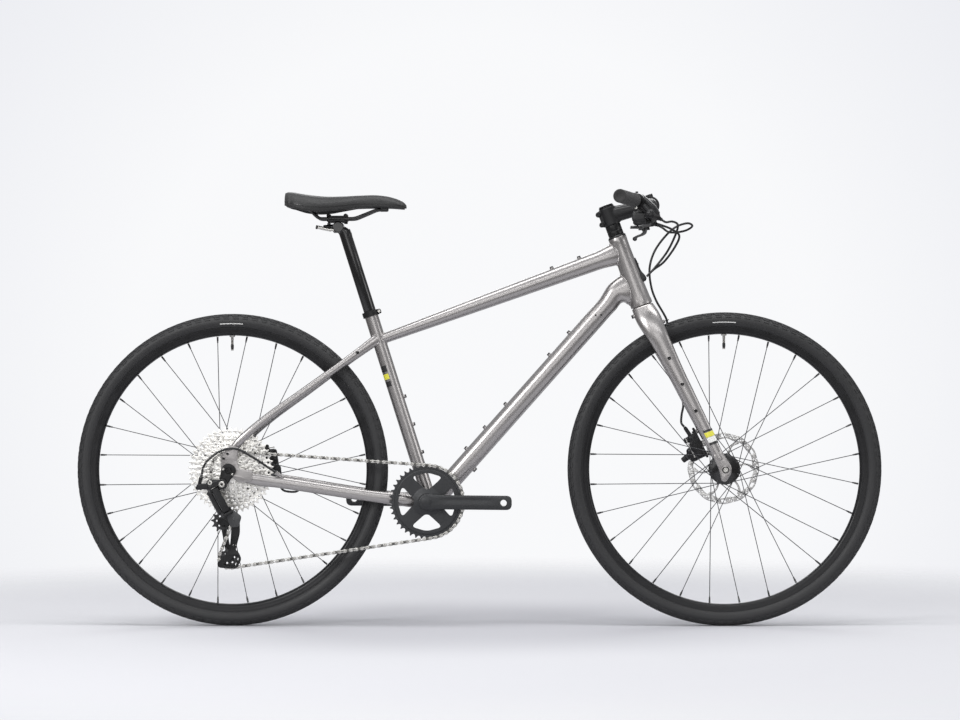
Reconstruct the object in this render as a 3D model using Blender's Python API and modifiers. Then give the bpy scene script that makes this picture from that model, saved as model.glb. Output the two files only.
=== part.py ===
"""Flat-bar touring bicycle with disc brakes, one chainring, ten sprockets and 28-spoke wheels.

Metres, +Z up. +X points forward, +Y to the rider's left, so the drive side is at -Y.
The origin is on the ground, midway between the wheels.
"""
import math

import bmesh
import bpy
from mathutils import Matrix, Vector

# Clearances
GAP = 0.0003
RUNNING_GAP = 0.0005

# Frame geometry
WHEELBASE = 1.0958
RIM_EDGE_RADIUS = 0.3175
TYRE_HEIGHT = 0.0305
TYRE_RADIUS = RIM_EDGE_RADIUS + TYRE_HEIGHT
BB_DROP = 0.070
BB_PAST_TYRE = 0.0946
CHAINSTAY_LENGTH = TYRE_RADIUS + BB_PAST_TYRE
HEAD_ANGLE = math.radians(70.2)
SEAT_ANGLE = math.radians(72.55)
FORK_OFFSET = 0.0477
CROWN_PAST_TYRE = 0.0560
AXLE_TO_CROWN = TYRE_RADIUS + CROWN_PAST_TYRE
HEAD_TUBE_LENGTH = 0.1605
SEAT_TUBE_LENGTH = 0.442
SEAT_TUBE_SHIFT = 0.004
TOP_TUBE_BELOW_HEAD = 0.0336
TOP_TUBE_UP_SEAT = 0.3755
DOWN_TUBE_UP_HEAD = 0.0666
DOWN_TUBE_OFFSET = 0.009
SEAT_STAY_UP_SEAT = 0.380

# Frame tube sections, as radii or half sizes
HEAD_TUBE_TOP_RADIUS = 0.0200
HEAD_TUBE_LOW_RADIUS = 0.0245
SEAT_TUBE_RADIUS = 0.0152
SEAT_TUBE_BORE = 0.0139
TOP_TUBE_FRONT_HALF = (0.0205, 0.0190)
TOP_TUBE_REAR_HALF = (0.0112, 0.0135)
DOWN_TUBE_HALF = (0.0215, 0.0205)
CHAINSTAY_HALF = (0.0125, 0.0080)
SEAT_STAY_HALF = (0.0085, 0.0065)
BB_SHELL_RADIUS = 0.0210
BB_SHELL_WIDTH = 0.068
BB_BORE = 0.0172
STAY_BRIDGE_RADIUS = 0.0055
BRIDGE_CLEARANCE = 0.0165
STAY_KNEE = 0.16
DROPOUT_THICKNESS = 0.0060

# Steering bearings
LOWER_BEARING_RADIUS = 0.0213
LOWER_BEARING_DEPTH = 0.0110
UPPER_BEARING_RADIUS = 0.0176
UPPER_BEARING_DEPTH = 0.0090
STEERER_LOW_RADIUS = 0.0188
STEERER_RADIUS = 0.0143
CROWN_SEAM = 0.0010

# Axles
FRONT_HUB_WIDTH = 0.100
REAR_HUB_WIDTH = 0.142
AXLE_RADIUS = 0.0060

# Wheels
WHEEL_STEPS = 28
TYRE_WIDTH = 0.037
RIM_WELL_DEPTH = 0.0080
RIM_FLANK_DEPTH = 0.0135
RIM_DEPTH = 0.0180
RIM_WELL_RADIUS = RIM_EDGE_RADIUS - RIM_WELL_DEPTH
RIM_SHOULDER_RADIUS = RIM_EDGE_RADIUS - RIM_FLANK_DEPTH
RIM_INNER_RADIUS = RIM_EDGE_RADIUS - RIM_DEPTH
RIM_WIDTH = 0.0235
RIM_WALL = 0.0017
SPOKES = 28
SPOKE_CROSSINGS = 3
SPOKE_RADIUS = 0.0010
SPOKE_OFFSET = 0.0016
NIPPLE_OFFSET = 0.0030
SPOKE_CIRCLE_RADIUS = 0.0305
FLANGE_RADIUS = 0.0340
FLANGE_THICKNESS = 0.0054
FRONT_FLANGES = (-0.0290, 0.0210)
REAR_FLANGES = (-0.0220, 0.0340)
ROTOR_RADIUS = 0.080
ROTOR_THICKNESS = 0.0018
ROTOR_ARMS = 6
FRONT_ROTOR_Y = 0.0345
REAR_ROTOR_Y = 0.0520
VALVE_RADIUS = 0.0030
VALVE_LENGTH = 0.0330

# Drive
PITCH = 0.0127
CHAINLINE = 0.0502
CHAINRING_TEETH = 40
SPROCKETS = (11, 13, 15, 18, 21, 24, 28, 32, 37, 46)
ENGAGED_SPROCKET = 4
SPROCKET_SPACING = 0.00395
SPROCKET_THICKNESS = 0.0016
PULLEY_TEETH = 11
ROLLER_HALF = 0.0025
PLATE_HALF_HEIGHT = 0.0037
CHAIN_INNER_HALF = 0.0012
CHAIN_OUTER_HALF = 0.0026
CHAINRING_INNER_RADIUS = 0.0690
CRANK_LENGTH = 0.170
CRANK_TILT = math.radians(-0.6)
CRANK_WIDTH = 0.0330
CRANK_THICKNESS = 0.0130
CRANK_INNER_FACE = 0.0590
SPINDLE_RADIUS = 0.0120
SPIDER_ARMS = 4
PEDAL_HOLE_RADIUS = 0.0070

# Rear derailleur
HANGER_DROP = (-0.0130, -0.0292)
PULLEY_DISTANCE = 0.0830
LINK_LENGTH = 0.052
LINK_SPACING = 0.0150
LINK_RADIUS = 0.0042
LINK_WIDTH = 0.0160
EAR_THICKNESS = 0.0030
PIN_RADIUS = 0.0020

# Seat
SEATPOST_RADIUS = 0.0136
SEATPOST_EXPOSED = 0.2173
SEATPOST_INSERT = 0.150
CLAMP_SETBACK = 0.0072
RAIL_RADIUS = 0.0035
RAIL_HALF_SPACING = 0.0220

# Cockpit
BAR_REACH = 0.0925
BAR_UP_CLAMP = 0.0116
BAR_WIDTH = 0.640
BAR_SWEEP = math.radians(14.5)
BAR_RADIUS = 0.0111
BAR_CLAMP_RADIUS = 0.0159
BAR_CLAMP_HALF = 0.026
GRIP_RADIUS = 0.0148
GRIP_LENGTH = 0.130
SPACER_STACK = 0.0295
STEM_HEIGHT = 0.0410
STEM_CLAMP = (HEAD_TUBE_LENGTH + SPACER_STACK, HEAD_TUBE_LENGTH + SPACER_STACK + STEM_HEIGHT)
STEM_RADIUS = 0.0185
BAR_RISE = STEM_CLAMP[0] + BAR_UP_CLAMP
CONTROL_INSET = 0.170
CONTROL_Y = BAR_WIDTH / 2 - CONTROL_INSET
LEVER_PIVOT = (0.012, 0.0478)
SHIFTER_PIVOT = (-0.002, -0.028)
OUTLET = Vector((0.0435, -0.0350, -0.0385))
OUTLET_WAY = Vector((0.80, -0.36, -0.48)).normalized()

# Brakes, hoses and housing
HOSE_RADIUS = 0.0025
CALIPER_FACE = 0.0165
REAR_PAD_DROP = 0.0023
PORT_BELOW_TOP = 0.1035
PORT_UP = HEAD_TUBE_LENGTH - PORT_BELOW_TOP
PORT_AHEAD = 0.0322
REAR_HOSE_WAY = Vector((-0.80, -0.30, -0.52)).normalized()
HOUSING_WAY = Vector((-0.80, -0.18, 0.57)).normalized()

PARTS = None
MATERIALS = {}


def start_scene():
    """Clear the scene and make the collection that holds the bicycle."""
    global PARTS
    for old in list(bpy.data.objects):
        bpy.data.objects.remove(old, do_unlink=True)
    PARTS = bpy.data.collections.new("touring_bicycle")
    bpy.context.scene.collection.children.link(PARTS)


def material(name, colour, roughness, metallic):
    """A plain Principled material, made once."""
    if name not in MATERIALS:
        made = bpy.data.materials.new(name)
        made.use_nodes = True
        shader = made.node_tree.nodes["Principled BSDF"]
        shader.inputs["Base Color"].default_value = (*colour, 1.0)
        shader.inputs["Roughness"].default_value = roughness
        shader.inputs["Metallic"].default_value = metallic
        MATERIALS[name] = made
    return MATERIALS[name]


def paint():
    return material("frame_paint", (0.42, 0.40, 0.39), 0.35, 0.7)


def black_alloy():
    return material("black_alloy", (0.025, 0.025, 0.027), 0.4, 0.6)


def black_plastic():
    return material("black_plastic", (0.02, 0.02, 0.02), 0.5, 0.0)


def steel():
    return material("bright_steel", (0.62, 0.61, 0.58), 0.28, 1.0)


def rubber():
    return material("tyre_rubber", (0.022, 0.022, 0.023), 0.75, 0.0)


def piece(mesh, name="piece"):
    """A new object in the bicycle's collection that holds this mesh."""
    made = bpy.data.objects.new(name, mesh)
    PARTS.objects.link(made)
    return made


def piece_from(bm):
    """A piece from a bmesh, with its faces pointing out."""
    bmesh.ops.recalc_face_normals(bm, faces=bm.faces)
    mesh = bpy.data.meshes.new("piece")
    bm.to_mesh(mesh)
    bm.free()
    return piece(mesh)


def baked(obj):
    """The object as one plain, welded mesh, with its curve or modifiers applied."""
    bpy.context.view_layer.update()
    graph = bpy.context.evaluated_depsgraph_get()
    mesh = bpy.data.meshes.new_from_object(obj.evaluated_get(graph))
    mesh.transform(obj.matrix_world)
    bpy.data.objects.remove(obj)
    bm = bmesh.new()
    bm.from_mesh(mesh)
    bmesh.ops.remove_doubles(bm, verts=bm.verts, dist=0.000005)
    hairlines = [edge for edge in bm.edges if edge.is_boundary]
    if hairlines:
        bmesh.ops.holes_fill(bm, edges=hairlines, sides=6)
    return piece_from(bm)


def combined(first, others, operation):
    """Join the others to a piece, or cut them out of it, and remove them."""
    for other in others:
        modifier = first.modifiers.new(operation.lower(), "BOOLEAN")
        modifier.operation = operation
        modifier.solver = "EXACT"
        modifier.object = other
        first = baked(first)
        bpy.data.objects.remove(other)
    return first


def joined(pieces):
    return combined(pieces[0], pieces[1:], "UNION")


def cut(target, cutters):
    return combined(target, cutters, "DIFFERENCE")


def node(name, obj, finish, parent=None):
    """Name a finished piece, give it its material and hang it on its joint's empty."""
    obj.name = name
    obj.data.name = name
    obj.data.materials.clear()
    obj.data.materials.append(finish)
    obj.data.shade_smooth()
    obj.data.set_sharp_from_angle(angle=math.radians(40))
    if parent:
        obj.parent = parent
        obj.matrix_parent_inverse = parent.matrix_world.inverted()
    return obj


def empty(name, place, rotation=(0.0, 0.0, 0.0), parent=None):
    """An empty on a joint's axis, for the pieces that the joint moves."""
    made = bpy.data.objects.new(name, None)
    PARTS.objects.link(made)
    made.location = place
    made.rotation_euler = rotation
    bpy.context.view_layer.update()
    if parent:
        made.parent = parent
        made.matrix_parent_inverse = parent.matrix_world.inverted()
        bpy.context.view_layer.update()
    return made


def rod(start, end, radius, sides=16, end_radius=None):
    """A cylinder or cone between two points."""
    start, end = Vector(start), Vector(end)
    turn = (end - start).to_track_quat("Z", "Y").to_matrix().to_4x4()
    bm = bmesh.new()
    bmesh.ops.create_cone(
        bm, cap_ends=True, segments=sides, radius1=radius,
        radius2=radius if end_radius is None else end_radius,
        depth=(end - start).length, matrix=Matrix.Translation((start + end) / 2) @ turn)
    return piece_from(bm)


def block(low, high, bevel=0.0, segments=1):
    """A box between two corners, with its edges rounded."""
    low, high = Vector(low), Vector(high)
    size = high - low
    bm = bmesh.new()
    place = Matrix.Translation((low + high) / 2) @ Matrix.Diagonal((*size, 1.0))
    bmesh.ops.create_cube(bm, size=1.0, matrix=place)
    made = piece_from(bm)
    if bevel:
        rounding = made.modifiers.new("rounding", "BEVEL")
        rounding.width = bevel
        rounding.segments = segments
        made = baked(made)
    return made


def turned(profile, steps, axis="Y"):
    """A solid turned about an axis: the profile lists radius and place along the axis.

    A profile that starts and ends on the axis is a shaft, and any other is closed to a ring.
    """
    ring = profile[0][0] > 0.0
    mesh = bpy.data.meshes.new("profile")
    points = [(r, a, 0.0) if axis == "Y" else (r, 0.0, a) for r, a in profile]
    edges = [(i, i + 1) for i in range(len(points) - 1)]
    if ring:
        edges.append((len(points) - 1, 0))
    mesh.from_pydata(points, edges, [])
    screw = piece(mesh)
    turning = screw.modifiers.new("turning", "SCREW")
    turning.axis = axis
    turning.steps = steps
    turning.render_steps = steps
    turning.use_merge_vertices = True
    turning.merge_threshold = 0.00001
    return baked(screw)


def placed(obj, matrix):
    """Move a piece that was made in another frame, such as the steering's, into the world's."""
    obj.data.transform(matrix)
    return obj


def slab(outlines, thickness, matrix=None):
    """A flat plate about the plane of two axes of a frame, from outlines of (first, second)."""
    curve = bpy.data.curves.new("slab", "CURVE")
    curve.dimensions = "2D"
    curve.fill_mode = "BOTH"
    curve.extrude = thickness / 2
    for outline in map(without_straight_points, outlines):
        spline = curve.splines.new("POLY")
        spline.points.add(len(outline) - 1)
        for point, (first, second) in zip(spline.points, outline):
            point.co = (first, second, 0.0, 1.0)
        spline.use_cyclic_u = True
    made = baked(piece(curve))
    return placed(made, matrix) if matrix else made


def without_straight_points(outline):
    """The outline without the points that lie on the line between their neighbours."""
    kept = []
    for i, point in enumerate(outline):
        back = Vector(point) - Vector(outline[i - 1])
        ahead = Vector(outline[(i + 1) % len(outline)]) - Vector(point)
        if abs(back.cross(ahead)) > 1e-4 * back.length * ahead.length:
            kept.append(point)
    return kept


def plate(outlines, y, thickness):
    """A flat plate square to Y, from outlines of (x, z): the first is the edge, the rest holes."""
    upright = Matrix.Translation((0.0, y, 0.0)) @ Matrix.Rotation(math.pi / 2, 4, "X")
    return slab(outlines, thickness, upright)


def frame_matrix(origin, first, second):
    """A frame's matrix from its origin and two axes at right angles."""
    first, second = Vector(first).normalized(), Vector(second).normalized()
    third = first.cross(second)
    turn = Matrix((first, second, third)).transposed().to_4x4()
    return Matrix.Translation(origin) @ turn


def capsule(a, b, radius_a, radius_b, count=6):
    """The outline of a rounded strip between two points."""
    angle = math.atan2(b[1] - a[1], b[0] - a[0])
    return (arc(a, radius_a, angle + math.pi / 2, angle + 3 * math.pi / 2, count)
            + arc(b, radius_b, angle - math.pi / 2, angle + math.pi / 2, count))


def ribbon(points, halves):
    """The outline of a strip along the points, with a half width at each."""
    left, right = [], []
    for i, (point, half) in enumerate(zip(points, halves)):
        before, after = points[max(i - 1, 0)], points[min(i + 1, len(points) - 1)]
        run = (Vector(after) - Vector(before)).normalized()
        left.append((point[0] - run.y * half, point[1] + run.x * half))
        right.append((point[0] + run.y * half, point[1] - run.x * half))
    return left + right[::-1]


def wire(points, radius, resolution=2):
    """A round wire or tube through the points, with filled ends."""
    curve = bpy.data.curves.new("wire", "CURVE")
    curve.dimensions = "3D"
    curve.bevel_depth = radius
    curve.bevel_resolution = resolution
    curve.use_fill_caps = True
    spline = curve.splines.new("POLY")
    spline.points.add(len(points) - 1)
    for point, place in zip(spline.points, points):
        point.co = (*place, 1.0)
    return baked(piece(curve))


def smooth_route(points, step):
    """Points about a step apart on a smooth curve through the given ones."""
    points = [Vector(p) for p in points]
    ends = [2 * points[0] - points[1]] + points + [2 * points[-1] - points[-2]]
    route = []
    for a, b, c, d in zip(ends, ends[1:], ends[2:], ends[3:]):
        count = max(1, round((c - b).length / step))
        for i in range(count):
            t = i / count
            route.append(0.5 * (2 * b + (c - a) * t + (2 * a - 5 * b + 4 * c - d) * t * t
                                + (3 * b - 3 * c + d - a) * t ** 3))
    return route + [points[-1]]


def ellipse(centre, up, across, half_up, half_across, count):
    """A ring of points about a centre."""
    up, across = Vector(up).normalized(), Vector(across).normalized()
    return [Vector(centre) + up * half_up * math.cos(2 * math.pi * i / count)
            + across * half_across * math.sin(2 * math.pi * i / count) for i in range(count)]


def loft(rings):
    """A closed skin over rings of equal count, capped at both ends."""
    bm = bmesh.new()
    rows = [[bm.verts.new(p) for p in ring] for ring in rings]
    count = len(rows[0])
    for row, above in zip(rows, rows[1:]):
        for i in range(count):
            j = (i + 1) % count
            bm.faces.new((row[i], row[j], above[j], above[i]))
    bm.faces.new(reversed(rows[0]))
    bm.faces.new(rows[-1])
    return piece_from(bm)


def mirrored(obj):
    """A copy of a piece on the bicycle's other side."""
    mesh = obj.data.copy()
    mesh.transform(Matrix.Scale(-1.0, 4, (0.0, 1.0, 0.0)))
    mesh.flip_normals()
    return piece(mesh)


def circle(centre, radius, count, start=0.0):
    """Points (x, z) on a circle in the bicycle's plane."""
    return [(centre[0] + radius * math.cos(start + 2 * math.pi * i / count),
             centre[1] + radius * math.sin(start + 2 * math.pi * i / count)) for i in range(count)]


def arc(centre, radius, start, end, count):
    """Points (x, z) along an arc, both ends included."""
    return [(centre[0] + radius * math.cos(start + (end - start) * i / (count - 1)),
             centre[1] + radius * math.sin(start + (end - start) * i / (count - 1)))
            for i in range(count)]


# Points that the whole bicycle is built on
REAR = Vector((-WHEELBASE / 2, 0.0, TYRE_RADIUS))
FRONT = Vector((WHEELBASE / 2, 0.0, TYRE_RADIUS))
BB = Vector((REAR.x + math.sqrt(CHAINSTAY_LENGTH ** 2 - BB_DROP ** 2), 0.0, TYRE_RADIUS - BB_DROP))
HEAD_UP = Vector((-math.cos(HEAD_ANGLE), 0.0, math.sin(HEAD_ANGLE)))
HEAD_AHEAD = Vector((math.sin(HEAD_ANGLE), 0.0, math.cos(HEAD_ANGLE)))
CROWN = FRONT - FORK_OFFSET * HEAD_AHEAD + AXLE_TO_CROWN * HEAD_UP
SEAT_UP = Vector((-math.cos(SEAT_ANGLE), 0.0, math.sin(SEAT_ANGLE)))
SEAT_AHEAD = Vector((math.sin(SEAT_ANGLE), 0.0, math.cos(SEAT_ANGLE)))
SEAT_FOOT = BB + Vector((SEAT_TUBE_SHIFT, 0.0, 0.0))
SEAT_TOP = SEAT_FOOT + SEAT_TUBE_LENGTH * SEAT_UP
SADDLE_CLAMP = SEAT_TOP + SEATPOST_EXPOSED * SEAT_UP - Vector((CLAMP_SETBACK, 0.0, 0.0))
ACROSS = Vector((0.0, 1.0, 0.0))


def on_head(up, ahead=0.0, across=0.0):
    """A world point from the crown, along and ahead of the steering axis."""
    return CROWN + up * HEAD_UP + ahead * HEAD_AHEAD + across * ACROSS


HOSE_CLIP = on_head(-0.050, 0.0375, 0.0330)


def from_axle(x, z):
    """A place in the bicycle's plane, from the rear axle."""
    return (REAR.x + x, REAR.z + z)


# Places on the rear of the frame
CAGE_PIVOT = from_axle(0.0121, -0.1049)
GUIDE_PULLEY = from_axle(-0.0169, -0.1143)
BARREL_BASE = from_axle(-0.0641, -0.0335)
LINK_PINS = REAR + Vector((-0.0311, -0.0850, -0.0420))
HOUSING_END = REAR + Vector((-0.0576, -0.0890, -0.0075))
HOUSING_PORT = REAR + Vector((0.1033, -0.0665, -0.0042))
REAR_HOSE_PORT = REAR + Vector((0.1469, 0.0495, -0.0445))
REAR_PAD_TOP = REAR.z - REAR_PAD_DROP


def boss(place, direction, radius=0.0045, height=0.0030, sink=0.006):
    """A small threaded boss that stands on a tube."""
    place, direction = Vector(place), Vector(direction).normalized()
    return rod(place - sink * direction, place + height * direction, radius, 6)


def down_tube_rings():
    """The down tube's sections: straight, then flared into the head tube."""
    top = on_head(DOWN_TUBE_UP_HEAD)
    along = (top - BB).normalized()
    foot = BB + DOWN_TUBE_OFFSET * Vector((along.z, 0.0, -along.x))
    along = (top - foot).normalized()
    normal = Vector((-along.z, 0.0, along.x))
    high, wide = DOWN_TUBE_HALF
    flare = HEAD_TUBE_LOW_RADIUS
    centre_low = 0.27 * HEAD_TUBE_LENGTH
    return [
        ellipse(foot, normal, ACROSS, high, wide, 12),
        ellipse(top - 0.080 * along, normal, ACROSS, high, wide, 12),
        ellipse(on_head(0.0455, -flare - 0.017), normal + HEAD_UP, ACROSS, 0.0265, wide, 12),
        ellipse(on_head(centre_low + 0.001, -flare - 0.003), HEAD_UP, ACROSS, 0.0330, 0.0200, 12),
        ellipse(on_head(centre_low, -0.004), HEAD_UP, ACROSS, 0.0360, 0.0180, 12)]


def top_tube_rings():
    """The top tube's sections, tapering back from the head tube to the seat tube."""
    head = on_head(HEAD_TUBE_LENGTH - TOP_TUBE_BELOW_HEAD)
    seat = SEAT_FOOT + TOP_TUBE_UP_SEAT * SEAT_UP
    along = (head - seat).normalized()
    normal = Vector((-along.z, 0.0, along.x))
    (front_high, front_wide), (rear_high, rear_wide) = TOP_TUBE_FRONT_HALF, TOP_TUBE_REAR_HALF
    return [
        ellipse(seat, normal, ACROSS, rear_high, rear_wide, 12),
        ellipse(head - 0.050 * along, normal, ACROSS, front_high, front_wide, 12),
        ellipse(head - 0.026 * along, normal, ACROSS, front_high + 0.003, front_wide, 12),
        ellipse(head, normal, ACROSS, front_high + 0.005, 0.0165, 12)]


def dropout_y():
    return REAR_HUB_WIDTH / 2 + GAP + DROPOUT_THICKNESS / 2


def chainstay():
    """The left chainstay: an oval tube from the shell to its dropout."""
    high, wide = CHAINSTAY_HALF
    rear = (REAR.x + 0.034, dropout_y() - 0.0035, REAR.z - 0.0145)
    middle = (BB.x - 0.125, 0.0405, BB.z + 0.0125)
    front = (BB.x - 0.010, 0.0230, BB.z - 0.0030)
    up = (0.0, 0.0, 1.0)
    return loft([
        ellipse(front, up, ACROSS, high + 0.0020, wide, 8),
        ellipse(middle, up, ACROSS, high + 0.0005, wide, 8),
        ellipse(rear, up, ACROSS, high, wide * 0.8, 8)])


def stay_line(part):
    """A point on the left seat stay's centre line, from the seat tube (0) to its bend (1)."""
    top = SEAT_FOOT + SEAT_STAY_UP_SEAT * SEAT_UP
    bend = REAR + Vector((0.050, dropout_y() - 0.0050, 0.092))
    knee = top.lerp(bend, STAY_KNEE) + 0.012 * ACROSS
    if part < STAY_KNEE:
        return (top + 0.010 * ACROSS).lerp(knee, part / STAY_KNEE)
    return knee.lerp(bend, (part - STAY_KNEE) / (1.0 - STAY_KNEE))


def seat_stay():
    """The left seat stay: a slim tube that bends down to its dropout."""
    high, wide = SEAT_STAY_HALF
    top, bend = stay_line(0.0), stay_line(1.0)
    low = REAR + Vector((0.0085, dropout_y() - 0.0010, 0.044))
    run = (top - bend)
    normal = Vector((run.z, 0.0, -run.x)).normalized()
    return loft([
        ellipse(top, -normal, ACROSS, high + 0.003, wide, 8),
        ellipse(stay_line(STAY_KNEE), -normal, ACROSS, high, wide, 8),
        ellipse(bend, -normal - Vector((0.1, 0.0, 0.0)), ACROSS, high, wide, 8),
        ellipse(low, (-0.9, 0.0, 0.45), ACROSS, high + 0.001, wide * 0.7, 8)])


def dropout():
    """The left dropout plate: axle boss with an arm to each stay."""
    outline = [(x + REAR.x, z + REAR.z) for x, z in (
        arc((0.0, 0.0), 0.0170, math.radians(165), math.radians(300), 7)
        + [(0.022, -0.0262), (0.052, -0.0230), (0.054, 0.0010), (0.024, 0.0040),
           (0.0190, 0.0220), (0.0225, 0.0520), (0.0020, 0.0580), (-0.0175, 0.0330)])]
    return plate([outline], dropout_y(), DROPOUT_THICKNESS)


def frame_mounts():
    """The rear brake's two feet on the left chainstay, and the ferrules of hose and housing."""
    feet = []
    for ahead in (0.0729, 0.0934):
        x = REAR.x + ahead
        feet.append(rod((x, 0.0610, REAR.z - 0.0200), (x, 0.0610, REAR_PAD_TOP), 0.0050, 8))
    for port, way in ((REAR_HOSE_PORT, REAR_HOSE_WAY), (HOUSING_PORT, HOUSING_WAY)):
        feet.append(rod(port - 0.020 * way, port, 0.0045, 8))
    return feet


def frame_bosses():
    """Threaded bosses for bottles, racks and mudguards."""
    made = []
    foot, top = down_tube_centre(0.0), down_tube_centre(1.0)
    along = (top - foot).normalized()
    normal = Vector((-along.z, 0.0, along.x))
    high = DOWN_TUBE_HALF[0]
    for part in (0.214, 0.307, 0.410, 0.628, 0.726):
        made.append(boss(foot.lerp(top, part) + high * normal, normal))
    made.append(boss(foot.lerp(top, 0.180) - high * normal, -normal, 0.0060, 0.0022))
    for up in (0.109, 0.174, 0.239):
        made.append(boss(SEAT_FOOT + up * SEAT_UP + SEAT_TUBE_RADIUS * SEAT_AHEAD, SEAT_AHEAD,
                         sink=0.001))
    head = on_head(HEAD_TUBE_LENGTH - TOP_TUBE_BELOW_HEAD)
    seat = SEAT_FOOT + TOP_TUBE_UP_SEAT * SEAT_UP
    along = (head - seat).normalized()
    normal = Vector((-along.z, 0.0, along.x))
    for back in (0.095, 0.160):
        taper = back / (head - seat).length
        half = TOP_TUBE_FRONT_HALF[0] + (TOP_TUBE_REAR_HALF[0] - TOP_TUBE_FRONT_HALF[0]) * taper
        made.append(boss(head - back * along + half * normal, normal))
    rack = stay_line(STAY_KNEE) + SEAT_STAY_HALF[1] * ACROSS
    outer = dropout_y() + DROPOUT_THICKNESS / 2
    eyes = [boss(rack, ACROSS, 0.0045, 0.0020, 0.004)]
    for x, z in (from_axle(-0.0019, 0.0379), from_axle(-0.0110, 0.0276)):
        eyes.append(boss((x, outer, z), ACROSS, 0.0034, 0.0014, 0.003))
    return made + eyes + [mirrored(eye) for eye in eyes]


def down_tube_centre(part):
    """A point on the down tube's centre line, from the shell (0) to the head tube (1)."""
    top = on_head(DOWN_TUBE_UP_HEAD)
    along = (top - BB).normalized()
    foot = BB + DOWN_TUBE_OFFSET * Vector((along.z, 0.0, -along.x))
    return foot.lerp(top, part)


def stay_bridge():
    """The bar between the seat stays, where they come to its clearance from the rear tyre."""
    part, reach = 0.0, TYRE_RADIUS + BRIDGE_CLEARANCE
    end = stay_line(part)
    while part < 1.0 and math.hypot(end.x - REAR.x, end.z - REAR.z) > reach:
        part += 0.005
        end = stay_line(part)
    return rod((end.x, -end.y, end.z), end, STAY_BRIDGE_RADIUS, 6)


def frame():
    """The welded frame, bored for the steerer, the seatpost, the spindle and the rear axle."""
    head_tube = turned(head_tube_profile(0.0), 16, "Z")
    head_tube.matrix_world = steering_matrix()
    shell = rod((BB.x, -BB_SHELL_WIDTH / 2, BB.z), (BB.x, BB_SHELL_WIDTH / 2, BB.z),
                BB_SHELL_RADIUS, 16)
    pieces = [baked(head_tube), loft(down_tube_rings()), loft(top_tube_rings()),
              rod(SEAT_FOOT, SEAT_TOP, SEAT_TUBE_RADIUS, 16), shell]
    for make in (chainstay, seat_stay, dropout):
        left = make()
        pieces += [left, mirrored(left)]
    low_bridge = BB + Vector((-0.072, 0.0, 0.006))
    pieces.append(stay_bridge())
    pieces.append(rod(low_bridge - 0.030 * ACROSS, low_bridge + 0.030 * ACROSS,
                      STAY_BRIDGE_RADIUS, 6))
    body = joined(pieces + frame_mounts() + frame_bosses())
    head_bore = turned([
        (0.0, -0.010), (LOWER_BEARING_RADIUS + GAP, -0.010),
        (LOWER_BEARING_RADIUS + GAP, LOWER_BEARING_DEPTH + CROWN_SEAM),
        (0.0200, LOWER_BEARING_DEPTH + CROWN_SEAM), (0.0165, HEAD_TUBE_LENGTH - UPPER_BEARING_DEPTH),
        (UPPER_BEARING_RADIUS + GAP, HEAD_TUBE_LENGTH - UPPER_BEARING_DEPTH),
        (UPPER_BEARING_RADIUS + GAP, HEAD_TUBE_LENGTH + 0.010), (0.0, HEAD_TUBE_LENGTH + 0.010)],
        16, "Z")
    head_bore.matrix_world = steering_matrix()
    seat_bore = rod(SEAT_FOOT + 0.060 * SEAT_UP, SEAT_TOP + 0.010 * SEAT_UP, SEAT_TUBE_BORE, 16)
    shell_bore = rod((BB.x, -0.040, BB.z), (BB.x, 0.040, BB.z), BB_BORE, 16)
    axle_bore = rod((REAR.x, -0.090, REAR.z), (REAR.x, 0.090, REAR.z), AXLE_RADIUS + GAP, 12)
    node("frame", cut(body, [baked(head_bore), seat_bore, shell_bore, axle_bore]), paint())


def steering_matrix():
    return Matrix.Translation(CROWN) @ Matrix.Rotation(-(math.pi / 2 - HEAD_ANGLE), 4, "Y")


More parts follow.
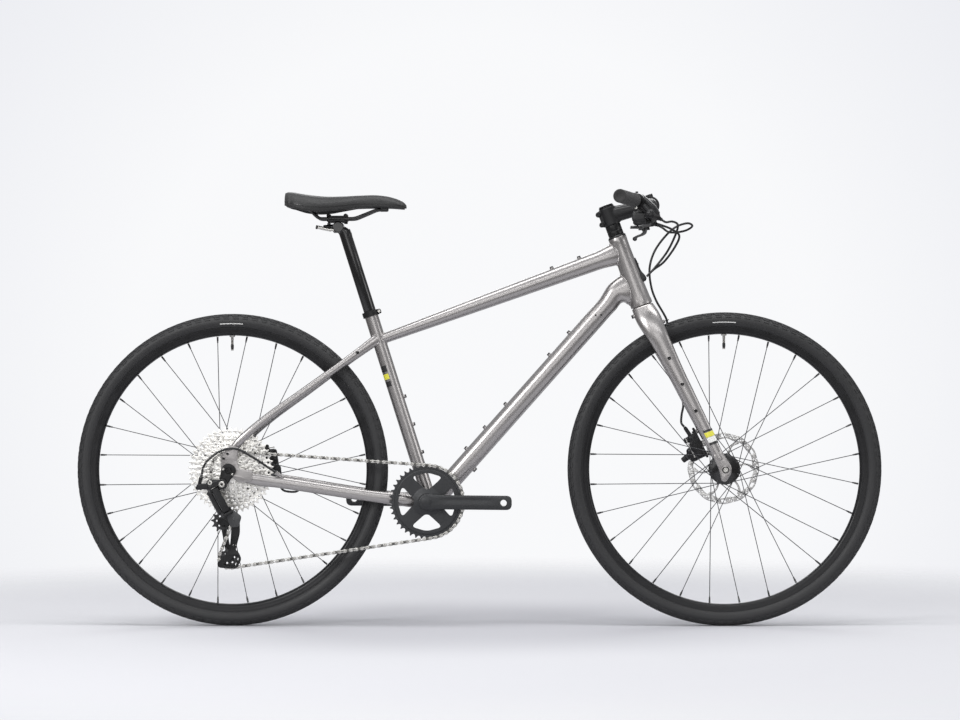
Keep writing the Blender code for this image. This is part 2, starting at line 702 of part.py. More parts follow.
def frame_fittings():
    """Seat collar, bottom bracket cups, derailleur hanger and rear axle."""
    low, high = SEAT_TOP - 0.011 * SEAT_UP, SEAT_TOP + 0.0012 * SEAT_UP
    outer = rod(low, high, SEAT_TUBE_RADIUS + GAP + 0.0030, 16)
    lug_low = SEAT_TOP + 0.0165 * SEAT_AHEAD - 0.0095 * SEAT_UP
    lug = rod(lug_low - 0.008 * ACROSS + 0.005 * SEAT_UP, lug_low + 0.008 * ACROSS + 0.005 * SEAT_UP,
              0.0050, 8)
    inner = rod(low - 0.01 * SEAT_UP, SEAT_TOP + 0.0003 * SEAT_UP, SEAT_TUBE_RADIUS + GAP, 16)
    throat = rod(low, high + 0.01 * SEAT_UP, SEAT_TUBE_BORE, 16)
    slot = rod(SEAT_TOP - 0.005 * SEAT_UP, SEAT_TOP - 0.005 * SEAT_UP + 0.030 * SEAT_AHEAD,
               0.0008, 4)
    node("seat_collar", cut(joined([outer, lug]), [inner, throat, slot]), black_alloy())
    face = BB_SHELL_WIDTH / 2
    for name, side in (("bottom_bracket_right", -1.0), ("bottom_bracket_left", 1.0)):
        bore = SPINDLE_RADIUS + RUNNING_GAP
        sleeve = BB_BORE - GAP
        ring = turned([
            (bore, side * 0.004), (sleeve, side * 0.004), (sleeve, side * (face + GAP)),
            (0.0215, side * (face + GAP)), (0.0210, side * (face + 0.0105)),
            (bore, side * (face + 0.0105))], 16)
        ring.location = BB
        node(name, baked(ring), black_alloy())
    y = -(dropout_y() + DROPOUT_THICKNESS / 2 + GAP)
    hook = Vector((REAR.x + HANGER_DROP[0], 0.0, REAR.z + HANGER_DROP[1]))
    away = math.atan2(HANGER_DROP[1], HANGER_DROP[0])
    outline = (arc((REAR.x, REAR.z), 0.0165, away + 1.75, away - 1.75 + 2 * math.pi, 9)
               + arc((hook.x, hook.z), 0.0095, away - 1.45, away + 1.45, 6))
    holes = [circle((REAR.x, REAR.z), AXLE_RADIUS + GAP, 12),
             circle((hook.x, hook.z), 0.0045 + GAP, 8)]
    hanger = plate([outline] + holes, y - 0.003, 0.006)
    node("derailleur_hanger", hanger, black_alloy())
    end = -y + 0.006
    axle = turned([(0.0, -end - 0.0015), (AXLE_RADIUS, -end - 0.0015), (AXLE_RADIUS, end - 0.0055),
                   (0.0095, end - 0.0055), (0.0095, end - 0.0010), (0.0, end - 0.0010)], 12)
    axle.location = REAR
    node("rear_axle", baked(axle), black_alloy())


# Steering


BLADE_ROWS = (0.001, 0.030, 0.065, 0.396 * AXLE_TO_CROWN, 0.693 * AXLE_TO_CROWN,
              AXLE_TO_CROWN - 0.026)


def blade_section(down):
    """Half width, half length and distance from the centre plane of a fork blade."""
    rows = [(down, *sizes) for down, sizes in zip(BLADE_ROWS, (
        (0.0240, 0.0150, 0.0100), (0.0270, 0.0150, 0.0260), (0.0240, 0.0120, 0.0380),
        (0.0180, 0.0100, 0.0440), (0.0150, 0.0085, 0.0500), (0.0120, 0.0065, 0.0565)))]
    for low, high in zip(rows, rows[1:]):
        if down <= high[0]:
            part = max(0.0, (down - low[0]) / (high[0] - low[0]))
            return [a + (b - a) * part for a, b in zip(low[1:], high[1:])]
    return list(rows[-1][1:])


def blade_centre(down):
    return down * FORK_OFFSET / AXLE_TO_CROWN


def fork(axis):
    """Steerer, crown, two tapering blades and their dropouts."""
    steerer = placed(turned([
        (0.0, -0.014), (STEERER_LOW_RADIUS, -0.014), (STEERER_LOW_RADIUS, 0.012),
        (STEERER_RADIUS, 0.060), (STEERER_RADIUS, STEM_CLAMP[1] - 0.003),
        (0.0, STEM_CLAMP[1] - 0.003)], 16, "Z"), steering_matrix())
    rings = []
    for down in BLADE_ROWS:
        half_long, half_wide, out = blade_section(down)
        centre = on_head(-down, blade_centre(down), out)
        rings.append(ellipse(centre, HEAD_AHEAD, ACROSS, half_long, half_wide, 10))
    left = loft(rings)
    pieces = [steerer, left, mirrored(left)]
    low = AXLE_TO_CROWN - 0.029
    up_blade = on_head(-low, blade_centre(low)) - FRONT
    inner = FRONT_HUB_WIDTH / 2 + GAP
    drop = plate([capsule((FRONT.x + up_blade.x * 1.3, FRONT.z + up_blade.z * 1.3),
                          (FRONT.x, FRONT.z - 0.0125), 0.0120, 0.0135)],
                 inner + 0.0058, 0.0116)
    pieces += [drop, mirrored(drop)]
    for down in (0.1305, 0.1940, 0.2595):
        half_long, half_wide, out = blade_section(down)
        lug = boss(on_head(-down, blade_centre(down), out + half_wide), ACROSS, sink=0.004)
        pieces += [lug, mirrored(lug)]
    pieces.append(boss(on_head(-0.017, -0.0245), -HEAD_AHEAD))
    behind = blade_matrix()
    for up in (0.045, 0.100):
        pieces.append(placed(rod((up, 0.0535, 0.0020), (up, 0.0535, CALIPER_FACE), 0.0055, 8),
                             behind))
    pieces.append(rod(HOSE_CLIP - 0.0085 * HEAD_AHEAD, HOSE_CLIP, 0.0040, 6))
    hole = rod((FRONT.x, -0.080, FRONT.z), (FRONT.x, 0.080, FRONT.z), AXLE_RADIUS + GAP, 12)
    node("fork", cut(joined(pieces), [hole]), paint(), axis)


def headset(axis):
    """The lower bearing, the upper bearing with its cover, the spacers and the top cap."""
    def ring(name, profile, parent):
        node(name, placed(turned(profile, 16, "Z"), steering_matrix()), black_alloy(), parent)

    bore = STEERER_RADIUS + RUNNING_GAP
    low_bore = STEERER_LOW_RADIUS + RUNNING_GAP
    top = HEAD_TUBE_LENGTH + GAP
    ring("headset_lower_bearing", [
        (low_bore, GAP - CROWN_SEAM), (LOWER_BEARING_RADIUS, GAP - CROWN_SEAM),
        (LOWER_BEARING_RADIUS, LOWER_BEARING_DEPTH), (low_bore, LOWER_BEARING_DEPTH)], None)
    ring("headset_upper_bearing", [
        (bore, HEAD_TUBE_LENGTH - UPPER_BEARING_DEPTH + GAP),
        (UPPER_BEARING_RADIUS, HEAD_TUBE_LENGTH - UPPER_BEARING_DEPTH + GAP),
        (UPPER_BEARING_RADIUS, top), (HEAD_TUBE_TOP_RADIUS + 0.0005, top),
        (0.0175, top + 0.0050), (bore, top + 0.0050)], None)
    ring("headset_spacer", [
        (bore, top + 0.0053), (0.0172, top + 0.0053), (0.0172, STEM_CLAMP[0] - GAP),
        (bore, STEM_CLAMP[0] - GAP)], axis)
    cap = STEM_CLAMP[1] + GAP
    ring("headset_top_cap", [
        (0.0, cap), (0.0172, cap), (0.0165, cap + 0.0052), (0.0060, cap + 0.0052),
        (0.0, cap + 0.0025)], axis)


def stem(axis):
    """The stem and the faceplate that closes it round the handlebar."""
    low, high = STEM_CLAMP
    bar = Vector((BAR_REACH, 0.0, BAR_RISE))
    back = Vector((0.006, 0.0, (low + high) / 2))
    run = (bar - back).normalized()
    rise = Vector((-run.z, 0.0, run.x))
    whole = joined([
        rod((0.0, 0.0, low), (0.0, 0.0, high), STEM_RADIUS, 16),
        loft([ellipse(back, rise, ACROSS, 0.0165, 0.0160, 10),
              ellipse(bar - 0.012 * run, rise, ACROSS, 0.0155, 0.0175, 10)]),
        block((-0.0265, -0.0105, low + 0.001), (-0.0080, 0.0105, high - 0.001)),
        rod((BAR_REACH, -0.0215, BAR_RISE), (BAR_REACH, 0.0215, BAR_RISE), 0.0205, 16),
        block((BAR_REACH - 0.009, -0.0215, BAR_RISE - 0.0245),
              (BAR_REACH + 0.0115, 0.0215, BAR_RISE + 0.0245))])
    split = BAR_REACH + 0.002
    under, over = low - 0.040, high + 0.029
    front = block((split - 0.0004, -0.04, under), (split + 0.05, 0.04, over))
    rear = block((-0.05, -0.04, under), (split + 0.0004, 0.04, over))
    bar_bore = rod((BAR_REACH, -0.04, BAR_RISE), (BAR_REACH, 0.04, BAR_RISE),
                   BAR_CLAMP_RADIUS + 0.0008, 16)
    steerer_bore = rod((0.0, 0.0, under), (0.0, 0.0, over), STEERER_RADIUS + 0.0004, 16)
    slot = block((-0.04, -0.0006, under), (-0.010, 0.0006, over))
    plate_blank = piece(whole.data.copy())
    bore_copy = piece(bar_bore.data.copy())
    body = cut(whole, [front, bar_bore, steerer_bore, slot])
    cover = cut(plate_blank, [rear, bore_copy])
    node("stem", placed(body, steering_matrix()), black_alloy(), axis)
    node("stem_faceplate", placed(cover, steering_matrix()), black_alloy(), axis)


def bar_point(y):
    """A point on the handlebar's axis: straight at the stem, then swept back and slightly up."""
    out = max(0.0, abs(y) - 0.040)
    centre = on_head(BAR_RISE, BAR_REACH)
    return Vector((centre.x - out * math.tan(BAR_SWEEP), y, centre.z + 0.0143 * out))


def bar_direction(side):
    return (bar_point(side * 0.30) - bar_point(side * 0.10)).normalized()


def handlebar(axis):
    end = BAR_WIDTH / 2 - 0.0035
    rings = []
    for y, radius in ((-end, BAR_RADIUS), (-0.085, BAR_RADIUS), (-0.040, 0.0150),
                      (-BAR_CLAMP_HALF, BAR_CLAMP_RADIUS), (BAR_CLAMP_HALF, BAR_CLAMP_RADIUS),
                      (0.040, 0.0150), (0.085, BAR_RADIUS), (end, BAR_RADIUS)):
        run = bar_point(y + 0.001) - bar_point(y - 0.001)
        rings.append(ellipse(bar_point(y), (0.0, 0.0, 1.0), (run.y, -run.x, 0.0), radius, radius, 12))
    node("handlebar", loft(rings), black_alloy(), axis)
    start = BAR_WIDTH / 2 - GRIP_LENGTH * math.cos(BAR_SWEEP)
    bore = BAR_RADIUS + 0.0005
    grip = turned([
        (0.0, GRIP_LENGTH), (GRIP_RADIUS - 0.002, GRIP_LENGTH), (GRIP_RADIUS, GRIP_LENGTH - 0.003),
        (GRIP_RADIUS, 0.002), (GRIP_RADIUS - 0.001, 0.0), (bore, 0.0),
        (bore, GRIP_LENGTH - 0.0025), (0.0, GRIP_LENGTH - 0.0025)], 12)
    turn = bar_direction(1).to_track_quat("Y", "Z").to_matrix().to_4x4()
    left = placed(grip, Matrix.Translation(bar_point(start)) @ turn)
    right = mirrored(left)
    node("grip_left", left, rubber(), axis)
    node("grip_right", right, rubber(), axis)


def control_matrix():
    """The left controls' frame: on the bar, with X forward, Y outboard and Z up."""
    out = bar_direction(1)
    ahead = out.cross(Vector((0.0, 0.0, 1.0))).normalized()
    return frame_matrix(bar_point(CONTROL_Y), ahead, out)


def lever_matrix():
    """The brake lever's plane: first axis outboard, second away from the bar, from the bar's axis."""
    tilt = math.radians(75.0)
    away = Vector((math.cos(tilt), 0.0, -math.sin(tilt)))
    normal = Vector((math.sin(tilt), 0.0, math.cos(tilt)))
    return control_matrix() @ frame_matrix(0.0146 * normal, (0.0, 1.0, 0.0), away)


def brake_controls(axis):
    """A hydraulic brake control at each side: clamp and cylinder body, and a hinged lever."""
    control, plane = control_matrix(), lever_matrix()
    out, away = LEVER_PIVOT
    ring = turned([(0.0117, 0.004), (0.0165, 0.004), (0.0165, 0.016), (0.0117, 0.016)], 12)
    pieces = [
        placed(ring, control),
        placed(rod((0.010, 0.010, -0.010), (0.028, 0.010, -0.028), 0.0055, 6), control),
        placed(rod((0.030, -0.035, -0.030), (0.030, 0.030, -0.030), 0.0110, 10), control),
        placed(rod(OUTLET - 0.0160 * OUTLET_WAY, OUTLET, 0.0042, 6), control),
        placed(block((out - 0.009, 0.0340, -0.0075), (out + 0.0095, away + 0.0070, 0.0075)), plane)]
    pocket = placed(block((out - 0.0075, away - 0.0073, -0.0044), (0.060, 0.090, 0.0044)), plane)
    hole = placed(rod((out, away, -0.012), (out, away, 0.012), 0.0027, 10), plane)
    left = cut(joined(pieces), [pocket, hole])
    right = mirrored(left)
    node("brake_master_left", left, black_alloy(), axis)
    node("brake_master_right", right, black_alloy(), axis)
    path = [(out, away), (0.026, 0.0610), (0.044, 0.0705), (0.080, 0.0790), (0.110, 0.0860),
            (0.121, 0.0915)]
    blade = slab([ribbon(path, (0.0045, 0.0040, 0.0032, 0.0028, 0.0028, 0.0030))], 0.0082, plane)
    hub = placed(rod((out, away, -0.0041), (out, away, 0.0041), 0.0060, 10), plane)
    pin = placed(rod((out, away, -0.0074), (out, away, 0.0074), 0.0023, 8), plane)
    ball = placed(rod((0.1215, 0.0920, -0.0045), (0.1215, 0.0920, 0.0045), 0.0052, 8), plane)
    left = joined([blade, hub, pin, ball])
    right = mirrored(left)
    pivot = plane @ Vector((out, away, 0.0))
    for name, lever, side in (("brake_lever_left", left, 1), ("brake_lever_right", right, -1)):
        hinge = empty(name + "_axis", (pivot.x, side * pivot.y, pivot.z), parent=axis)
        node(name, lever, black_alloy(), hinge)


def shifter(axis):
    """The right-hand shifter: clamp and pod, with a main paddle and a release paddle below it."""
    control = control_matrix()
    x, y = SHIFTER_PIVOT
    ring = turned([(0.0117, -0.022), (0.0160, -0.022), (0.0160, -0.010), (0.0117, -0.010)], 12)
    pieces = [
        ring,
        block((-0.006, -0.021, -0.024), (0.006, -0.011, -0.0130)),
        block((-0.019, -0.045, -0.050), (0.0165, -0.008, -0.020), 0.005),
        rod((x, y, -0.045), (x, y, -0.0605), 0.0030, 8),
        rod((x, y, -0.0585), (x, y, -0.0605), 0.0052, 8),
        rod((0.010, -0.0385, -0.0390), (0.0262, -0.0515, -0.0448), 0.0040, 8)]
    node("shifter_body", mirrored_only(placed(joined(pieces), control)), black_plastic(), axis)
    hub = circle(SHIFTER_PIVOT, 0.0034, 10)
    main = slab([ribbon([(0.004, -0.031), (x, y), (-0.018, -0.020), (-0.032, -0.013)],
                        (0.004, 0.0068, 0.0050, 0.0070)), hub], 0.0034,
                control @ Matrix.Translation((0.0, 0.0, -0.0561)))
    release = slab([ribbon([(0.003, -0.0255), (x, y), (-0.014, -0.034), (-0.025, -0.037)],
                           (0.004, 0.0068, 0.0045, 0.0055)), hub], 0.0034,
                   control @ Matrix.Translation((0.0, 0.0, -0.0522)))
    pivot = control @ Vector((x, y, -0.055))
    for name, paddle in (("shift_lever_main", main), ("shift_lever_release", release)):
        hinge = empty(name + "_axis", (pivot.x, -pivot.y, pivot.z), parent=axis)
        node(name, mirrored_only(paddle), black_alloy(), hinge)


def mirrored_only(obj):
    """The piece moved to the other side, with none left on this one."""
    made = mirrored(obj)
    bpy.data.objects.remove(obj)
    return made


def blade_matrix():
    """The fork blade's frame: from the front axle, up the blade, across, and behind it."""
    middle = 0.743 * AXLE_TO_CROWN
    up = on_head(-middle, blade_centre(middle)) - FRONT
    return frame_matrix(FRONT, up, ACROSS)


def front_brake(axis):
    """The caliper behind the left blade, open round its rotor, and its hose from the left lever."""
    frame_of_blade = blade_matrix()
    pieces = [
        placed(block((0.031, FRONT_ROTOR_Y - 0.0090, 0.0180), (0.117, 0.0475, 0.0465), 0.004),
               frame_of_blade),
        placed(block((0.036, 0.0400, CALIPER_FACE + GAP), (0.112, 0.0590, 0.0230)), frame_of_blade),
        placed(rod((0.112, 0.0400, 0.034), (0.1215, 0.0400, 0.036), 0.0042, 8), frame_of_blade)]
    slot = rod((FRONT.x, FRONT_ROTOR_Y - 0.0022, FRONT.z), (FRONT.x, FRONT_ROTOR_Y + 0.0022, FRONT.z),
               ROTOR_RADIUS + 0.0025, 32)
    node("front_brake_caliper", cut(joined(pieces), [slot]), black_alloy(), axis)
    start, way = hose_start(1)
    down_to_clip = [
        start, start + 0.010 * way, *(CROWN + Vector(place) for place in (
            (0.0668, 0.104, 0.1670), (0.0978, 0.080, 0.1690), (0.1148, 0.060, 0.1785),
            (0.1038, 0.044, 0.1845), (0.0774, 0.036, 0.1760), (0.0518, 0.033, 0.1530),
            (0.0288, 0.033, 0.1200), (0.0183, 0.033, 0.0830), (0.0218, 0.033, 0.0430),
            (0.0330, 0.033, 0.0110))),
        HOSE_CLIP + (HOSE_RADIUS + 0.0020) * HEAD_AHEAD]
    past_blade = [frame_of_blade @ Vector(place) for place in (
        (0.3340, 0.0490, -0.0215), (0.3110, 0.0556, -0.0010), (0.2760, 0.0552, 0.0118),
        (0.2407, 0.0558, 0.0115), (0.2054, 0.0568, 0.0115), (0.1702, 0.0562, 0.0140),
        (0.1490, 0.0500, 0.0285), (0.1330, 0.0402, 0.0380), (0.1222, 0.0400, 0.0362))]
    node("front_brake_hose", wire(smooth_route(down_to_clip + past_blade, 0.028), HOSE_RADIUS, 1),
         black_plastic(), axis)


def hose_start(side):
    """Just off the mouth of a brake control's outlet, and the way the hose leaves it."""
    tip, way = control_matrix() @ (OUTLET + 0.0005 * OUTLET_WAY), OUTLET_WAY.copy()
    way.rotate(control_matrix().to_3x3())
    return Vector((tip.x, side * tip.y, tip.z)), Vector((way.x, side * way.y, way.z))


def cables():
    """The rear brake hose and the shift housing, from the controls to the head tube's port."""
    brake, way = hose_start(-1)
    loop = [CROWN + Vector(place) for place in (
        (0.0648, -0.096, 0.1815), (0.0778, -0.068, 0.1755), (0.0738, -0.040, 0.1550),
        (0.0558, -0.016, 0.1180))]
    route = [brake, brake + 0.010 * way, *loop,
             on_head(PORT_UP + 0.011, PORT_AHEAD + 0.022, -0.0048),
             on_head(PORT_UP, PORT_AHEAD, -0.0040)]
    node("rear_brake_hose", wire(smooth_route(route, 0.024), HOSE_RADIUS, 1), black_plastic())
    tip = control_matrix() @ Vector((0.0276, -0.0528, -0.0454))
    shift = Vector((tip.x, -tip.y, tip.z))
    loop = [CROWN + Vector(place) for place in (
        (0.0638, -0.070, 0.1660), (0.0818, -0.044, 0.1530), (0.0738, -0.020, 0.1300),
        (0.0498, -0.002, 0.0970))]
    route = [shift, shift + Vector((0.012, 0.014, -0.003)), *loop,
             on_head(PORT_UP + 0.009, PORT_AHEAD + 0.020, 0.0040),
             on_head(PORT_UP, PORT_AHEAD, 0.0040)]
    node("shift_housing", wire(smooth_route(route, 0.024), HOSE_RADIUS, 1), black_plastic())


def head_tube_profile(extra):
    low, high, length = HEAD_TUBE_LOW_RADIUS, HEAD_TUBE_TOP_RADIUS, HEAD_TUBE_LENGTH
    return [(0.0, 0.0), (low + extra, 0.0), (low + extra, 0.010), (low - 0.002 + extra, 0.045),
            (high + extra, length - 0.030), (high + extra, length), (0.0, length)]


def head_tube_port():
    """The dark inlay down the front of the head tube, and its nose where the cables enter."""
    strip = joined([
        block((0.0150, -0.0065, PORT_UP - 0.0010), (0.0240, 0.0065, PORT_UP + 0.0480)),
        block((0.0150, -0.0080, PORT_UP - 0.0090), (0.0302, 0.0080, PORT_UP + 0.0080), 0.002)])
    strip = placed(strip, steering_matrix())
    tube = placed(turned(head_tube_profile(GAP), 16, "Z"), steering_matrix())
    node("head_tube_cable_port", cut(strip, [tube]), black_plastic())


# Wheels


def spoke_reach(angle, y):
    """How far out a spoke's end meets the rim's inner face, which has flat facets."""
    facet = 2 * math.pi / WHEEL_STEPS
    edge = (abs(y) - SPOKE_RADIUS) / (RIM_WIDTH / 2)
    radius = RIM_INNER_RADIUS + (RIM_SHOULDER_RADIUS - RIM_INNER_RADIUS) * edge
    return radius * math.cos(facet / 2) / math.cos(angle % facet - facet / 2) - GAP


def wheel(name, hub_centre, flanges, hub_profile, rotor_y, parent):
    """Tyre, rim, laced hub, brake rotor and valve of one wheel."""
    half = RIM_WIDTH / 2
    inside = half - RIM_WALL
    bead = inside - GAP
    rim = turned([
        (RIM_EDGE_RADIUS, -half), (RIM_EDGE_RADIUS, -inside), (RIM_WELL_RADIUS, -inside),
        (RIM_WELL_RADIUS, inside), (RIM_EDGE_RADIUS, inside), (RIM_EDGE_RADIUS, half),
        (RIM_SHOULDER_RADIUS, half), (RIM_INNER_RADIUS, 0.0), (RIM_SHOULDER_RADIUS, -half)],
        WHEEL_STEPS)
    widest = RIM_EDGE_RADIUS + 0.377 * TYRE_HEIGHT
    crown = TYRE_RADIUS - widest
    casing = [(widest + crown * math.sin(turn), TYRE_WIDTH / 2 * math.cos(turn))
              for turn in map(math.radians, (0, 18, 44))]
    seat = [(RIM_EDGE_RADIUS + 0.0006, bead), (RIM_WELL_RADIUS + GAP, bead)]
    tyre = turned([(r, -y) for r, y in seat[::-1] + casing] + [(TYRE_RADIUS, 0.0)]
                  + casing[::-1] + seat, WHEEL_STEPS)
    spokes = []
    per_side = SPOKES // 2
    step = 2 * math.pi / per_side
    for side, flange in ((-1, flanges[0]), (1, flanges[1])):
        for i in range(per_side):
            lead = 1 if i % 2 else -1
            at_hub = i * step + (step / 2 if side > 0 else 0.0) + step / 4
            at_rim = at_hub + lead * SPOKE_CROSSINGS * step
            y = flange + lead * SPOKE_OFFSET
            reach = spoke_reach(at_rim, NIPPLE_OFFSET)
            spokes.append(rod(
                (SPOKE_CIRCLE_RADIUS * math.cos(at_hub), y, SPOKE_CIRCLE_RADIUS * math.sin(at_hub)),
                (reach * math.cos(at_rim), side * NIPPLE_OFFSET, reach * math.sin(at_rim)),
                SPOKE_RADIUS, 3))
    hub = joined([turned(hub_profile, 12)] + spokes)
    bore = 0.0152
    arms = ROTOR_ARMS
    outlines = [circle((0.0, 0.0), ROTOR_RADIUS, 28), circle((0.0, 0.0), bore, 12)]
    for i in range(arms):
        middle = 2 * math.pi * (i + 0.5) / arms
        wide, narrow = math.pi / arms - 0.10, math.pi / arms - 0.22
        outlines.append(arc((0.0, 0.0), 0.0640, middle - wide + 0.10, middle + wide + 0.10, 4)
                        + arc((0.0, 0.0), 0.0240, middle + narrow - 0.12, middle - narrow - 0.12, 2))
    rotor = plate(outlines, rotor_y, ROTOR_THICKNESS)
    top = RIM_INNER_RADIUS - GAP
    valve = rod((0.0, 0.0, top - VALVE_LENGTH), (0.0, 0.0, top - 0.0002), VALVE_RADIUS, 8)
    for kind, obj, finish in (("tyre", tyre, rubber()), ("rim", rim, black_alloy()),
                              ("hub", hub, black_alloy()), ("brake_rotor", rotor, steel()),
                              ("valve", valve, steel())):
        node(name + "_" + kind, placed(obj, Matrix.Translation(hub_centre)), finish, parent)


def wheels(steering):
    bore = AXLE_RADIUS + RUNNING_GAP
    front_axis = empty("front_wheel_axis", FRONT, parent=steering)
    right, left = FRONT_FLANGES
    half, end = FLANGE_THICKNESS / 2, FRONT_HUB_WIDTH / 2
    seat, disc = FRONT_ROTOR_Y, ROTOR_THICKNESS / 2
    wheel("front", FRONT, FRONT_FLANGES, [
        (bore, -end), (0.0100, -end), (0.0120, right - half - 0.004), (FLANGE_RADIUS, right - half),
        (FLANGE_RADIUS, right + half), (0.0165, right + half + 0.004), (0.0165, left - half - 0.004),
        (FLANGE_RADIUS, left - half), (FLANGE_RADIUS, left + half), (0.0190, left + half + 0.003),
        (0.0190, seat - disc - GAP), (0.0146, seat - disc - GAP), (0.0146, seat + disc + GAP),
        (0.0190, seat + disc + GAP), (0.0100, seat + disc + 0.0060), (0.0100, end),
        (bore, end)], seat, front_axis)
    rear_axis = empty("rear_wheel_axis", REAR)
    right, left = REAR_FLANGES
    end, seat = REAR_HUB_WIDTH / 2 - GAP, REAR_ROTOR_Y
    wheel("rear", REAR, REAR_FLANGES, [
        (bore, -0.0285), (0.0180, -0.0285),
        (FLANGE_RADIUS, right - half), (FLANGE_RADIUS, right + half), (0.0175, right + half + 0.004),
        (0.0175, left - half - 0.004), (FLANGE_RADIUS, left - half), (FLANGE_RADIUS, left + half),
        (0.0190, left + half + 0.004), (0.0190, seat - disc - GAP), (0.0146, seat - disc - GAP),
        (0.0146, seat + disc + GAP), (0.0190, seat + disc + GAP), (0.0100, seat + disc + 0.0065),
        (0.0100, end), (bore, end)], seat, rear_axis)
    node("front_axle", placed(turned([
        (0.0, -0.0640), (AXLE_RADIUS, -0.0640), (AXLE_RADIUS, 0.0625), (0.0095, 0.0625),
        (0.0095, 0.0660), (0.0, 0.0660)], 12), Matrix.Translation(FRONT)), black_alloy(), steering)


def rear_brake():
    """The rear caliper on the left chainstay, open round its rotor, and its hose's last stretch."""
    lean = math.radians(8.0)
    polar = frame_matrix(REAR, (math.cos(lean), 0.0, math.sin(lean)), ACROSS)
    body = joined([
        placed(block((0.0640, 0.0400, -0.0370), (0.1045, 0.0640, 0.0370), 0.004), polar),
        placed(rod((0.0950, 0.0455, -0.030), (0.0950, 0.0455, -0.0415), 0.0042, 8), polar)])
    slot = rod((REAR.x, REAR_ROTOR_Y - 0.0022, REAR.z), (REAR.x, REAR_ROTOR_Y + 0.0022, REAR.z),
               ROTOR_RADIUS + 0.0025, 32)
    foot = block((REAR.x + 0.028, 0.0532, REAR.z - 0.068),
                 (REAR.x + 0.128, 0.0900, REAR_PAD_TOP + GAP))
    node("rear_brake_caliper", cut(body, [slot, foot]), black_alloy())
    start = polar @ Vector((0.0950, 0.0455, -0.0420))
    end = REAR_HOSE_PORT + 0.0005 * REAR_HOSE_WAY
    route = [start, start + Vector((0.0020, 0.0, -0.0110)),
             REAR + Vector((0.1119, 0.0450, -0.0495)), end + 0.013 * REAR_HOSE_WAY, end]
    node("rear_brake_hose_end", wire(smooth_route(route, 0.012), HOSE_RADIUS, 1), black_plastic())


# Drive


def sprocket_radius(teeth):
    return PITCH / (2 * math.sin(math.pi / teeth))


COG_TEETH = SPROCKETS[ENGAGED_SPROCKET]
COG_CENTRE = (REAR.x, REAR.z)
RING_CENTRE = (BB.x, BB.z)


def pulley_centres(swing):
    """The guide and tension pulleys' centres, with the cage turned by this angle about its pivot."""
    pivot = Vector(CAGE_PIVOT)
    guide = Vector(GUIDE_PULLEY) - pivot
    tension = guide + Vector((0.247, -0.969)) * PULLEY_DISTANCE
    turn = Matrix.Rotation(swing, 2)
    return pivot + turn @ guide, pivot + turn @ tension


def chain_path(swing):
    """The chain's loop in the bicycle's plane, as arcs and lines: lower run, pulleys, sprocket."""
    guide, tension = pulley_centres(swing)
    wheels_of_chain = ((Vector(RING_CENTRE), CHAINRING_TEETH, -1), (tension, PULLEY_TEETH, -1),
                       (guide, PULLEY_TEETH, 1), (Vector(COG_CENTRE), COG_TEETH, -1))
    count = len(wheels_of_chain)
    tangents = []
    for i in range(count):
        (a, teeth_a, turn_a), (b, teeth_b, turn_b) = wheels_of_chain[i], wheels_of_chain[(i + 1) % count]
        radius_a, radius_b = sprocket_radius(teeth_a), sprocket_radius(teeth_b)
        apart = b - a
        heading = math.atan2(apart.y, apart.x)
        heading -= math.asin((turn_b * radius_b - turn_a * radius_a) / apart.length)
        normal = Vector((-math.sin(heading), math.cos(heading)))
        tangents.append((a - turn_a * radius_a * normal, b - turn_b * radius_b * normal))
    path = []
    for i, (centre, teeth, turn) in enumerate(wheels_of_chain):
        arrive, leave = tangents[i - 1][1] - centre, tangents[i][0] - centre
        start = math.atan2(arrive.y, arrive.x)
        sweep = (math.atan2(leave.y, leave.x) - start) % (2 * math.pi)
        if turn < 0:
            sweep -= 2 * math.pi
        radius = sprocket_radius(teeth)
        path.append(("arc", centre, radius, start, sweep, abs(sweep) * radius))
        first, last = tangents[i]
        path.append(("line", first, last, 0.0, 0.0, (last - first).length))
    return path


def path_point(path, distance):
    distance %= sum(part[-1] for part in path)
    for kind, first, second, start, sweep, length in path:
        if distance <= length:
            share = distance / length
            if kind == "line":
                return first.lerp(second, share)
            angle = start + sweep * share
            return first + second * Vector((math.cos(angle), math.sin(angle)))
        distance -= length
    return path_point(path, 0.0)


def chain_pins(path, links):
    """Pins one pitch apart in a straight line, and how far they fall short of closing the loop."""
    pins, travelled = [path_point(path, 0.0)], 0.0
    for _ in range(links):
        low, high = travelled + 0.99 * PITCH, travelled + 1.05 * PITCH
        for _ in range(26):
            middle = (low + high) / 2
            if (path_point(path, middle) - pins[-1]).length < PITCH:
                low = middle
            else:
                high = middle
        travelled = low
        pins.append(path_point(path, travelled))
    return pins[:-1], sum(part[-1] for part in path) - travelled


def closed_chain():
    """The cage's swing at which a whole, even number of links closes the loop, and the pins then."""
    length = sum(part[-1] for part in chain_path(0.0))
    links = 2 * round(length / PITCH / 2 - 0.1)
    low, high = -0.25, 0.25
    for _ in range(22):
        middle = (low + high) / 2
        if chain_pins(chain_path(middle), links)[1] > 0.0:
            low = middle
        else:
            high = middle
    swing = (low + high) / 2
    return swing, chain_pins(chain_path(swing), links)[0]


CAGE_SWING, PINS = closed_chain()


def phase_at(centre, radius):
    """The angle of a chain pin that lies on this pitch circle."""
    centre = Vector(centre)
    pin = min(PINS, key=lambda p: abs((p - centre).length - radius) + 0.001 * (p - centre).x)
    return math.atan2(pin.y - centre.y, pin.x - centre.x)


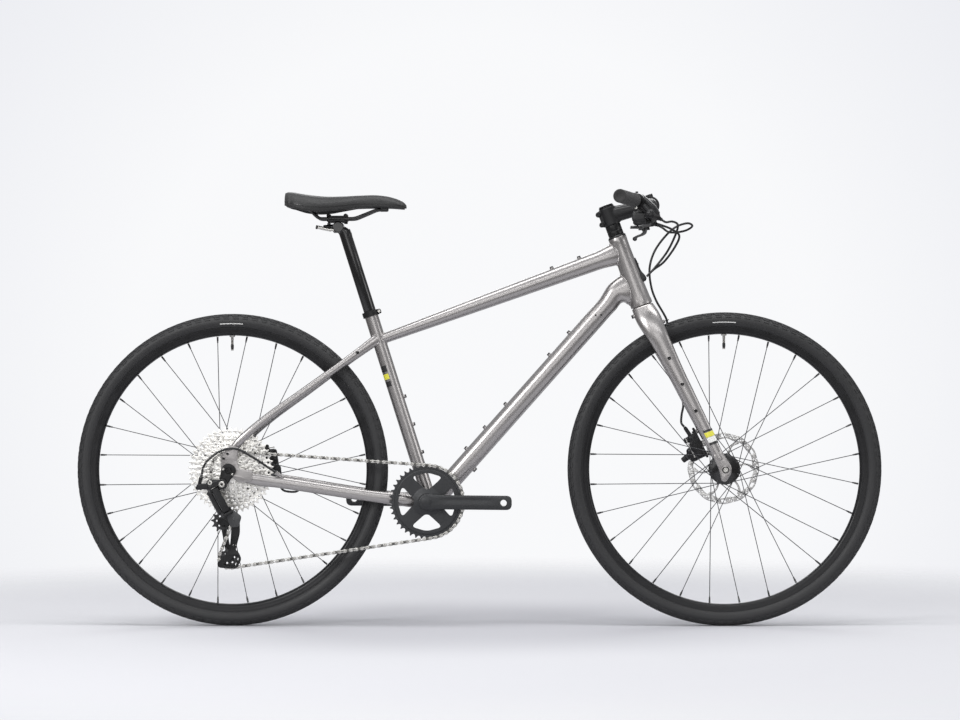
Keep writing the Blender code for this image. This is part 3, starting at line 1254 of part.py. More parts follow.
def toothed(centre, teeth, phase):
    """A sprocket's outline: a root at each pin and a narrow tooth between."""
    radius = sprocket_radius(teeth)
    flat = radius * math.cos(math.pi / teeth)
    root = math.hypot(flat - PLATE_HALF_HEIGHT, PITCH / 2 - ROLLER_HALF) - 0.0004
    tip = flat + 0.0024
    outline = []
    for i in range(teeth):
        middle = phase + 2 * math.pi * (i + 0.5) / teeth
        for reach, half in ((root, -0.0030), (tip, 0.0), (root, 0.0030)):
            angle = middle + half / reach
            outline.append((centre[0] + reach * math.cos(angle), centre[1] + reach * math.sin(angle)))
    return outline


def plain_toothed(centre, teeth):
    """A sprocket that carries no chain: a pointed tooth at each pitch."""
    radius = sprocket_radius(teeth)
    outline = []
    for i in range(2 * teeth):
        reach = radius + (0.0020 if i % 2 else -0.0040)
        angle = math.pi * i / teeth
        outline.append((centre[0] + reach * math.cos(angle), centre[1] + reach * math.sin(angle)))
    return outline


def on_a_wheel(place):
    """Whether a tooth of the chainring, the engaged sprocket or a pulley reaches this place."""
    wheels_of_chain = ((RING_CENTRE, CHAINRING_TEETH), (COG_CENTRE, COG_TEETH),
                       *((centre, PULLEY_TEETH) for centre in pulley_centres(CAGE_SWING)))
    return any((place - Vector(centre)).length < sprocket_radius(teeth) + 0.0080
               for centre, teeth in wheels_of_chain)


def chain():
    """One closed roller chain: a strip along the pins, open between the rollers where teeth enter."""
    links = len(PINS)
    inner, outer, openings = [], [], []
    for i, pin in enumerate(PINS):
        before, after = PINS[i - 1], PINS[(i + 1) % links]
        run_in, run_out = (pin - before).normalized(), (after - pin).normalized()
        middle = (run_in + run_out).normalized()
        normal = Vector((-middle.y, middle.x))
        reach = PLATE_HALF_HEIGHT / normal.dot(Vector((-run_out.y, run_out.x)))
        outer.append(tuple(pin + reach * normal))
        inner.append(tuple(pin - reach * normal))
        centre = (pin + after) / 2
        if on_a_wheel(centre):
            place = frame_matrix((centre.x, -CHAINLINE, centre.y), (run_out.x, 0.0, run_out.y), ACROSS)
            half = (PITCH / 2 - ROLLER_HALF, CHAIN_INNER_HALF, PLATE_HALF_HEIGHT + 0.001)
            openings.append((place, half))
    strip = plate([outer, inner], -CHAINLINE, 2 * CHAIN_OUTER_HALF)
    bm = bmesh.new()
    for place, half in openings:
        size = Matrix.Diagonal((2 * half[0], 2 * half[1], 2 * half[2], 1.0))
        bmesh.ops.create_cube(bm, size=1.0, matrix=place @ size)
    node("chain", cut(strip, [piece_from(bm)]), steel())


def cassette():
    axis = empty("cassette_axis", REAR)
    x, z = COG_CENTRE
    pieces = [rod((x, -0.0289, z), (x, -0.0700, z), 0.0175, 8)]
    first = -CHAINLINE - ENGAGED_SPROCKET * SPROCKET_SPACING
    for i, teeth in enumerate(SPROCKETS):
        if i == ENGAGED_SPROCKET:
            outline = toothed(COG_CENTRE, teeth, phase_at(COG_CENTRE, sprocket_radius(teeth)))
        else:
            outline = plain_toothed(COG_CENTRE, teeth)
        pieces.append(plate([outline], first + i * SPROCKET_SPACING, SPROCKET_THICKNESS))
    bore = rod((x, -0.02, z), (x, -0.08, z), AXLE_RADIUS + RUNNING_GAP, 12)
    node("cassette", cut(joined(pieces), [bore]), steel(), axis)


def cranks():
    """The chainring, the right crank with the spindle, and the left crank."""
    axis = empty("crank_axis", BB)
    x, z = RING_CENTRE
    phase = phase_at(RING_CENTRE, sprocket_radius(CHAINRING_TEETH))
    spider = [circle(RING_CENTRE, CHAINRING_INNER_RADIUS + 0.0035, 24, math.pi / 24),
              circle(RING_CENTRE, SPINDLE_RADIUS + 0.0006, 16)]
    for i in range(SPIDER_ARMS):
        middle = 2 * math.pi * i / SPIDER_ARMS + CRANK_TILT
        spider.append(arc(RING_CENTRE, 0.0625, middle - 0.56, middle + 0.56, 5)
                      + arc(RING_CENTRE, 0.0270, middle + 0.22, middle - 0.22, 2))
    ring = joined([
        plate([toothed(RING_CENTRE, CHAINRING_TEETH, phase), circle(RING_CENTRE, 0.0680, 24)],
              -CHAINLINE, 0.0017),
        plate(spider, -CHAINLINE - 0.0012, 0.0044),
        placed(turned([(SPINDLE_RADIUS + 0.0006, -0.0455), (0.0200, -0.0455),
                       (0.0200, -CRANK_INNER_FACE + GAP), (SPINDLE_RADIUS + 0.0006,
                                                           -CRANK_INNER_FACE + GAP)], 16),
               Matrix.Translation(BB))])
    node("chainring", ring, black_alloy(), axis)
    half, inner = CRANK_WIDTH / 2, CRANK_INNER_FACE
    for name, side, angle in (("crank_right", -1, CRANK_TILT), ("crank_left", 1, CRANK_TILT + math.pi)):
        along = Vector((math.cos(angle), math.sin(angle)))
        points = [tuple(Vector(RING_CENTRE) + along * d)
                  for d in (-0.0165, -0.010, 0.0, 0.035, 0.120, 0.160, 0.180, 0.1880)]
        widths = (0.0085, 0.0150, half + 0.0010, half - 0.0030, half - 0.0035, half - 0.0015,
                  half - 0.0030, half - 0.0085)
        pedal = Vector(RING_CENTRE) + along * CRANK_LENGTH
        holes = [circle(pedal, PEDAL_HOLE_RADIUS, 12)]
        if side > 0:
            holes.append(circle(RING_CENTRE, SPINDLE_RADIUS + 0.0006, 16))
        arm = plate([ribbon(points, widths)] + holes, side * (inner + CRANK_THICKNESS / 2),
                    CRANK_THICKNESS)
        if side < 0:
            end = inner + CRANK_THICKNESS + 0.0010
            spindle = rod((x, -inner - 0.004, z), (x, end, z), SPINDLE_RADIUS, 16)
            cap = rod((x, -inner - 0.010, z), (x, -inner - CRANK_THICKNESS - 0.0020, z), 0.0120, 16)
            arm = joined([arm, spindle, cap])
        node(name, arm, black_alloy(), axis)
    return axis


# Rear derailleur


LINK_RUN = Vector((0.477, 0.0, -0.879)).normalized()
LINK_SWING = Vector((-0.324, 0.93, -0.176)).normalized()
CAGE_FOOT = (
    (-0.0080, 0.0080), (-0.0070, -0.0260), (-0.0070, -0.0560), (-0.0100, -0.0740),
    (-0.0340, -0.1030), (-0.0290, -0.1125), (0.0110, -0.1120), (0.0205, -0.0900),
    (0.0130, -0.0755), (0.0060, -0.0715), (0.0085, -0.0560), (0.0130, -0.0330), (0.0100, 0.0040))
CAGE_WINDOW = (
    (-0.0190, -0.1065), (-0.0130, -0.0985), (-0.0050, -0.0980), (-0.0005, -0.0900),
    (0.0040, -0.0835), (0.0095, -0.0820), (0.0140, -0.0890), (0.0070, -0.1065))


def link_matrix():
    """The parallelogram's frame: along the links, across them, and along the slanted pins."""
    return frame_matrix(LINK_PINS, LINK_RUN, LINK_SWING)


def cage_outline(places):
    """An outline on the cage, swung with it about its pivot."""
    turn = Matrix.Rotation(CAGE_SWING, 2)
    return [tuple(Vector(CAGE_PIVOT) + turn @ Vector(place)) for place in places]


def derailleur():
    """B knuckle, two parallel links, P knuckle, cage and the two jockey pulleys."""
    place = link_matrix()
    hook = (REAR.x + HANGER_DROP[0], REAR.z + HANGER_DROP[1])
    half, gap = LINK_SPACING / 2, LINK_WIDTH / 2 + GAP
    reach = gap + EAR_THICKNESS
    ear_half = half + 0.0050

    def ears(start, sign):
        """Two ears with the pins between them, joined behind the links' ends."""
        made = []
        for side in (-1, 1):
            middle = side * (gap + EAR_THICKNESS / 2)
            low = (start - sign * 0.0080, -ear_half, middle - EAR_THICKNESS / 2)
            high = (start + sign * 0.0040, ear_half, middle + EAR_THICKNESS / 2)
            made.append(block([min(a, b) for a, b in zip(low, high)],
                              [max(a, b) for a, b in zip(low, high)]))
            made.append(rod((start, side * half, -gap - 0.001), (start, side * half, gap + 0.001),
                            PIN_RADIUS, 8))
        low = (start - sign * 0.0120, -ear_half - 0.0004, -reach - 0.0004)
        high = (start - sign * 0.0055, ear_half + 0.0004, reach + 0.0004)
        made.append(block([min(a, b) for a, b in zip(low, high)],
                          [max(a, b) for a, b in zip(low, high)]))
        return [placed(obj, place) for obj in made]

    def swing_room(low, high):
        """The space that the links sweep, taken out of a knuckle's plates."""
        deep = gap + 0.0001
        return placed(block((low, -0.0215, -deep), (high, 0.0215, deep)), place)

    back = LINK_PINS - 0.009 * LINK_RUN
    plates = joined([
        plate([capsule(hook, (back.x, back.z), 0.0120, 0.0100)], -0.0905, 0.0129),
        plate([capsule((back.x, back.z), BARREL_BASE, 0.0080, 0.0055)], -0.0905, 0.0110)])
    bolt = rod((hook[0], -0.0775, hook[1]), (hook[0], -0.086, hook[1]), 0.0045, 8)
    barrel = rod((BARREL_BASE[0], -0.0890, BARREL_BASE[1]),
                 HOUSING_END + Vector((-0.0002, 0.0, -0.0006)), 0.0045, 8)
    knuckle = [cut(plates, [swing_room(-0.0052, 0.070)]), bolt, barrel] + ears(0.0, 1)
    node("derailleur_b_knuckle", joined(knuckle), black_alloy())
    outer_axis = empty("derailleur_shift_axis", place @ Vector((0.0, -half, 0.0)),
                       place.to_euler())
    inner_axis = empty("derailleur_inner_link_axis", place @ Vector((0.0, half, 0.0)),
                       place.to_euler())
    knuckle_axis = empty("derailleur_p_knuckle_axis", place @ Vector((LINK_LENGTH, -half, 0.0)),
                         place.to_euler(), outer_axis)
    for name, side, axis in (("derailleur_outer_link", -1, outer_axis),
                             ("derailleur_inner_link", 1, inner_axis)):
        ends = [(0.0, side * half), (LINK_LENGTH, side * half)]
        holes = [circle(end, PIN_RADIUS + 0.0005, 8) for end in ends]
        link = slab([capsule(*ends, LINK_RADIUS, LINK_RADIUS, 5)] + holes, LINK_WIDTH, place)
        node(name, link, black_alloy(), axis)
    front = LINK_PINS + (LINK_LENGTH + 0.009) * LINK_RUN
    pivot = CAGE_PIVOT
    body = joined([
        plate([capsule((front.x, front.z), pivot, 0.0095, 0.0125)], -0.0810, 0.0140),
        rod((pivot[0], -0.0592, pivot[1]), (pivot[0], -0.0760, pivot[1]), 0.0120, 12)])
    bore = rod((pivot[0], -0.055, pivot[1]), (pivot[0], -0.0805, pivot[1]), 0.0060, 12)
    knuckle = [cut(body, [swing_room(-0.020, LINK_LENGTH + 0.0052), bore])] + ears(LINK_LENGTH, -1)
    node("derailleur_p_knuckle", joined(knuckle), black_alloy(), knuckle_axis)
    guide, tension = pulley_centres(CAGE_SWING)
    cage_axis = empty("derailleur_cage_axis", (pivot[0], -0.0590, pivot[1]), parent=knuckle_axis)
    arms = [plate([cage_outline(CAGE_FOOT), cage_outline(CAGE_WINDOW)], -0.0573, 0.0024),
            plate([capsule(pivot, guide, 0.0120, 0.0100)], -0.0574, 0.0020),
            rod((pivot[0], -0.0570, pivot[1]), (pivot[0], -0.0795, pivot[1]), 0.0054, 12)]
    holes = []
    for centre in (guide, tension):
        arms.append(rod((centre.x, -0.0420, centre.y), (centre.x, -0.0580, centre.y), 0.0030, 8))
        holes.append(circle(centre, 0.0036, 8))
    node("derailleur_cage_outer", joined(arms), black_alloy(), cage_axis)
    inner = plate([capsule(guide, tension, 0.0105, 0.0105)] + holes, -0.0431, 0.0024)
    node("derailleur_cage_inner", inner, black_alloy(), cage_axis)
    for name, centre in (("guide_pulley", guide), ("tension_pulley", tension)):
        axis = empty(name + "_axis", (centre.x, -CHAINLINE, centre.y), parent=cage_axis)
        phase = phase_at(centre, sprocket_radius(PULLEY_TEETH))
        wheel_of_pulley = plate([toothed(centre, PULLEY_TEETH, phase), circle(centre, 0.0050, 8)],
                                -CHAINLINE, 0.0018)
        ring = placed(turned([(0.0036, -0.0555), (0.0070, -0.0555), (0.0070, -0.0449),
                              (0.0036, -0.0449)], 8), Matrix.Translation((centre.x, 0.0, centre.y)))
        node(name, joined([wheel_of_pulley, ring]), black_plastic(), axis)
    end = HOUSING_PORT + 0.0005 * HOUSING_WAY
    start = HOUSING_END
    over = [REAR + Vector(place) for place in (
        (-0.0401, -0.0890, 0.0280), (-0.0141, -0.0880, 0.0450), (0.0182, -0.0855, 0.0490),
        (0.0509, -0.0800, 0.0320))]
    route = [start, start + Vector((0.004, 0.001, 0.018)), *over, end + 0.024 * HOUSING_WAY, end]
    node("shift_housing_end", wire(smooth_route(route, 0.015), HOSE_RADIUS, 1), black_plastic())


# Seat


def seat():
    """Seatpost, tilting clamp, rails, shell and padding."""
    post_axis = empty("seatpost_axis", SEAT_TOP, (0.0, -(math.pi / 2 - SEAT_ANGLE), 0.0))
    low, high = SEAT_TOP - SEATPOST_INSERT * SEAT_UP, SEAT_TOP + 0.190 * SEAT_UP
    head = SADDLE_CLAMP + Vector((0.0025, 0.0, -0.0185))
    post = joined([rod(low, high, SEATPOST_RADIUS, 16),
                   rod(head - 0.0165 * ACROSS, head + 0.0165 * ACROSS, 0.0125, 16),
                   rod(high - 0.012 * SEAT_UP, head, 0.0115, 10)])
    node("seatpost", post, black_alloy(), post_axis)
    tilt_axis = empty("saddle_tilt_axis", head, parent=post_axis)
    c = SADDLE_CLAMP
    clamp = joined([
        block((c.x - 0.0200, -0.0275, c.z - 0.0085), (c.x + 0.0200, 0.0275, c.z + 0.0065), 0.003),
        block((c.x - 0.0345, -0.0060, c.z - 0.0075), (c.x + 0.0345, 0.0060, c.z + 0.0045)),
        rod((c.x - 0.0290, 0.0, c.z + 0.0080), (c.x - 0.0290, 0.0, c.z - 0.0150), 0.0040, 8),
        rod((c.x + 0.0290, 0.0, c.z + 0.0080), (c.x + 0.0290, 0.0, c.z - 0.0110), 0.0040, 8)])
    cradle = rod(head - 0.030 * ACROSS, head + 0.030 * ACROSS, 0.0132, 16)
    bores = [rod((c.x - 0.04, y, c.z), (c.x + 0.04, y, c.z), RAIL_RADIUS + 0.0004, 8)
             for y in (-RAIL_HALF_SPACING, RAIL_HALF_SPACING)]
    node("saddle_clamp", cut(clamp, [cradle] + bores), black_alloy(), tilt_axis)
    slide_axis = empty("saddle_slide_axis", SADDLE_CLAMP, parent=tilt_axis)
    side = [(-0.0560, 0.0300, 0.0185), (-0.0500, 0.0280, 0.0095), (-0.0395, 0.0220, 0.0),
            (0.0400, 0.0220, 0.0), (0.0600, 0.0185, 0.0080), (0.0880, 0.0120, 0.0195),
            (0.1020, 0.0070, 0.0205)]
    route = [Vector((x, y, z)) for x, y, z in side]
    route += [Vector((0.1070, 0.0, 0.0205))] + [Vector((v.x, -v.y, v.z)) for v in reversed(route)]
    route = [c + v for v in route]
    node("saddle_rails", wire(route, RAIL_RADIUS, 1), steel(), slide_axis)
    stations = (
        (-0.1130, 0.0400, 0.0480, 0.0300, 0.0330), (-0.0980, 0.0640, 0.0575, 0.0245, 0.0320),
        (-0.0620, 0.0745, 0.0530, 0.0150, 0.0280), (-0.0230, 0.0640, 0.0490, 0.0150, 0.0255),
        (0.0120, 0.0450, 0.0495, 0.0190, 0.0260), (0.0500, 0.0300, 0.0515, 0.0240, 0.0280),
        (0.0950, 0.0225, 0.0520, 0.0255, 0.0285), (0.1340, 0.0180, 0.0430, 0.0245, 0.0275),
        (0.1530, 0.0100, 0.0330, 0.0250, 0.0270))
    rings = []
    for x, half, top, skirt, under in stations:
        ring = [(0.0, top - 0.0012), (0.36, top), (0.74, top - 0.0040),
                (0.99, (top + skirt) / 2 + 0.003), (1.0, skirt + 0.0040), (0.92, skirt),
                (0.86, under), (0.0, under)]
        whole = ring + [(-y, z) for y, z in reversed(ring[1:-1])]
        rings.append([c + Vector((x, y * half, z)) for y, z in whole])
    cage = loft(rings)
    soft = cage.modifiers.new("soft", "SUBSURF")
    soft.levels = 1
    soft.render_levels = 1
    node("saddle_padding", baked(cage), rubber(), slide_axis)
    rings = []
    for x, half, top, skirt, under in stations[1:-1]:
        wide = 0.66 * half
        ring = [(-wide, under - 0.0020), (-wide, under - 0.0055), (wide, under - 0.0055),
                (wide, under - 0.0020)]
        rings.append([c + Vector((x, y, z)) for y, z in ring])
    shell = joined([
        loft(rings),
        block(c + Vector((-0.0660, -0.0375, 0.0150)), c + Vector((-0.0480, 0.0375, 0.0260))),
        block(c + Vector((0.0960, -0.0115, 0.0150)), c + Vector((0.1150, 0.0115, 0.0260)))])
    socket = wire(route, RAIL_RADIUS + 0.0005, 1)
    notch = block(c + Vector((-0.0670, -0.0240, 0.0100)), c + Vector((-0.0470, 0.0240, 0.0200)))
    node("saddle_shell", cut(shell, [socket, notch]), black_plastic(), slide_axis)


def main():
    start_scene()
    frame()
    frame_fittings()
    steering = empty("steering_axis", CROWN, steering_matrix().to_euler())
    fork(steering)
    headset(steering)
    stem(steering)
    handlebar(steering)
    brake_controls(steering)
    shifter(steering)
    front_brake(steering)
    head_tube_port()
    cables()
    wheels(steering)
    rear_brake()
    cassette()
    cranks()
    chain()
    derailleur()
    seat()
    bpy.context.view_layer.update()


main()
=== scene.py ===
"""Looks of a flat-bar touring bicycle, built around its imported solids.

Metres, +Z up. +X points forward, +Y to the rider's left, so the drive side is at -Y.
"""
import math

import bmesh
import bpy
from mathutils import Matrix, Vector
from mathutils.bvhtree import BVHTree


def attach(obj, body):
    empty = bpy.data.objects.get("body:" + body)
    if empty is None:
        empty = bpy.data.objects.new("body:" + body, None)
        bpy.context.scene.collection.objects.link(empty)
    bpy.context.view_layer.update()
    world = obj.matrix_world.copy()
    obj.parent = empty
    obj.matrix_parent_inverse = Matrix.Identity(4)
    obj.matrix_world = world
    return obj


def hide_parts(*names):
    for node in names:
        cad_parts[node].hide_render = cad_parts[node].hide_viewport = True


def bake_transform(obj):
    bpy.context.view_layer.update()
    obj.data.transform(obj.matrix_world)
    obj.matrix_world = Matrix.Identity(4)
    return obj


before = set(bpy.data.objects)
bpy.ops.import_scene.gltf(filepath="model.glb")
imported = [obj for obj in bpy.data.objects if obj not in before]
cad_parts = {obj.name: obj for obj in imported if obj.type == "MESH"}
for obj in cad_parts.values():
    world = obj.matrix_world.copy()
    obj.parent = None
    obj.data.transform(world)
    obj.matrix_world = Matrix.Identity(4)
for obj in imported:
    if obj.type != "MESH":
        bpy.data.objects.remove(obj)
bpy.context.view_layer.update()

# The bicycle's own geometry, as in the solids
TYRE_RADIUS = 0.348
HEAD_ANGLE = math.radians(70.2)
SEAT_ANGLE = math.radians(72.55)
FORK_OFFSET = 0.0477
CHAINSTAY_LENGTH = 0.4426
BB_DROP = 0.070
SEAT_TUBE_LENGTH = 0.442
SEAT_TUBE_RADIUS = 0.0152
AXLE_TO_CROWN = 0.404
HEAD_TUBE_LENGTH = 0.1605
REAR = Vector((-0.5479, 0.0, TYRE_RADIUS))
FRONT = Vector((0.5479, 0.0, TYRE_RADIUS))
BB = REAR + Vector((math.sqrt(CHAINSTAY_LENGTH ** 2 - BB_DROP ** 2), 0.0, -BB_DROP))
HEAD_UP = Vector((-math.cos(HEAD_ANGLE), 0.0, math.sin(HEAD_ANGLE)))
HEAD_AHEAD = Vector((math.sin(HEAD_ANGLE), 0.0, math.cos(HEAD_ANGLE)))
CROWN = FRONT - FORK_OFFSET * HEAD_AHEAD + AXLE_TO_CROWN * HEAD_UP
SEAT_UP = Vector((-math.cos(SEAT_ANGLE), 0.0, math.sin(SEAT_ANGLE)))
SEAT_AHEAD = Vector((math.sin(SEAT_ANGLE), 0.0, math.cos(SEAT_ANGLE)))
SEAT_FOOT = BB + Vector((0.004, 0.0, 0.0))
SEAT_TOP = SEAT_FOOT + SEAT_TUBE_LENGTH * SEAT_UP
SADDLE_CLAMP = SEAT_TOP + 0.2173 * SEAT_UP - Vector((0.0072, 0.0, 0.0))
ACROSS = Vector((0.0, 1.0, 0.0))
UP = Vector((0.0, 0.0, 1.0))
STEERING = Matrix.Translation(CROWN) @ Matrix.Rotation(-(math.pi / 2 - HEAD_ANGLE), 4, "Y")

PITCH = 0.0127
CHAINLINE = 0.0502
CHAINRING_TEETH = 40
SPROCKETS = (11, 13, 15, 18, 21, 24, 28, 32, 37, 46)
ENGAGED_SPROCKET = 4
SPROCKET_SPACING = 0.00395
PULLEY_TEETH = 11
CAGE_PIVOT = (-0.5358, 0.2431)
GUIDE_PULLEY = (-0.5648, 0.2337)
PULLEY_DISTANCE = 0.0830


def on_head(up, ahead=0.0, across=0.0):
    """A world point from the crown, along and ahead of the steering axis."""
    return CROWN + up * HEAD_UP + ahead * HEAD_AHEAD + across * ACROSS


def on_fork(down, across=0.0):
    """A world point this far down the line from the crown to the front axle."""
    return on_head(-down, down * FORK_OFFSET / AXLE_TO_CROWN, across)


# Mesh helpers


def mesh_of(bm):
    """A mesh from a bmesh, with its faces pointing out."""
    bmesh.ops.recalc_face_normals(bm, faces=bm.faces)
    mesh = bpy.data.meshes.new("made")
    bm.to_mesh(mesh)
    bm.free()
    return mesh


def linked(name, data):
    """A new object in the scene."""
    made = bpy.data.objects.new(name, data)
    bpy.context.scene.collection.objects.link(made)
    return made


def evaluated(holder):
    """An object's mesh with its modifiers or curve settings applied; the object goes."""
    bpy.context.view_layer.update()
    graph = bpy.context.evaluated_depsgraph_get()
    made = bpy.data.meshes.new_from_object(holder.evaluated_get(graph))
    bpy.data.objects.remove(holder)
    return made


def applied(mesh, *modifiers):
    """The mesh with these (type, settings) modifiers applied in turn."""
    holder = linked("holder", mesh)
    for kind, settings in modifiers:
        modifier = holder.modifiers.new(kind.lower(), kind)
        for name, value in settings.items():
            setattr(modifier, name, value)
    return evaluated(holder)


def span(low, high, count):
    """Evenly spaced numbers from low to high."""
    return [low + (high - low) * i / (count - 1) for i in range(count)]


def full_turn(count, start=0.0):
    """Evenly spaced angles round a circle."""
    return [start + 2 * math.pi * k / count for k in range(count)]


def around(centre, reach, angle):
    """The point at a distance and an angle from a centre in a plane."""
    return centre[0] + reach * math.cos(angle), centre[1] + reach * math.sin(angle)


def spline(p, q, r, s, t):
    """A smooth curve through four numbers or vectors, from q at t = 0 to r at t = 1."""
    return 0.5 * (2 * q + (r - p) * t + (2 * p - 5 * q + 4 * r - s) * t * t
                  + (3 * q - 3 * r + s - p) * t ** 3)


def eased(rows, steps):
    """Rows of numbers, refined along a smooth curve through them."""
    rows = [tuple(row) for row in rows]

    def beyond(last, inner):
        return tuple(x + (x - y) for x, y in zip(last, inner))

    ends = [beyond(rows[0], rows[1])] + rows + [beyond(rows[-1], rows[-2])]
    made = []
    for four in zip(ends, ends[1:], ends[2:], ends[3:]):
        for i in range(steps):
            made.append(tuple(spline(*numbers, i / steps) for numbers in zip(*four)))
    return made + [rows[-1]]


def smooth_route(points, step):
    """Points about a step apart on a smooth curve through the given ones."""
    points = [Vector(p) for p in points]
    ends = [2 * points[0] - points[1]] + points + [2 * points[-1] - points[-2]]
    route = []
    for a, b, c, d in zip(ends, ends[1:], ends[2:], ends[3:]):
        count = max(1, round((c - b).length / step))
        route += [spline(a, b, c, d, i / count) for i in range(count)]
    return route + [points[-1]]


def flowing(rows, steps):
    """Rows refined along a smooth curve, paced by the distance between their first three numbers."""
    rows = [tuple(row) for row in rows]
    gaps = [max(1e-6, math.dist(a[:3], b[:3])) for a, b in zip(rows, rows[1:])]
    slopes = []
    for i, row in enumerate(rows):
        if 0 < i < len(rows) - 1:
            before, after = gaps[i - 1], gaps[i]
            slopes.append([((q - p) / before * after + (r - q) / after * before) / (before + after)
                           for p, q, r in zip(rows[i - 1], row, rows[i + 1])])
        else:
            near = 0 if i == 0 else len(rows) - 2
            slopes.append([(q - p) / gaps[near] for p, q in zip(rows[near], rows[near + 1])])
    made = []
    for a, b, m, n, gap in zip(rows, rows[1:], slopes, slopes[1:], gaps):
        for k in range(steps):
            t = k / steps
            made.append(tuple(
                (2 * t ** 3 - 3 * t * t + 1) * p + (t ** 3 - 2 * t * t + t) * gap * u
                + (3 * t * t - 2 * t ** 3) * q + (t ** 3 - t * t) * gap * v
                for p, q, u, v in zip(a, b, m, n)))
    return made + [rows[-1]]


def lofted(rings, closed=False):
    """A skin over rings of equal count: capped at both ends, or closed round to the first ring."""
    bm = bmesh.new()
    rows = [[bm.verts.new(p) for p in ring] for ring in rings]
    count = len(rows[0])
    pairs = list(zip(rows, rows[1:])) + ([(rows[-1], rows[0])] if closed else [])
    for row, above in pairs:
        for i in range(count):
            j = (i + 1) % count
            bm.faces.new((row[i], row[j], above[j], above[i]))
    if not closed:
        for row in (rows[0], rows[-1]):
            middle = bm.verts.new(sum((v.co for v in row), Vector()) / count)
            for i in range(count):
                bm.faces.new((row[i], row[(i + 1) % count], middle))
    return mesh_of(bm)


def section(centre, up, across, half_up, half_across, count, power):
    """A closed section: an ellipse at power 2, and squarer above."""
    up, across = Vector(up).normalized(), Vector(across).normalized()
    ring = []
    for angle in full_turn(count):
        c, s = math.cos(angle), math.sin(angle)
        ring.append(Vector(centre)
                    + up * half_up * math.copysign(abs(c) ** (2 / power), c)
                    + across * half_across * math.copysign(abs(s) ** (2 / power), s))
    return ring


def swept(rows, steps, sides, power=2.0, across=ACROSS):
    """Rings along a tube whose rows give a centre, an upward axis and two half sizes."""
    flat = [(*centre, *Vector(up).normalized(), high, wide) for centre, up, high, wide in rows]
    return [section(row[:3], row[3:6], across, row[6], row[7], sides, power)
            for row in flowing(flat, steps)]


def tube(points, radius, sides, closed=False):
    """A round tube along points; radius is one number or one for each point."""
    points = [Vector(p) for p in points]
    count = len(points)
    radii = radius if isinstance(radius, (list, tuple)) else [radius] * count
    rings, side = [], None
    for i, point in enumerate(points):
        before = points[i - 1] if closed or i else points[0]
        after = points[(i + 1) % count] if closed or i < count - 1 else points[-1]
        run = (after - before).normalized()
        if side is None:
            side = run.orthogonal()
        side = (side - run * side.dot(run)).normalized()
        other = run.cross(side)
        rings.append([point + radii[i] * (side * math.cos(a) + other * math.sin(a))
                      for a in full_turn(sides)])
    return lofted(rings, closed)


def turned(profile, steps, matrix=None, ring=None):
    """A solid turned about Z: the profile lists (radius, height). A ring's profile closes on itself."""
    ring = profile[0][0] > 0.0 if ring is None else ring
    bm = bmesh.new()
    columns = [[None if r <= 1e-9 else bm.verts.new((*around((0.0, 0.0), r, angle), h))
                for r, h in profile] for angle in full_turn(steps)]
    for row, (r, h) in enumerate(profile):
        if r <= 1e-9:
            pole = bm.verts.new((0.0, 0.0, h))
            for column in columns:
                column[row] = pole
    count = len(profile)
    for k, column in enumerate(columns):
        following = columns[(k + 1) % steps]
        for row in range(count if ring else count - 1):
            nxt = (row + 1) % count
            corners = [column[row], following[row], following[nxt], column[nxt]]
            corners = [v for i, v in enumerate(corners) if v not in corners[:i]]
            if len(corners) > 2:
                bm.faces.new(corners)
    mesh = mesh_of(bm)
    if matrix:
        mesh.transform(matrix)
    return mesh


def along_y(centre):
    """The matrix that lays a turned shape's axis along Y at a centre."""
    return Matrix.Translation(centre) @ Matrix.Rotation(-math.pi / 2, 4, "X")


def towards(place, direction):
    """The matrix that stands a turned shape's axis on a place, along a direction."""
    turn = Vector(direction).to_track_quat("Z", "Y").to_matrix().to_4x4()
    return Matrix.Translation(Vector(place)) @ turn


def rod(start, end, radius, sides, bevel=0.0004, end_radius=None):
    """A rod between two points with softened edges."""
    start, end = Vector(start), Vector(end)
    length = (end - start).length
    last = radius if end_radius is None else end_radius
    bevel = min(bevel, radius / 2, last / 2, length / 3)
    profile = [(0.0, 0.0), (radius - bevel, 0.0), (radius, bevel), (last, length - bevel),
               (last - bevel, length), (0.0, length)]
    return turned(profile, sides, towards(start, end - start))


def ball(centre, radius):
    """A sphere."""
    profile = [(max(0.0, radius * math.cos(a)), radius * math.sin(a))
               for a in (math.radians(-90 + 180 * i / 12) for i in range(13))]
    profile[0], profile[-1] = (0.0, -radius), (0.0, radius)
    return turned(profile, 24, Matrix.Translation(centre))


def block(low, high, bevel, segments=3):
    """A box between two corners, with its edges rounded."""
    low, high = Vector(low), Vector(high)
    bm = bmesh.new()
    bmesh.ops.create_cube(bm, size=1.0, matrix=Matrix.Translation((low + high) / 2)
                          @ Matrix.Diagonal((*(high - low), 1.0)))
    bmesh.ops.bevel(bm, geom=bm.edges[:], offset=bevel, segments=segments, affect="EDGES",
                    profile=0.5)
    return mesh_of(bm)


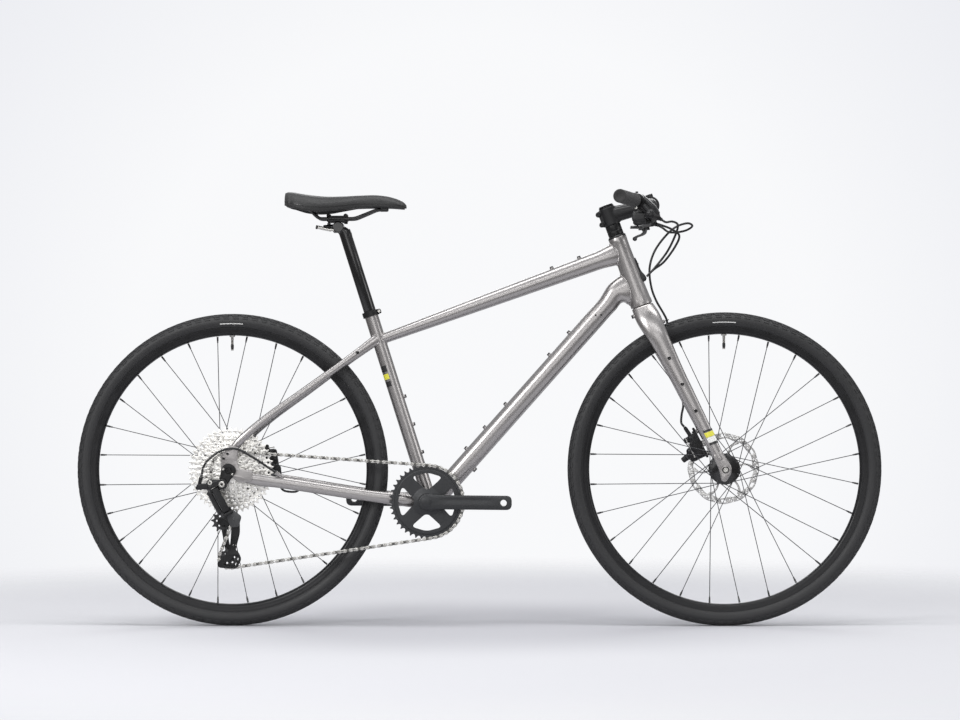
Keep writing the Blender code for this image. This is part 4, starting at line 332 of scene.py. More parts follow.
def slab(outlines, thickness, bevel, matrix=None, steps=1):
    """A flat plate with rounded edges about a frame's first plane, from outlines of (first, second)."""
    curve = bpy.data.curves.new("slab", "CURVE")
    curve.dimensions = "2D"
    curve.fill_mode = "BOTH"
    curve.extrude = thickness / 2 - bevel
    curve.bevel_depth = bevel
    curve.bevel_resolution = steps
    curve.offset = -bevel
    for outline in outlines:
        spline_of_curve = curve.splines.new("POLY")
        spline_of_curve.points.add(len(outline) - 1)
        for point, (first, second) in zip(spline_of_curve.points, outline):
            point.co = (first, second, 0.0, 1.0)
        spline_of_curve.use_cyclic_u = True
    mesh = evaluated(linked("slab", curve))
    bpy.data.curves.remove(curve)
    bm = bmesh.new()
    bm.from_mesh(mesh)
    bmesh.ops.remove_doubles(bm, verts=bm.verts, dist=0.000001)
    made = mesh_of(bm)
    if matrix:
        made.transform(matrix)
    return made


def plate(outlines, y, thickness, bevel=0.0, steps=1):
    """A plate square to Y, from outlines of (x, z)."""
    upright = Matrix.Translation((0.0, y, 0.0)) @ Matrix.Rotation(math.pi / 2, 4, "X")
    return slab(outlines, thickness, bevel, upright, steps)


def merged(meshes):
    """One mesh that holds all of these."""
    bm = bmesh.new()
    for mesh in meshes:
        bm.from_mesh(mesh)
    made = bpy.data.meshes.new("made")
    bm.to_mesh(made)
    bm.free()
    return made


def moved(mesh, matrix):
    """The mesh itself, moved."""
    mesh.transform(matrix)
    return mesh


def copied(mesh, matrix):
    """A moved copy of a mesh."""
    return moved(mesh.copy(), matrix)


def mirrored(mesh):
    """A copy of a mesh on the bicycle's other side."""
    made = copied(mesh, Matrix.Scale(-1.0, 4, (0.0, 1.0, 0.0)))
    made.flip_normals()
    return made


def both_sides(mesh):
    """A left mesh with its copy on the right."""
    return merged([mesh, mirrored(mesh)])


def fused(meshes, voxel, rounds):
    """Overlapping shapes melted into one moulded or forged form, with soft inner corners."""
    return applied(merged(meshes),
                   ("REMESH", {"mode": "VOXEL", "voxel_size": voxel, "adaptivity": 0.0}),
                   ("SMOOTH", {"factor": 0.5, "iterations": rounds}))


def cut(mesh, cutter):
    """The mesh with another closed one taken out of it."""
    tool = linked("tool", cutter)
    tool.hide_render = True
    made = applied(mesh, ("BOOLEAN", {"operation": "DIFFERENCE", "object": tool, "solver": "MANIFOLD"}))
    bpy.data.objects.remove(tool)
    return made


def corner_curve(before, corner, after, radius, steps):
    """Points along the curve that rounds one corner."""
    back, ahead = before - corner, after - corner
    reach = min(radius, back.length * 0.45, ahead.length * 0.45)
    a, b = corner + back.normalized() * reach, corner + ahead.normalized() * reach
    return [a * (1 - t) ** 2 + corner * 2 * t * (1 - t) + b * t * t for t in span(0.0, 1.0, steps + 1)]


def rounded(outline, radius, steps):
    """An outline with each corner rounded."""
    corners = [Vector(corner) for corner in outline]
    made = []
    for i, corner in enumerate(corners):
        after = corners[(i + 1) % len(corners)]
        made += [tuple(p) for p in corner_curve(corners[i - 1], corner, after, radius, steps)]
    return made


def circle(centre, radius, count):
    """A round outline."""
    return [around(centre, radius, angle) for angle in full_turn(count)]


def hole_ring(centre, reach, angles, radius, count):
    """The outlines of round holes at one distance from a centre."""
    return [circle(around(centre, reach, angle), radius, count) for angle in angles]


def arc(centre, radius, start, end, count):
    """Part of a round outline, from one angle to another."""
    return [around(centre, radius, angle) for angle in span(start, end, count)]


def capsule(a, b, radius_a, radius_b, count):
    """The outline of a rounded strip between two points."""
    angle = math.atan2(b[1] - a[1], b[0] - a[0])
    return (arc(a, radius_a, angle + math.pi / 2, angle + 3 * math.pi / 2, count)
            + arc(b, radius_b, angle - math.pi / 2, angle + math.pi / 2, count))


def ribbon(rows, steps):
    """The outline of a strip along a smooth curve, from rows of (first, second, half width)."""
    rows = eased(rows, steps)
    left, right = [], []
    for i, (x, y, half) in enumerate(rows):
        before, after = rows[max(i - 1, 0)], rows[min(i + 1, len(rows) - 1)]
        run = (Vector(after[:2]) - Vector(before[:2])).normalized()
        left.append((x - run.y * half, y + run.x * half))
        right.append((x + run.y * half, y - run.x * half))
    return left + right[::-1]


def frame_matrix(origin, first, second):
    """A frame's matrix from its origin and two axes at right angles."""
    first, second = Vector(first).normalized(), Vector(second).normalized()
    turn = Matrix((first, second, first.cross(second))).transposed().to_4x4()
    return Matrix.Translation(origin) @ turn


def bolt(place, direction, radius, height, sides=20):
    """A socket-head bolt that stands on a place."""
    key = radius * 0.52
    head = [(key, height * 0.35), (key, height - 0.0001), (radius - 0.0004, height),
            (radius, height - 0.0004), (radius, -0.001), (key, -0.001)]
    matrix = towards(place, direction)
    return merged([turned(head, sides, matrix),
                   turned([(0.0, 0.0), (key * 1.05, 0.0), (key * 1.05, height * 0.36),
                           (0.0, height * 0.36)], 6, matrix)])


def weld(rings, target, radius):
    """A rippled bead where a tube's rings, listed from outside in, run into another mesh."""
    tree = BVHTree.FromPolygons([v.co for v in target.vertices],
                                [p.vertices for p in target.polygons])
    loop = []
    for k in range(len(rings[0])):
        for ring, following in zip(rings, rings[1:]):
            way = following[k] - ring[k]
            if way.length < 1e-7:
                continue
            place = tree.ray_cast(ring[k], way.normalized(), way.length)[0]
            if place:
                loop.append(place)
                break
    if len(loop) < 12:
        return []
    fine = []
    for i, point in enumerate(loop):
        after, later = loop[(i + 1) % len(loop)], loop[(i + 2) % len(loop)]
        fine += [spline(loop[i - 1], point, after, later, k / 5) for k in range(5)]
    ripple = [radius * (1.0 + 0.16 * math.sin(2 * math.pi * i / 4.0)) for i in range(len(fine))]
    return [tube(fine, ripple, 8, closed=True)]


def skin(point_of, firsts, seconds):
    """A thin patch over a surface: point_of gives a place and its outward way."""
    above, below = 0.00035, 0.0006
    rings = []
    for first in firsts:
        pairs = [point_of(first, second) for second in seconds]
        over = [place + above * way for place, way in pairs]
        under = [place - below * way for place, way in reversed(pairs)]
        rings.append(over + under)
    return lofted(rings)


# Materials


def connect(tree, target, inputs):
    """Give each of a node's named or numbered inputs a value or another node's output."""
    for name, value in inputs.items():
        if isinstance(value, bpy.types.NodeSocket):
            tree.links.new(value, target.inputs[name])
        else:
            target.inputs[name].default_value = value


def shader_node(tree, kind, output, inputs=None, **settings):
    """One output of a new shader node, once its settings and inputs are in place."""
    made = tree.nodes.new("ShaderNode" + kind)
    for name, value in settings.items():
        setattr(made, name, value)
    connect(tree, made, inputs or {})
    return made.outputs[output]


def colour_ramp(tree, source, low, high, interpolation="LINEAR"):
    """The colour between two stops of (position, colour)."""
    made = tree.nodes.new("ShaderNodeValToRGB")
    made.color_ramp.interpolation = interpolation
    for i, (position, colour) in enumerate((low, high)):
        made.color_ramp.elements[i].position = position
        made.color_ramp.elements[i].color = (*colour, 1.0)
    tree.links.new(source, made.inputs["Fac"])
    return made.outputs["Color"]


def surface(name, colour, roughness, metallic, *, vary, bump, vary_scale=30.0, rough_vary=0.08,
            grain=600.0, wear=None, wear_from=0.56, coat=0.0, coat_roughness=0.1, sheen=0.0,
            stretch=(1.0, 1.0, 1.0), cells=0.0, specular=0.5):
    """A procedural material: uneven colour and gloss, fine grain in relief, and worn edges."""
    made = bpy.data.materials.new(name)
    made.use_nodes = True
    tree = made.node_tree
    place = shader_node(tree, "TexCoord", "Object")
    stretched = shader_node(tree, "Mapping", "Vector", {"Vector": place, "Scale": stretch})
    broad = shader_node(tree, "TexNoise", "Fac", {"Vector": place, "Scale": vary_scale,
                                                  "Detail": 5.0})
    fine = shader_node(tree, "TexNoise", "Fac", {"Vector": stretched, "Scale": grain,
                                                 "Detail": 3.0})
    tint = colour_ramp(tree, broad, (0.30, [c * (1 - vary) for c in colour]),
                       (0.70, [min(1.0, c * (1 + vary)) for c in colour]))
    if wear:
        pointed = shader_node(tree, "NewGeometry", "Pointiness")
        worn = shader_node(tree, "MapRange", "Result", {
            "Value": pointed, "From Min": wear_from, "From Max": wear_from + 0.10, "To Max": 0.55})
        patchy = shader_node(tree, "Math", "Value", {0: worn, 1: broad}, operation="MULTIPLY")
        tint = shader_node(tree, "Mix", "Result", {"Factor": patchy, "A": tint, "B": (*wear, 1.0)},
                           data_type="RGBA")
    gloss = shader_node(tree, "MapRange", "Result", {
        "Value": broad, "From Min": 0.3, "From Max": 0.7,
        "To Min": max(0.02, roughness - rough_vary), "To Max": min(1.0, roughness + rough_vary)})
    height = fine
    if cells:
        cell = shader_node(tree, "TexVoronoi", "Distance", {"Vector": stretched, "Scale": cells},
                           feature="DISTANCE_TO_EDGE")
        crease = shader_node(tree, "MapRange", "Result", {"Value": cell, "From Max": 0.12})
        height = shader_node(tree, "Math", "Value", {0: fine, 1: 0.35, 2: crease},
                             operation="MULTIPLY_ADD")
    relief = shader_node(tree, "Bump", "Normal", {"Height": height, "Strength": bump,
                                                  "Distance": 0.0002})
    connect(tree, tree.nodes["Principled BSDF"], {
        "Base Color": tint, "Metallic": metallic, "Roughness": gloss, "Normal": relief,
        "Coat Weight": coat, "Coat Roughness": coat_roughness, "Sheen Weight": sheen,
        "Specular IOR Level": specular})
    return made


PAINT = surface("pewter_paint", (0.36, 0.345, 0.34), 0.31, 0.90, vary=0.03, vary_scale=8.0,
                rough_vary=0.02, grain=900.0, bump=0.03, coat=0.5, coat_roughness=0.14)
BLACK = surface("black_anodised", (0.0060, 0.0060, 0.0065), 0.34, 0.10, vary=0.20, grain=1800.0,
                bump=0.06, wear=(0.07, 0.07, 0.072), wear_from=0.62, specular=0.38)
FORGED = surface("black_casting", (0.010, 0.010, 0.011), 0.40, 0.10, vary=0.14, vary_scale=18.0,
                 grain=1500.0, bump=0.10, wear=(0.07, 0.07, 0.072), wear_from=0.62, specular=0.40)
SATIN = surface("black_forged", (0.030, 0.031, 0.033), 0.46, 0.35, vary=0.12, vary_scale=18.0,
                grain=1500.0, bump=0.14, wear=(0.14, 0.14, 0.15), wear_from=0.60)
GLOSS = surface("black_gloss", (0.006, 0.006, 0.0065), 0.22, 0.1, vary=0.15, rough_vary=0.05,
                grain=900.0, bump=0.04, coat=0.4)
PLASTIC = surface("black_plastic", (0.009, 0.009, 0.010), 0.48, 0.0, vary=0.15, grain=1400.0,
                  bump=0.22)
HOSE = surface("hose", (0.010, 0.010, 0.011), 0.36, 0.0, vary=0.12, grain=2200.0, bump=0.06)
GRIP = surface("grip_rubber", (0.019, 0.019, 0.019), 0.74, 0.0, vary=0.14, grain=1600.0, bump=0.35,
               sheen=0.15, cells=900.0)
TYRE = surface("tyre_rubber", (0.021, 0.021, 0.022), 0.72, 0.0, vary=0.22, vary_scale=16.0,
               grain=1100.0, bump=0.30, wear=(0.060, 0.060, 0.062), wear_from=0.56)
SIDEWALL = surface("tyre_sidewall", (0.017, 0.017, 0.018), 0.58, 0.0, vary=0.16, vary_scale=22.0,
                   grain=1500.0, bump=0.22)
RIM = surface("black_rim", (0.011, 0.011, 0.012), 0.36, 0.4, vary=0.14, grain=2000.0, bump=0.07,
              wear=(0.20, 0.20, 0.21), wear_from=0.62)
SPOKE = surface("spoke_steel", (0.075, 0.076, 0.080), 0.34, 0.85, vary=0.15, grain=2000.0, bump=0.05)
STEEL = surface("bright_steel", (0.62, 0.61, 0.58), 0.27, 1.0, vary=0.10, vary_scale=60.0,
                grain=900.0, bump=0.12, stretch=(1.0, 1.0, 5.0))
ROTOR = surface("rotor_steel", (0.55, 0.545, 0.535), 0.30, 1.0, vary=0.10, vary_scale=90.0,
                grain=1200.0, bump=0.20)
COG = surface("sprocket_steel", (0.86, 0.845, 0.81), 0.36, 1.0, vary=0.12, vary_scale=120.0,
              grain=1400.0, bump=0.10)
CHAIN = surface("chain_steel", (0.50, 0.49, 0.465), 0.28, 1.0, vary=0.18, vary_scale=150.0,
                grain=1500.0, bump=0.08)
DARK_CHAIN = surface("dark_chain_steel", (0.13, 0.128, 0.12), 0.32, 1.0, vary=0.20, vary_scale=150.0,
                     grain=1500.0, bump=0.08)
LEATHER = surface("saddle_cover", (0.014, 0.014, 0.0145), 0.54, 0.0, vary=0.12, vary_scale=25.0,
                  grain=1200.0, bump=0.30, sheen=0.08, cells=700.0)
YELLOW = surface("yellow_band", (0.72, 0.68, 0.06), 0.42, 0.0, vary=0.04, coat=0.4, bump=0.04)
WHITE = surface("pale_band", (0.80, 0.80, 0.78), 0.45, 0.0, vary=0.03, coat=0.3, bump=0.04)
BAND = surface("black_band", (0.014, 0.014, 0.015), 0.40, 0.0, vary=0.08, coat=0.4, bump=0.04)
BRASS = surface("valve_metal", (0.46, 0.45, 0.43), 0.32, 1.0, vary=0.12, grain=1600.0, bump=0.10)

PLATE_GREY = surface("grey_alloy", (0.060, 0.061, 0.063), 0.36, 0.60, vary=0.08, vary_scale=20.0,
                     grain=1700.0, bump=0.10, wear=(0.24, 0.24, 0.25), wear_from=0.60)


def show(name, mesh, finish, body, replaced=(), sharp=38):
    """Put a finished mesh in the scene as a named piece that rides on a body."""
    obj = linked(name, mesh)
    mesh.name = name
    mesh.materials.clear()
    mesh.materials.append(finish)
    mesh.shade_smooth()
    mesh.set_sharp_from_angle(angle=math.radians(sharp))
    if body:
        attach(obj, body)
    if replaced:
        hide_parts(*replaced)
    return obj


def show_pair(name, mesh, finish, bodies, nodes=None, sharp=38):
    """A left piece and its copy on the right; a node's name lacks its side's word."""
    for side, copy, body in (("left", mesh, bodies[0]), ("right", mirrored(mesh), bodies[1])):
        show(name + "_" + side, copy, finish, body, [nodes + side] if nodes else (), sharp)


# Camera, light and floor

PHOTO_WIDTH = 960.0
FOCAL_LENGTH_IN_PIXELS = 2863.0
SENSOR_WIDTH = 36.0
CAMERA_PLACE = (0.215, -6.376, 0.577)
LAMP_TARGET = (0.0, 0.0, 0.5)


def camera():
    """The photograph's view, found from both wheels and the frame's tubes."""
    yaw, pitch, roll = math.radians(-1.88), math.radians(0.13), math.radians(-0.15)
    ahead = Vector((math.sin(yaw) * math.cos(pitch), math.cos(yaw) * math.cos(pitch),
                    math.sin(pitch)))
    right = Vector((math.cos(yaw), -math.sin(yaw), 0.0))
    top = right.cross(ahead)
    right, top = (right * math.cos(roll) + top * math.sin(roll),
                  top * math.cos(roll) - right * math.sin(roll))
    turn = Matrix((right, top, -ahead)).transposed().to_4x4()
    lens = bpy.data.cameras.new("camera")
    lens.sensor_width = SENSOR_WIDTH
    lens.lens = FOCAL_LENGTH_IN_PIXELS * SENSOR_WIDTH / PHOTO_WIDTH
    lens.clip_end = 200.0
    holder = linked("camera", lens)
    holder.matrix_world = Matrix.Translation(CAMERA_PLACE) @ turn
    bpy.context.scene.camera = holder


def lamp(name, place, width, height, power, target=LAMP_TARGET):
    """A soft box that the camera doesn't see, turned to its target."""
    light = bpy.data.lights.new(name, "AREA")
    light.shape = "RECTANGLE"
    light.size = width
    light.size_y = height
    light.energy = power
    holder = linked(name, light)
    run = Vector(target) - Vector(place)
    holder.matrix_world = Matrix.Translation(place) @ run.to_track_quat("-Z", "Y").to_matrix().to_4x4()
    holder.visible_camera = False


def studio():
    """Soft boxes over and beside the bicycle, a pale world whose backdrop has a painted pool of light, and
    a floor that keeps the shadow and has a painted shadow under the wheels.
    """
    lamp("top_box", (0.0, -0.5, 3.0), 3.6, 0.8, 52.0)
    lamp("front_box", (0.4, -3.4, 2.3), 3.0, 0.5, 18.0)
    lamp("back_box", (0.2, 3.2, 2.2), 2.6, 1.2, 26.0)
    lamp("side_box", (3.4, -1.0, 1.2), 1.4, 1.4, 18.0, target=(0.2, 0.0, 0.5))
    lamp("left_box", (-2.6, -3.0, 2.2), 1.5, 1.6, 78.0)
    lamp("camera_fill", (0.0, -7.0, 1.2), 4.0, 1.6, 36.0)

    world = bpy.data.worlds.new("studio")
    bpy.context.scene.world = world
    world.use_nodes = True
    tree = world.node_tree
    tree.nodes.clear()
    place = shader_node(tree, "TexCoord", "Generated")
    upward = shader_node(tree, "SeparateXYZ", "Z", {"Vector": place})
    height = shader_node(tree, "MapRange", "Result", {"Value": upward, "From Min": -1.0})
    dome = colour_ramp(tree, height, (0.40, (0.20, 0.195, 0.195)), (0.85, (0.52, 0.53, 0.55)))
    # The backdrop that the camera sees is brighter round the middle of the view and darker and bluer
    # towards its edges: a painted pool of light.
    spread = shader_node(tree, "VectorMath", "Value", {0: place, 1: (-0.035, 0.999, -0.005)},
                         operation="DISTANCE")
    backdrop = colour_ramp(tree, spread, (0.12, (0.945, 0.950, 0.965)), (0.24, (0.815, 0.825, 0.870)))
    lit, seen = [shader_node(tree, "Background", "Background", {"Color": colour, "Strength": 1.0})
                 for colour in (dome, backdrop)]
    from_camera = shader_node(tree, "LightPath", "Is Camera Ray")
    both = shader_node(tree, "MixShader", "Shader", {0: from_camera, 1: lit, 2: seen})
    connect(tree, tree.nodes.new("ShaderNodeOutputWorld"), {"Surface": both})

    bm = bmesh.new()
    bmesh.ops.create_circle(bm, cap_ends=True, segments=96, radius=9.0)
    floor = linked("floor", mesh_of(bm))
    floor.data.materials.append(floor_finish())


def floor_finish():
    """A pale floor with a wide soft painted shadow under the wheels, which fades out to the backdrop."""
    made = bpy.data.materials.new("floor")
    made.use_nodes = True
    tree = made.node_tree
    place = shader_node(tree, "TexCoord", "Object")
    squeezed = shader_node(tree, "Mapping", "Vector", {
        "Vector": place, "Location": (-0.02, -0.02, 0.0), "Scale": (1 / 1.02, 1 / 0.80, 1.0)})
    reach = shader_node(tree, "VectorMath", "Value", {0: squeezed}, operation="LENGTH")
    # The floor's colour darkens in a wide ellipse under the bicycle: a painted shadow.
    painted_shadow = colour_ramp(tree, reach, (0.30, (0.50, 0.50, 0.53)), (1.0, (0.64, 0.64, 0.665)), "EASE")
    shader = tree.nodes["Principled BSDF"]
    connect(tree, shader, {"Base Color": painted_shadow, "Roughness": 0.9, "Specular IOR Level": 0.1})
    away = shader_node(tree, "VectorMath", "Value", {0: place}, operation="LENGTH")
    fade = shader_node(tree, "MapRange", "Result", {"Value": away, "From Min": 1.1, "From Max": 2.4},
                       interpolation_type="SMOOTHSTEP")
    clear = shader_node(tree, "BsdfTransparent", "BSDF")
    both = shader_node(tree, "MixShader", "Shader", {0: fade, 1: shader.outputs["BSDF"], 2: clear})
    connect(tree, tree.nodes["Material Output"], {"Surface": both})
    return made


# Wheels

RIM_INNER_RADIUS = 0.2995
RIM_HALF_WIDTH = 0.01175
TYRE_CENTRE_RADIUS, TYRE_HALF_DEPTH, TYRE_HALF_WIDTH = 0.3298, 0.0170, 0.0183
TREAD_REPEATS = 100
FLANGE_RADIUS = 0.0340
FLANGE_BORE = 0.0150
SPOKES_PER_SIDE = 14
SPOKE_CIRCLE = 0.0305
FRONT_ROTOR_Y, REAR_ROTOR_Y = 0.0345, 0.0520


def tyre_section(turn):
    """The tyre's outside in its section: turn 0 is the crown, and half a turn the rim."""
    return (TYRE_CENTRE_RADIUS + TYRE_HALF_DEPTH * math.cos(turn), TYRE_HALF_WIDTH * math.sin(turn))


def tyre(centre):
    """A carcass with raised sidewall lines, and rows of small tread blocks round it."""
    profile = []
    for i in range(-33, 34):
        turn = math.radians(4.05 * i)
        radius, y = tyre_section(turn)
        lines = 0.0
        for at in (78.0, 84.0, 112.0, 128.0):
            lines += 0.00035 * math.exp(-((abs(math.degrees(turn)) - at) / 1.6) ** 2)
        profile.append((radius + lines * math.cos(turn), y + lines * math.sin(turn)))
    profile = [(0.3150, -0.0093)] + profile + [(0.3150, 0.0093)]
    carcass = turned(profile, 200, ring=True)
    bm = bmesh.new()
    pads = ((0.0, 13.0, 0.10, 0.62, 0.22), (14.5, 31.0, 0.30, 0.86, 0.20),
            (32.5, 49.0, -0.02, 0.60, 0.16), (51.0, 66.0, 0.18, 0.74, 0.02))
    step = 2 * math.pi / TREAD_REPEATS
    for k in range(TREAD_REPEATS):
        for side, shift in ((-1, 0.0), (1, 0.5)):
            for low, high, start, end, slant in pads:
                add_pad(bm, side, (math.radians(low + 1.0), math.radians(high)),
                        ((k + shift + start) * step, (k + shift + end) * step), slant * step)
    return moved(carcass, along_y(centre)), moved(mesh_of(bm), along_y(centre))


def add_pad(bm, side, turns, angles, slant):
    """One tread block, which follows the tyre's curve."""
    rows = []
    for height, inset in ((-0.0006, 0.0), (0.0010, 0.02), (0.00125, 0.10)):
        row = []
        for u, v in ((0, 0), (0.5, 0), (1, 0), (1, 1), (0.5, 1), (0, 1)):
            u = 0.5 + (u - 0.5) * (1 - inset)
            v = 0.5 + (v - 0.5) * (1 - inset)
            turn = side * (turns[0] + (turns[1] - turns[0]) * u)
            angle = angles[0] + (angles[1] - angles[0]) * v + slant * u
            radius, y = tyre_section(turn)
            radius += height * math.cos(turn)
            y += height * math.sin(turn)
            row.append(bm.verts.new((*around((0.0, 0.0), radius, angle), y)))
        rows.append(row)
    for row, above in zip(rows, rows[1:]):
        for i in range(6):
            j = (i + 1) % 6
            bm.faces.new((row[i], row[j], above[j], above[i]))
    low, top = rows[0], rows[-1]
    for corners in ((top[0], top[1], top[4], top[5]), (top[1], top[2], top[3], top[4]),
                    (low[5], low[4], low[1], low[0]), (low[4], low[3], low[2], low[1])):
        bm.faces.new(corners)


def rim(centre):
    """A disc-brake rim: hooked edges, shallow flanks and a rounded spoke bed."""
    half = RIM_HALF_WIDTH
    outer = [(0.3095, -0.0098), (0.3160, -0.0098), (0.3173, -0.0104), (0.3175, -half + 0.0004),
             (0.3171, -half), (0.3130, -half), (0.3122, -half + 0.0004), (0.3080, -half + 0.0004),
             (0.3056, -half + 0.0009), (0.3035, -0.0098), (0.3012, -0.0068), (0.2999, -0.0034),
             (RIM_INNER_RADIUS, 0.0)]
    return turned(outer + [(r, -y) for r, y in reversed(outer[:-1])], 200, along_y(centre))


def spokes(centre, flanges):
    """Round spokes with elbows and heads at the flanges, and the nipples at the rim."""
    wires, nipples = [], []
    step = 2 * math.pi / SPOKES_PER_SIDE
    for side, flange in ((-1, flanges[0]), (1, flanges[1])):
        for i in range(SPOKES_PER_SIDE):
            lead = 1 if i % 2 else -1
            at_hub = i * step + (step / 2 if side > 0 else 0.0) + step / 4
            at_rim = at_hub + lead * 3 * step
            y = flange + lead * 0.0030
            root = Vector((SPOKE_CIRCLE * math.cos(at_hub), y, SPOKE_CIRCLE * math.sin(at_hub)))
            end = Vector((0.2985 * math.cos(at_rim), side * 0.0030, 0.2985 * math.sin(at_rim)))
            run = (end - root).normalized()
            head = root - Vector((0.0, lead * 0.0058, 0.0))
            path = [head, root - Vector((0.0, lead * 0.0012, 0.0)), root + 0.0007 * run,
                    root + 0.0018 * run, root + 0.020 * run, end - 0.012 * run]
            wires.append(tube([centre + p for p in path],
                              [0.00105, 0.00105, 0.00105, 0.00102, 0.0009, 0.0009], 10))
            wires.append(turned([(0.0, -0.0004), (0.0019, -0.0002), (0.0021, 0.0006),
                                 (0.0011, 0.0014), (0.0, 0.0014)], 10,
                                towards(centre + head, root - head)))
            foot, top = centre + end - 0.0135 * run, centre + end + 0.0008 * run
            nipples.append(turned([(0.0, 0.0), (0.0016, 0.0003), (0.0017, 0.0045), (0.0021, 0.0052),
                                   (0.0021, 0.0128), (0.0027, 0.0136), (0.0, 0.0142)], 12,
                                  towards(foot, top - foot)))
    return merged(wires), merged(nipples)


def rotor(centre, y):
    """A brake rotor: a scalloped ring with slots and holes, on six slanted arms."""
    middle = (0.0, 0.0)
    edge = full_turn(144)
    ring = [[around(middle, 0.0792 + 0.0008 * math.cos(12 * a), a) for a in edge],
            [around(middle, 0.0662 + 0.0013 * math.cos(12 * a + 1.2), a) for a in edge]]
    for k, base in enumerate(full_turn(12)):
        drilled = [(0.0712, 0.19), (0.0742, 0.24), (0.0768, 0.29), (0.0705, 0.30)]
        if k % 2:
            corners = ((0.0700, -0.085), (0.0700, 0.055), (0.0765, 0.085), (0.0765, -0.055))
            ring.append(rounded([around(middle, r, base + a) for r, a in corners], 0.0025, 3))
        else:
            ring += [circle(around(middle, r, base + a), 0.0016, 10)
                     for r, a in ((0.0760, -0.09), (0.0735, -0.03), (0.0710, 0.03), (0.0752, 0.10))]
        ring += [circle(around(middle, r, base + a), 0.0014, 10) for r, a in drilled]
    parts = [plate(ring, 0.0, 0.0018, 0.0001)]
    for base in full_turn(6):
        rows = [(*around(middle, r, base + a), half) for r, a, half in (
            (0.0180, 0.0, 0.0055), (0.0300, 0.16, 0.0030), (0.0440, 0.20, 0.0022),
            (0.0560, 0.14, 0.0024), (0.0675, 0.02, 0.0050))]
        parts.append(plate([ribbon(rows, 5)], 0.0, 0.0017, 0.0001))
    carrier = [circle(middle, 0.0225, 48), circle(middle, 0.0150, 32)]
    carrier += hole_ring(middle, 0.0190, full_turn(6, math.pi / 6), 0.0014, 10)
    parts.append(plate(carrier, 0.0, 0.0020, 0.0002))
    return moved(merged(parts), Matrix.Translation(centre + y * ACROSS))


def hub(centre, profile, flanges):
    """A turned hub shell whose flanges are drilled between the spokes."""
    drilled = []
    for y in flanges:
        outline = [circle((0.0, 0.0), FLANGE_RADIUS, 64), circle((0.0, 0.0), FLANGE_BORE, 32)]
        outline += hole_ring((0.0, 0.0), 0.0245, full_turn(SPOKES_PER_SIDE), 0.0026, 12)
        drilled.append(moved(plate(outline, 0.0, 0.0030, 0.0006, 2),
                             Matrix.Translation(centre + y * ACROSS)))
    return merged([turned(profile, 56, along_y(centre))] + drilled)


def valve(centre):
    """A threaded stem through the rim, with its nut and a cap."""
    stem = [(0.0, 0.0005), (0.0029, 0.0005), (0.0029, 0.0010), (0.0029, 0.0095)]
    stem += [(0.00295 if i % 2 else 0.00265, 0.0100 + 0.0125 * i / 40) for i in range(40)]
    stem += [(0.0029, 0.0232), (0.0029, 0.0330), (0.0, 0.0330)]
    top = centre + Vector((0.0, 0.0, RIM_INNER_RADIUS - 0.0003))
    nut = [(0.0030, 0.0), (0.0062, 0.0), (0.0062, 0.0012), (0.0055, 0.0030), (0.0030, 0.0030)]
    body = merged([turned(stem, 20, towards(top, -UP)), turned(nut, 24, towards(top, -UP))])
    ribs = [(0.0, 0.0), (0.0031, 0.0)]
    ribs += [(0.0036 if i % 2 else 0.0033, 0.0006 + 0.0008 * i) for i in range(9)]
    ribs += [(0.0030, 0.0105), (0.0022, 0.0133), (0.0, 0.0136)]
    return body, turned(ribs, 20, towards(top - 0.0195 * UP, -UP))


def tyre_label(centre, side):
    """A plain pale bar on the sidewall by the valve."""
    rings = []
    for degrees in span(-4.5, 4.5, 25):
        angle = math.pi / 2 + math.radians(degrees)
        ring = []
        for turn in (100.0, 102.0, 104.0, 106.0):
            radius, y = tyre_section(math.radians(turn))
            ring.append((radius, side * (y + 0.00035)))
        back = [(r, side * (abs(y) - 0.0008)) for r, y in reversed(ring)]
        rings.append([centre + Vector((r * math.cos(angle), y, r * math.sin(angle)))
                      for r, y in ring + back])
    return lofted(rings)


def wheel(name, centre, flanges, profile, rotor_y, body):
    """Every piece of one wheel, in the wheel's own body."""
    carcass, blocks = tyre(centre)
    show(name + "_tyre_carcass", carcass, SIDEWALL, body, [name + "_tyre"])
    show(name + "_tyre_tread", blocks, TYRE, body, sharp=25)
    for side, word in ((-1, "right"), (1, "left")):
        show(name + "_tyre_label_" + word, tyre_label(centre, side), WHITE, body)
    show(name + "_rim_shell", rim(centre), RIM, body, [name + "_rim"])
    show(name + "_hub_shell", hub(centre, profile, flanges), GLOSS, body,
         [name + "_hub"])
    wires, nipples = spokes(centre, flanges)
    show(name + "_spokes", wires, SPOKE, body)
    show(name + "_nipples", nipples, GLOSS, body)
    show(name + "_rotor", rotor(centre, rotor_y), ROTOR, body,
         [name + "_brake_rotor"], sharp=30)
    lock = [(0.0148, 0.0), (0.0205, 0.0), (0.0212, 0.0012), (0.0212, 0.0026), (0.0190, 0.0036),
            (0.0148, 0.0036)]
    show(name + "_rotor_lockring", turned(lock, 48, along_y(centre + (rotor_y + 0.0011) * ACROSS)),
         BLACK, body)
    stem, cap = valve(centre)
    show(name + "_valve_stem", stem, BRASS, body, [name + "_valve"])
    show(name + "_valve_cap", cap, PLASTIC, body)


def hub_profile(right, left, right_end, waist, shoulder, left_end):
    """A hub's profile between its ends: two flanges and a waist that flows from one to the other."""
    def flange(at):
        return [(0.0240, at - 0.0022), (0.0335, at - 0.0014), (0.0335, at + 0.0014),
                (0.0240, at + 0.0022)]

    middle = eased([(shoulder, right + 0.0050), (waist + 0.0005, right + 0.0120),
                    (waist, (right + left) / 2), (waist + 0.0005, left - 0.0120),
                    (shoulder, left - 0.0050)], 3)
    return right_end + flange(right) + middle + flange(left) + left_end


